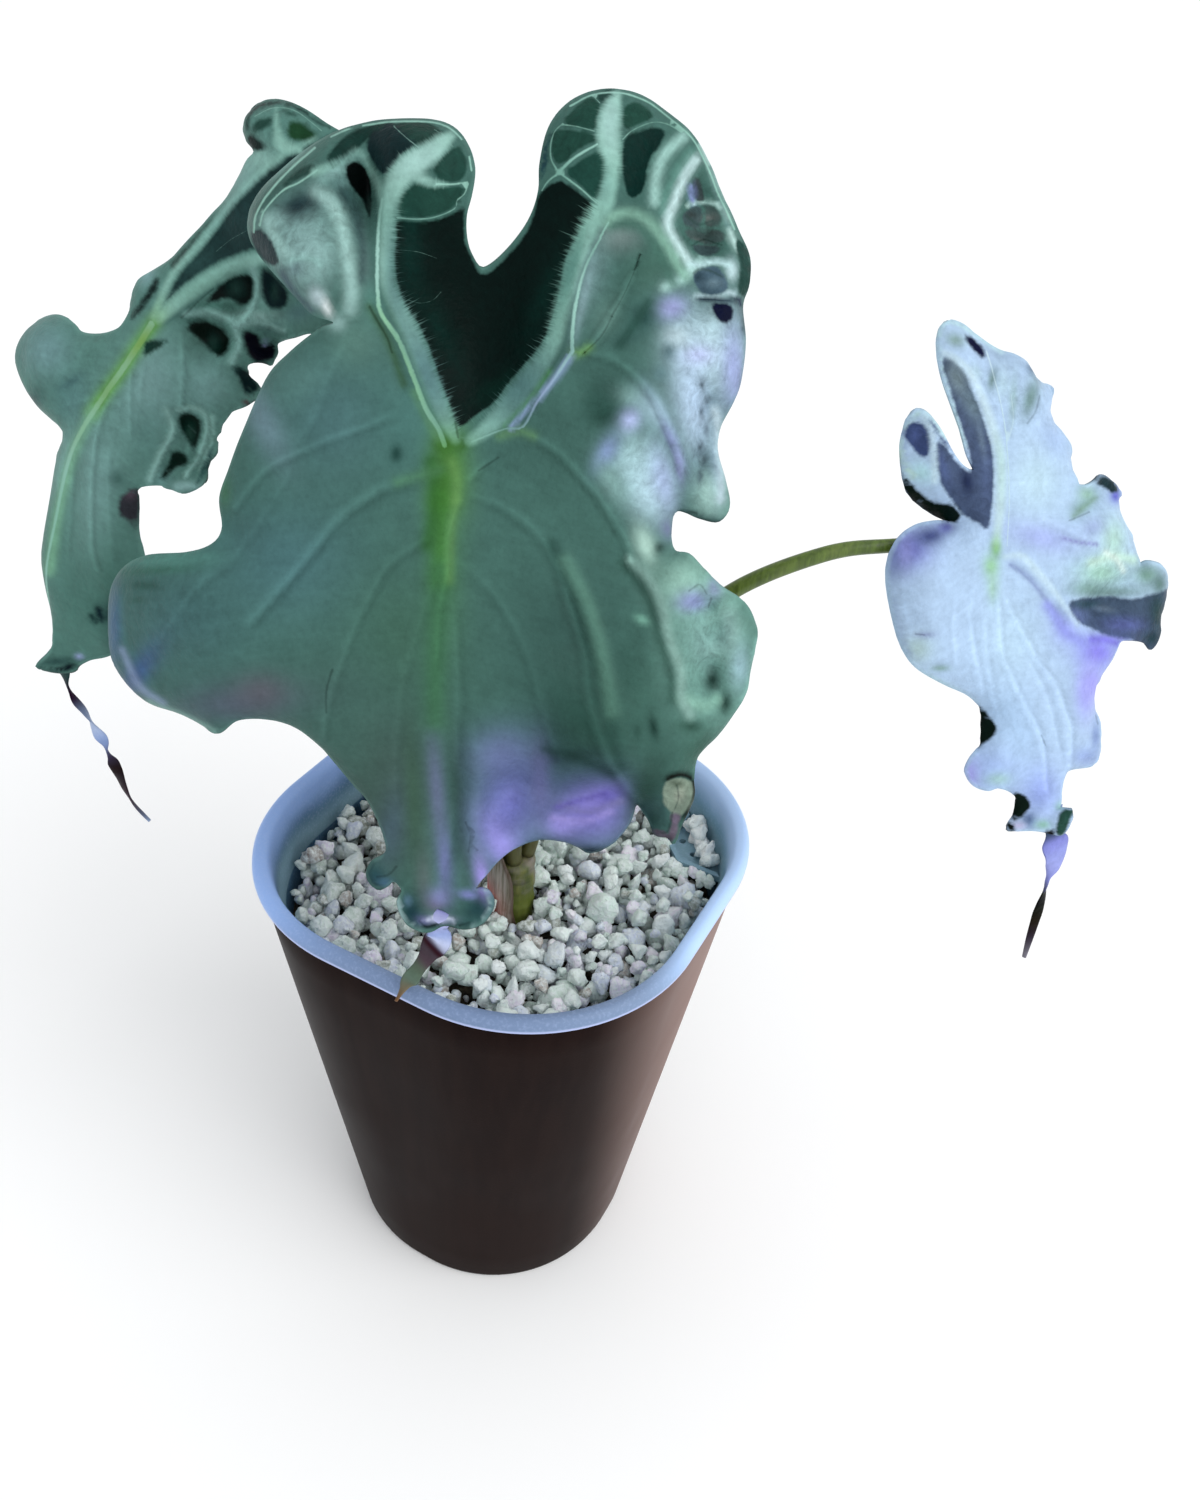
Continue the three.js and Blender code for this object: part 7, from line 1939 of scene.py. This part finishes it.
def liner_material():
    """Frosted blue-lavender plastic with painted light and shade: a lit lip, paler to the right and shaded on
    its near side, a painted highlight under it, a slate blue wall lower down in painted shade, darker to the
    left, and a lit shelf.
    """
    s = Shading("frosted_plastic")
    place = s.place()
    x, y, z = s.axes()
    cloud = s.noise(place, 40, 3, 0.6)
    fine = s.noise(place, 1500, 2, 0.5)
    height = s.weighted((z, 1), (s.math("SUBTRACT", cloud, 0.5), 0.006))
    rightward = level_distance(s, (x, y), LEVEL_RIGHT)
    nearer = level_distance(s, (x, y), LEVEL_NEARER)
    # Painted shade on the wall, darker to the left
    wall = s.mix(s.ramp_mm(rightward, *LINER_WALL_SHADE_FADE), flat("#446781"), flat("#5d8aa1"))
    # Painted light: the lip pales to the right
    lip = s.mix(s.ramp_mm(rightward, *LIP_LIGHT_FADE), flat("#94b4eb"), flat("#b8d6ff"))
    # Painted shade on the lip's near side
    lip = s.mix(s.ramp_mm(nearer, *LIP_NEAR_SHADE_FADE, 0.0, 0.8), lip, flat("#677790"))
    # The lit lip over the wall's painted shade
    colour = s.mix(s.ramp_mm(height, *LIP_LIT_Z), wall, lip)
    squares = []
    for axis in (x, y):
        beyond = s.math("SUBTRACT", s.math("ABSOLUTE", axis), LINER_STRAIGHT_HALF * MM)
        squares.append(s.math("POWER", s.math("MAXIMUM", beyond, 0.0), 2.0))
    outward = s.math("SQRT", s.math("ADD", *squares))
    # Painted highlight: a pale line on the outside wall just under the lip
    under = s.math("MULTIPLY", s.ramp_mm(z, *UNDER_LIP_HIGHLIGHT_Z), s.ramp_mm(outward, *UNDER_LIP_HIGHLIGHT_REACH))
    colour = s.mix(s.math("MULTIPLY", under, 0.8), colour, flat("#b9c4ee"))
    # Painted light: the shelf gets a paler, lit tone of the plastic than the shaded wall
    shelf_lit = s.math("MULTIPLY", s.ramp_mm(outward, *SHELF_LIT_REACH), s.ramp_mm(z, *SHELF_LIT_Z))
    colour = s.mix(shelf_lit, colour, flat("#7c9dac"))
    colour = s.mix(s.ramp(fine, 0.45, 0.75, 0.0, 0.15), colour, flat("#b9c9f0"))
    s.set("Base Color", colour)
    s.set("Roughness", s.ramp(cloud, 0.3, 0.7, 0.28, 0.4))
    s.set("Specular IOR Level", 0.12)
    s.bump(fine, 0.00005, 0.5)
    return s.material


def build_liner(material):
    """The liner: its outer wall, the rolled lip on the pot's rim and the inside down to its floor."""
    foot = POT_HEIGHT + SEAT_GAP
    top = foot + LIP_HEIGHT
    mouth = LINER_TOP_SIDE - 2 * LINER_WALL
    profile = [(LINER_TOP_SIDE, LINER_TOP_CORNER, foot)]
    profile += [(LIP_SIDE - side, LIP_CORNER - corner, foot + rise) for side, corner, rise in LIP_OUTER]
    profile += [(LIP_SIDE - side, LIP_CORNER - corner, top - drop) for side, corner, drop in LIP_SHOULDER]
    profile += [(mouth + side, LINER_TOP_CORNER + corner, top - drop) for side, corner, drop in LIP_INNER]
    rings = blend_rings(liner_ring(LINER_FOOT_Z, 0), liner_ring(POT_HEIGHT, 0), 8)
    rings += [rounded_square(*row) for row in profile]
    rings += blend_rings(rings[-1], liner_ring(LINER_FOOT_Z + LINER_WALL, LINER_WALL), 10)[1:]
    hold(ring_skin("inner_pot_look", rings, material), "inner_pot")


def shelf_outline(inset, wall_gap):
    """Flat outline of the shelf, along the liner's inner wall on two sides."""
    x = SHELF_SIDE[0] + inset
    y = SHELF_SIDE[1] + inset
    cut = SHELF_CHAMFER - inset * SHELF_CHAMFER_SHARE
    ring = liner_ring(SHELF_TOP, LINER_WALL + wall_gap)[:, :2]
    wall = ring[(ring[:, 0] > x) & (ring[:, 1] > y)]
    order = np.argsort(np.arctan2(wall[:, 1] - y, wall[:, 0] - x))
    wall = wall[order]
    return np.vstack(([(x + cut, y), (wall[0][0], y)], wall, [(x, wall[-1][1]), (x, y + cut)]))


def plate(name, outline, holes, low, high, material):
    """A flat plate over an outline, with round holes."""
    loops = [outline]
    reach = np.array([SHELF_HOLE_RADIUS, 0])
    for centre in holes:
        loops.append(tube_ring(np.array(centre), reach, reach[::-1], SHELF_HOLE_SIDES))
    numbers = []
    start = 0
    for loop in loops:
        numbers.append(list(range(start, start + len(loop))))
        start += len(loop)
    points, triangles = triangulate(np.vstack(loops), numbers)
    for loop in loops[1:]:
        triangles = triangles[~inside(points[triangles].mean(1), loop)]
    count = len(points)
    vertices = np.vstack([np.c_[points, np.full(count, height)] for height in (high, low)])
    return make_object(name, vertices * MM, slab_faces(triangles, count), material, smooth=False)


def build_shelf(material):
    """The filling shelf in one corner: a holed plate and the low band along its free edge."""
    outer = shelf_outline(0, -SHELF_SINK)
    inner = shelf_outline(SHELF_BAND_WIDTH, 0)
    low = SHELF_TOP - SHELF_THICKNESS
    floor = plate("shelf_plate", outer, SHELF_HOLES, low, SHELF_TOP, material)
    hold(floor, "inner_pot")
    band = np.array([outer[1], outer[0], outer[-1], outer[-2], inner[-2], inner[-1], inner[0], inner[1]])
    edge = plate("shelf_band", band, [], low, SHELF_TOP + SHELF_BAND_HEIGHT, material)
    hold(edge, "inner_pot")


def grain_material():
    """Pumice: pale, full of small pores darkened by painted shade, each grain with its own tint."""
    s = Shading("pumice")
    place = s.place()
    pores = s.pores(place, 1500)
    rough = s.noise(place, 900, 4, 0.65)
    stain = s.noise(place, 220, 3, 0.6)
    colour = s.mix(s.ramp(rough, 0.25, 0.75), s.colour("grain_tint"), flat("#f0f8f8"))
    colour = s.mix(s.ramp(stain, 0.6, 0.78, 0.0, 0.5), colour, flat("#8f8c82"))
    # Painted shade in the pores
    colour = s.mix(s.ramp(pores, 0.12, 0.02, 0.0, 0.55), colour, flat("#5c5a4e"))
    s.set("Base Color", colour)
    s.set("Roughness", 0.85)
    s.bump(s.weighted((rough, 1), (s.ramp(pores, 0.0, 0.2), 0.5)), 0.0009, 1.0)
    return s.material


def grain_shape(rng, finer):
    """One chipped grain of about unit radius: a ball cut by soft planes."""
    ball = bmesh.new()
    bmesh.ops.create_icosphere(ball, subdivisions=3 if finer else 2, radius=1)
    planes = rng.normal(size=(GRAIN_CUTS, 3))
    planes /= np.linalg.norm(planes, axis=1)[:, None]
    depths = rng.uniform(0.5, 0.92, GRAIN_CUTS)
    seed = Vector(rng.uniform(-50, 50, 3))
    stretch = rng.uniform(0.75, 1.2, 3)
    for vertex in ball.verts:
        cuts = np.clip(planes @ np.array(vertex.co), 0, None) / depths
        radius = ((cuts ** GRAIN_SHARPNESS).sum() + 0.9 ** GRAIN_SHARPNESS) ** (-1 / GRAIN_SHARPNESS)
        radius *= 1 + 0.26 * noise.noise(vertex.co * 2.1 + seed) + 0.12 * noise.noise(vertex.co * 5.5 + seed)
        vertex.co = Vector([c * k * radius for c, k in zip(vertex.co, stretch)])
    turn = Matrix.Rotation(rng.uniform(0, 6.28), 3, "X") @ Matrix.Rotation(rng.uniform(0, 6.28), 3, "Z")
    bmesh.ops.transform(ball, matrix=turn.to_4x4(), verts=ball.verts)
    points = np.array([vertex.co[:] for vertex in ball.verts])
    faces = np.array([[vertex.index for vertex in face.verts] for face in ball.faces])
    ball.free()
    return points, faces


def joined_grains(name, places, rng, finer, material, tint_shares=GRAIN_TINTS):
    """Many grains as one mesh, from a few shapes, turned and scaled, and darkened towards the left by painted
    shade.
    """
    shapes = [grain_shape(rng, finer) for _ in range(GRAIN_SHAPES)]
    shares = np.array([share for _, share in tint_shares])
    vertices = []
    faces = []
    tints = []
    start = 0
    for x, y, z, radius in places:
        points, triangles = shapes[rng.integers(len(shapes))]
        angle = rng.uniform(0, TURN)
        cos = math.cos(angle)
        sin = math.sin(angle)
        turn = np.array([[cos, -sin, 0], [sin, cos, 0], [0, 0, 1]])
        vertices.append(points @ turn * radius + (x, y, z))
        faces.append(triangles + start)
        tint = linear(tint_shares[rng.choice(len(shares), p=shares / shares.sum())][0])
        # Painted shade: grains on the left are darker, those to the right brighter
        shade = GRAIN_SHADE + GRAIN_SHADE_GAIN * np.clip((x + GRAIN_SHADE_REACH) / GRAIN_SHADE_REACH, 0, 1)
        tints.append(np.tile(tint * shade * rng.uniform(0.88, 1.1), (len(points), 1)))
        start += len(points)
    made = make_object(name, np.vstack(vertices) * MM, np.vstack(faces), material)
    set_colour(made, "grain_tint", np.clip(np.vstack(tints), 0, 1))
    return made


def settle_grains(rng):
    """Drop grains one after another into the liner; each takes the lowest of a few spots."""
    room = liner_ring(BED_TOP, LINER_WALL + GRAIN_WALL_ROOM)[:, :2]
    shelf = np.array(SHELF_SIDE) - GRAIN_SHELF_ROOM
    half = LINER_TOP_SIDE / 2
    settled = np.zeros((0, 4))
    while len(settled) < GRAIN_COUNT:
        radius = rng.choice(GRAIN_RADII, p=GRAIN_SHARES) * rng.uniform(0.88, 1.12)
        tries = rng.uniform(-half, half, (GRAIN_TRIES, 2))
        allowed = inside(tries * (1 + radius / half), room)
        on_shelf = (tries > shelf - GRAIN_OVERLAP * radius).all(1)
        on_shelf &= tries.sum(1) > shelf.sum() + SHELF_CHAMFER - radius
        by_stem = np.hypot(*(tries - STEM).T) < STEM_RADIUS + radius * GRAIN_OVERLAP
        best = None
        for spot in tries[allowed & ~on_shelf & ~by_stem]:
            z = BED_CORE_TOP + radius * 0.5
            apart = np.hypot(*(settled[:, :2] - spot).T)
            reach = (settled[:, 3] + radius) * GRAIN_NEST
            near = apart < reach
            if near.any():
                z = max(z, (settled[near, 2] + np.sqrt(reach[near] ** 2 - apart[near] ** 2)).max())
            if best is None or z < best[2]:
                best = (*spot, z, radius)
        if best is None:
            continue
        if best[2] + best[3] <= BED_TOP + GRAIN_HEAP:
            settled = np.vstack((settled, best))
        elif rng.random() < GRAIN_FULL_CHANCE:
            break
    return settled


def banked_spots(rng):
    """Places of the grains banked up against the shelf's free edge."""
    x, y = SHELF_SIDE
    low_x = x - BANK_OFFSET
    low_y = y - BANK_OFFSET
    corners = [
        (BANK_ENDS[0], low_y),
        (x + SHELF_CHAMFER, low_y),
        (low_x, y + SHELF_CHAMFER),
        (low_x, BANK_ENDS[1]),
    ]
    spots = []
    for start, end in zip(corners, corners[1:]):
        count = round(math.dist(start, end) / BANK_STEP)
        for k in range(count):
            place = np.array(start) + (np.array(end) - start) * k / count + rng.uniform(-0.5, 0.5, 2)
            spots.append((*place, BED_TOP - BANK_DROP + rng.uniform(-0.6, 0.6), rng.uniform(*BANK_RADII)))
    return np.array(spots)


def core_material():
    """Dark speckled filling that shows between the grains."""
    s = Shading("bed_core")
    speckle = s.noise(s.place(), 500, 4, 0.6)
    s.set("Base Color", s.mix(s.ramp(speckle, 0.35, 0.65), flat("#1f1a14"), flat("#4a4234")))
    s.set("Roughness", 0.95)
    s.bump(speckle, 0.001, 0.8)
    return s.material


def build_bed():
    """A dark core under loose grains, finer in shape where they can be seen, and the few on the shelf."""
    rng = np.random.default_rng(BED_SEED)
    material = grain_material()
    inset = LINER_WALL + SEAT_GAP
    rings = blend_rings(liner_ring(LINER_FOOT_Z + inset, inset), liner_ring(BED_CORE_TOP, inset), 4)
    hold(ring_skin("pumice_core", rings, core_material()), "substrate")
    settled = np.vstack((settle_grains(rng), banked_spots(rng)))
    top = settled[:, 2] + settled[:, 3] > BED_TOP - 1
    for name, chosen, finer in (("pumice_upper", top, True), ("pumice_lower", ~top, False)):
        hold(joined_grains(name, settled[chosen], rng, finer, material), "substrate")
    heap = [
        (x, y, SHELF_TOP + SEAT_GAP + height, SHELF_GRAIN_SWELL * radius)
        for x, y, height, radius in SHELF_GRAINS
    ]
    few = joined_grains("shelf_grains_look", heap, rng, True, material, SHELF_LIT_TINTS)
    hold(few, "shelf_grains")


def build_floor():
    """A wide white floor."""
    s = Shading("floor_paint")
    cloud = s.noise(s.place(), 1.5, 2, 0.5)
    s.set("Base Color", s.mix(s.ramp(cloud, 0.3, 0.7), flat("#fbfbfb"), flat("#fdfdfd")))
    s.set("Roughness", 0.9)
    corners = [(x * FLOOR_HALF, y * FLOOR_HALF, 0) for x, y in ((-1, -1), (1, -1), (1, 1), (-1, 1))]
    floor = make_object("floor", corners, [(0, 1, 2, 3)], s.material, smooth=False)


def place_light(data, place, target):
    """A light at a place, turned towards a target."""
    made = bpy.data.objects.new(data.name, data)
    made.location = place
    bpy.context.scene.collection.objects.link(made)
    direction = Vector(target) - made.location
    made.rotation_euler = direction.to_track_quat("-Z", "Y").to_euler()


def soft_box(name, place, target, size, power, colour):
    """A rectangular soft light."""
    data = bpy.data.lights.new(name, "AREA")
    data.shape = "RECTANGLE"
    data.size, data.size_y = size
    data.energy = power
    data.color = colour
    place_light(data, place, target)


def build_lights():
    """A bright even studio, a broad soft sun from the right and two faint boxes."""
    world = bpy.data.worlds.new("studio")
    bpy.context.scene.world = world
    world.use_nodes = True
    background = world.node_tree.nodes["Background"]
    background.inputs["Color"].default_value = STUDIO_COLOUR
    background.inputs["Strength"].default_value = STUDIO_STRENGTH
    sun = bpy.data.lights.new("soft_sun", "SUN")
    sun.energy = SUN_STRENGTH
    sun.angle = math.radians(SUN_SPREAD)
    place_light(sun, SUN_PLACE, SUN_TARGET)
    for box in SOFT_BOXES:
        soft_box(*box)


def build_camera():
    """The camera at the eye point, with the sheet as its picture."""
    data = bpy.data.cameras.new("camera")
    data.sensor_width = CAMERA_SENSOR
    data.lens = EYE_FOCAL * CAMERA_SENSOR / SHEET_LONG_SIDE
    made = bpy.data.objects.new("camera", data)
    axes = Matrix([[RIGHTWARD[i], UPWARD[i], BACKWARD[i]] for i in range(3)]).to_4x4()
    made.matrix_world = Matrix.Translation(Vector(EYE * MM)) @ axes
    bpy.context.scene.collection.objects.link(made)
    bpy.context.scene.camera = made


bpy.context.scene.view_settings.view_transform = "Standard"
build_camera()
build_floor()
build_lights()
build_pot()
frosted = liner_material()
build_liner(frosted)
build_shelf(frosted)
build_bed()
build_stem()
build_sheath()
stalk_skin = stalk_material()
for leaf in (FRONT, LEFT, RIGHT):
    build_stalk(leaf, build_leaf(leaf), stalk_skin)
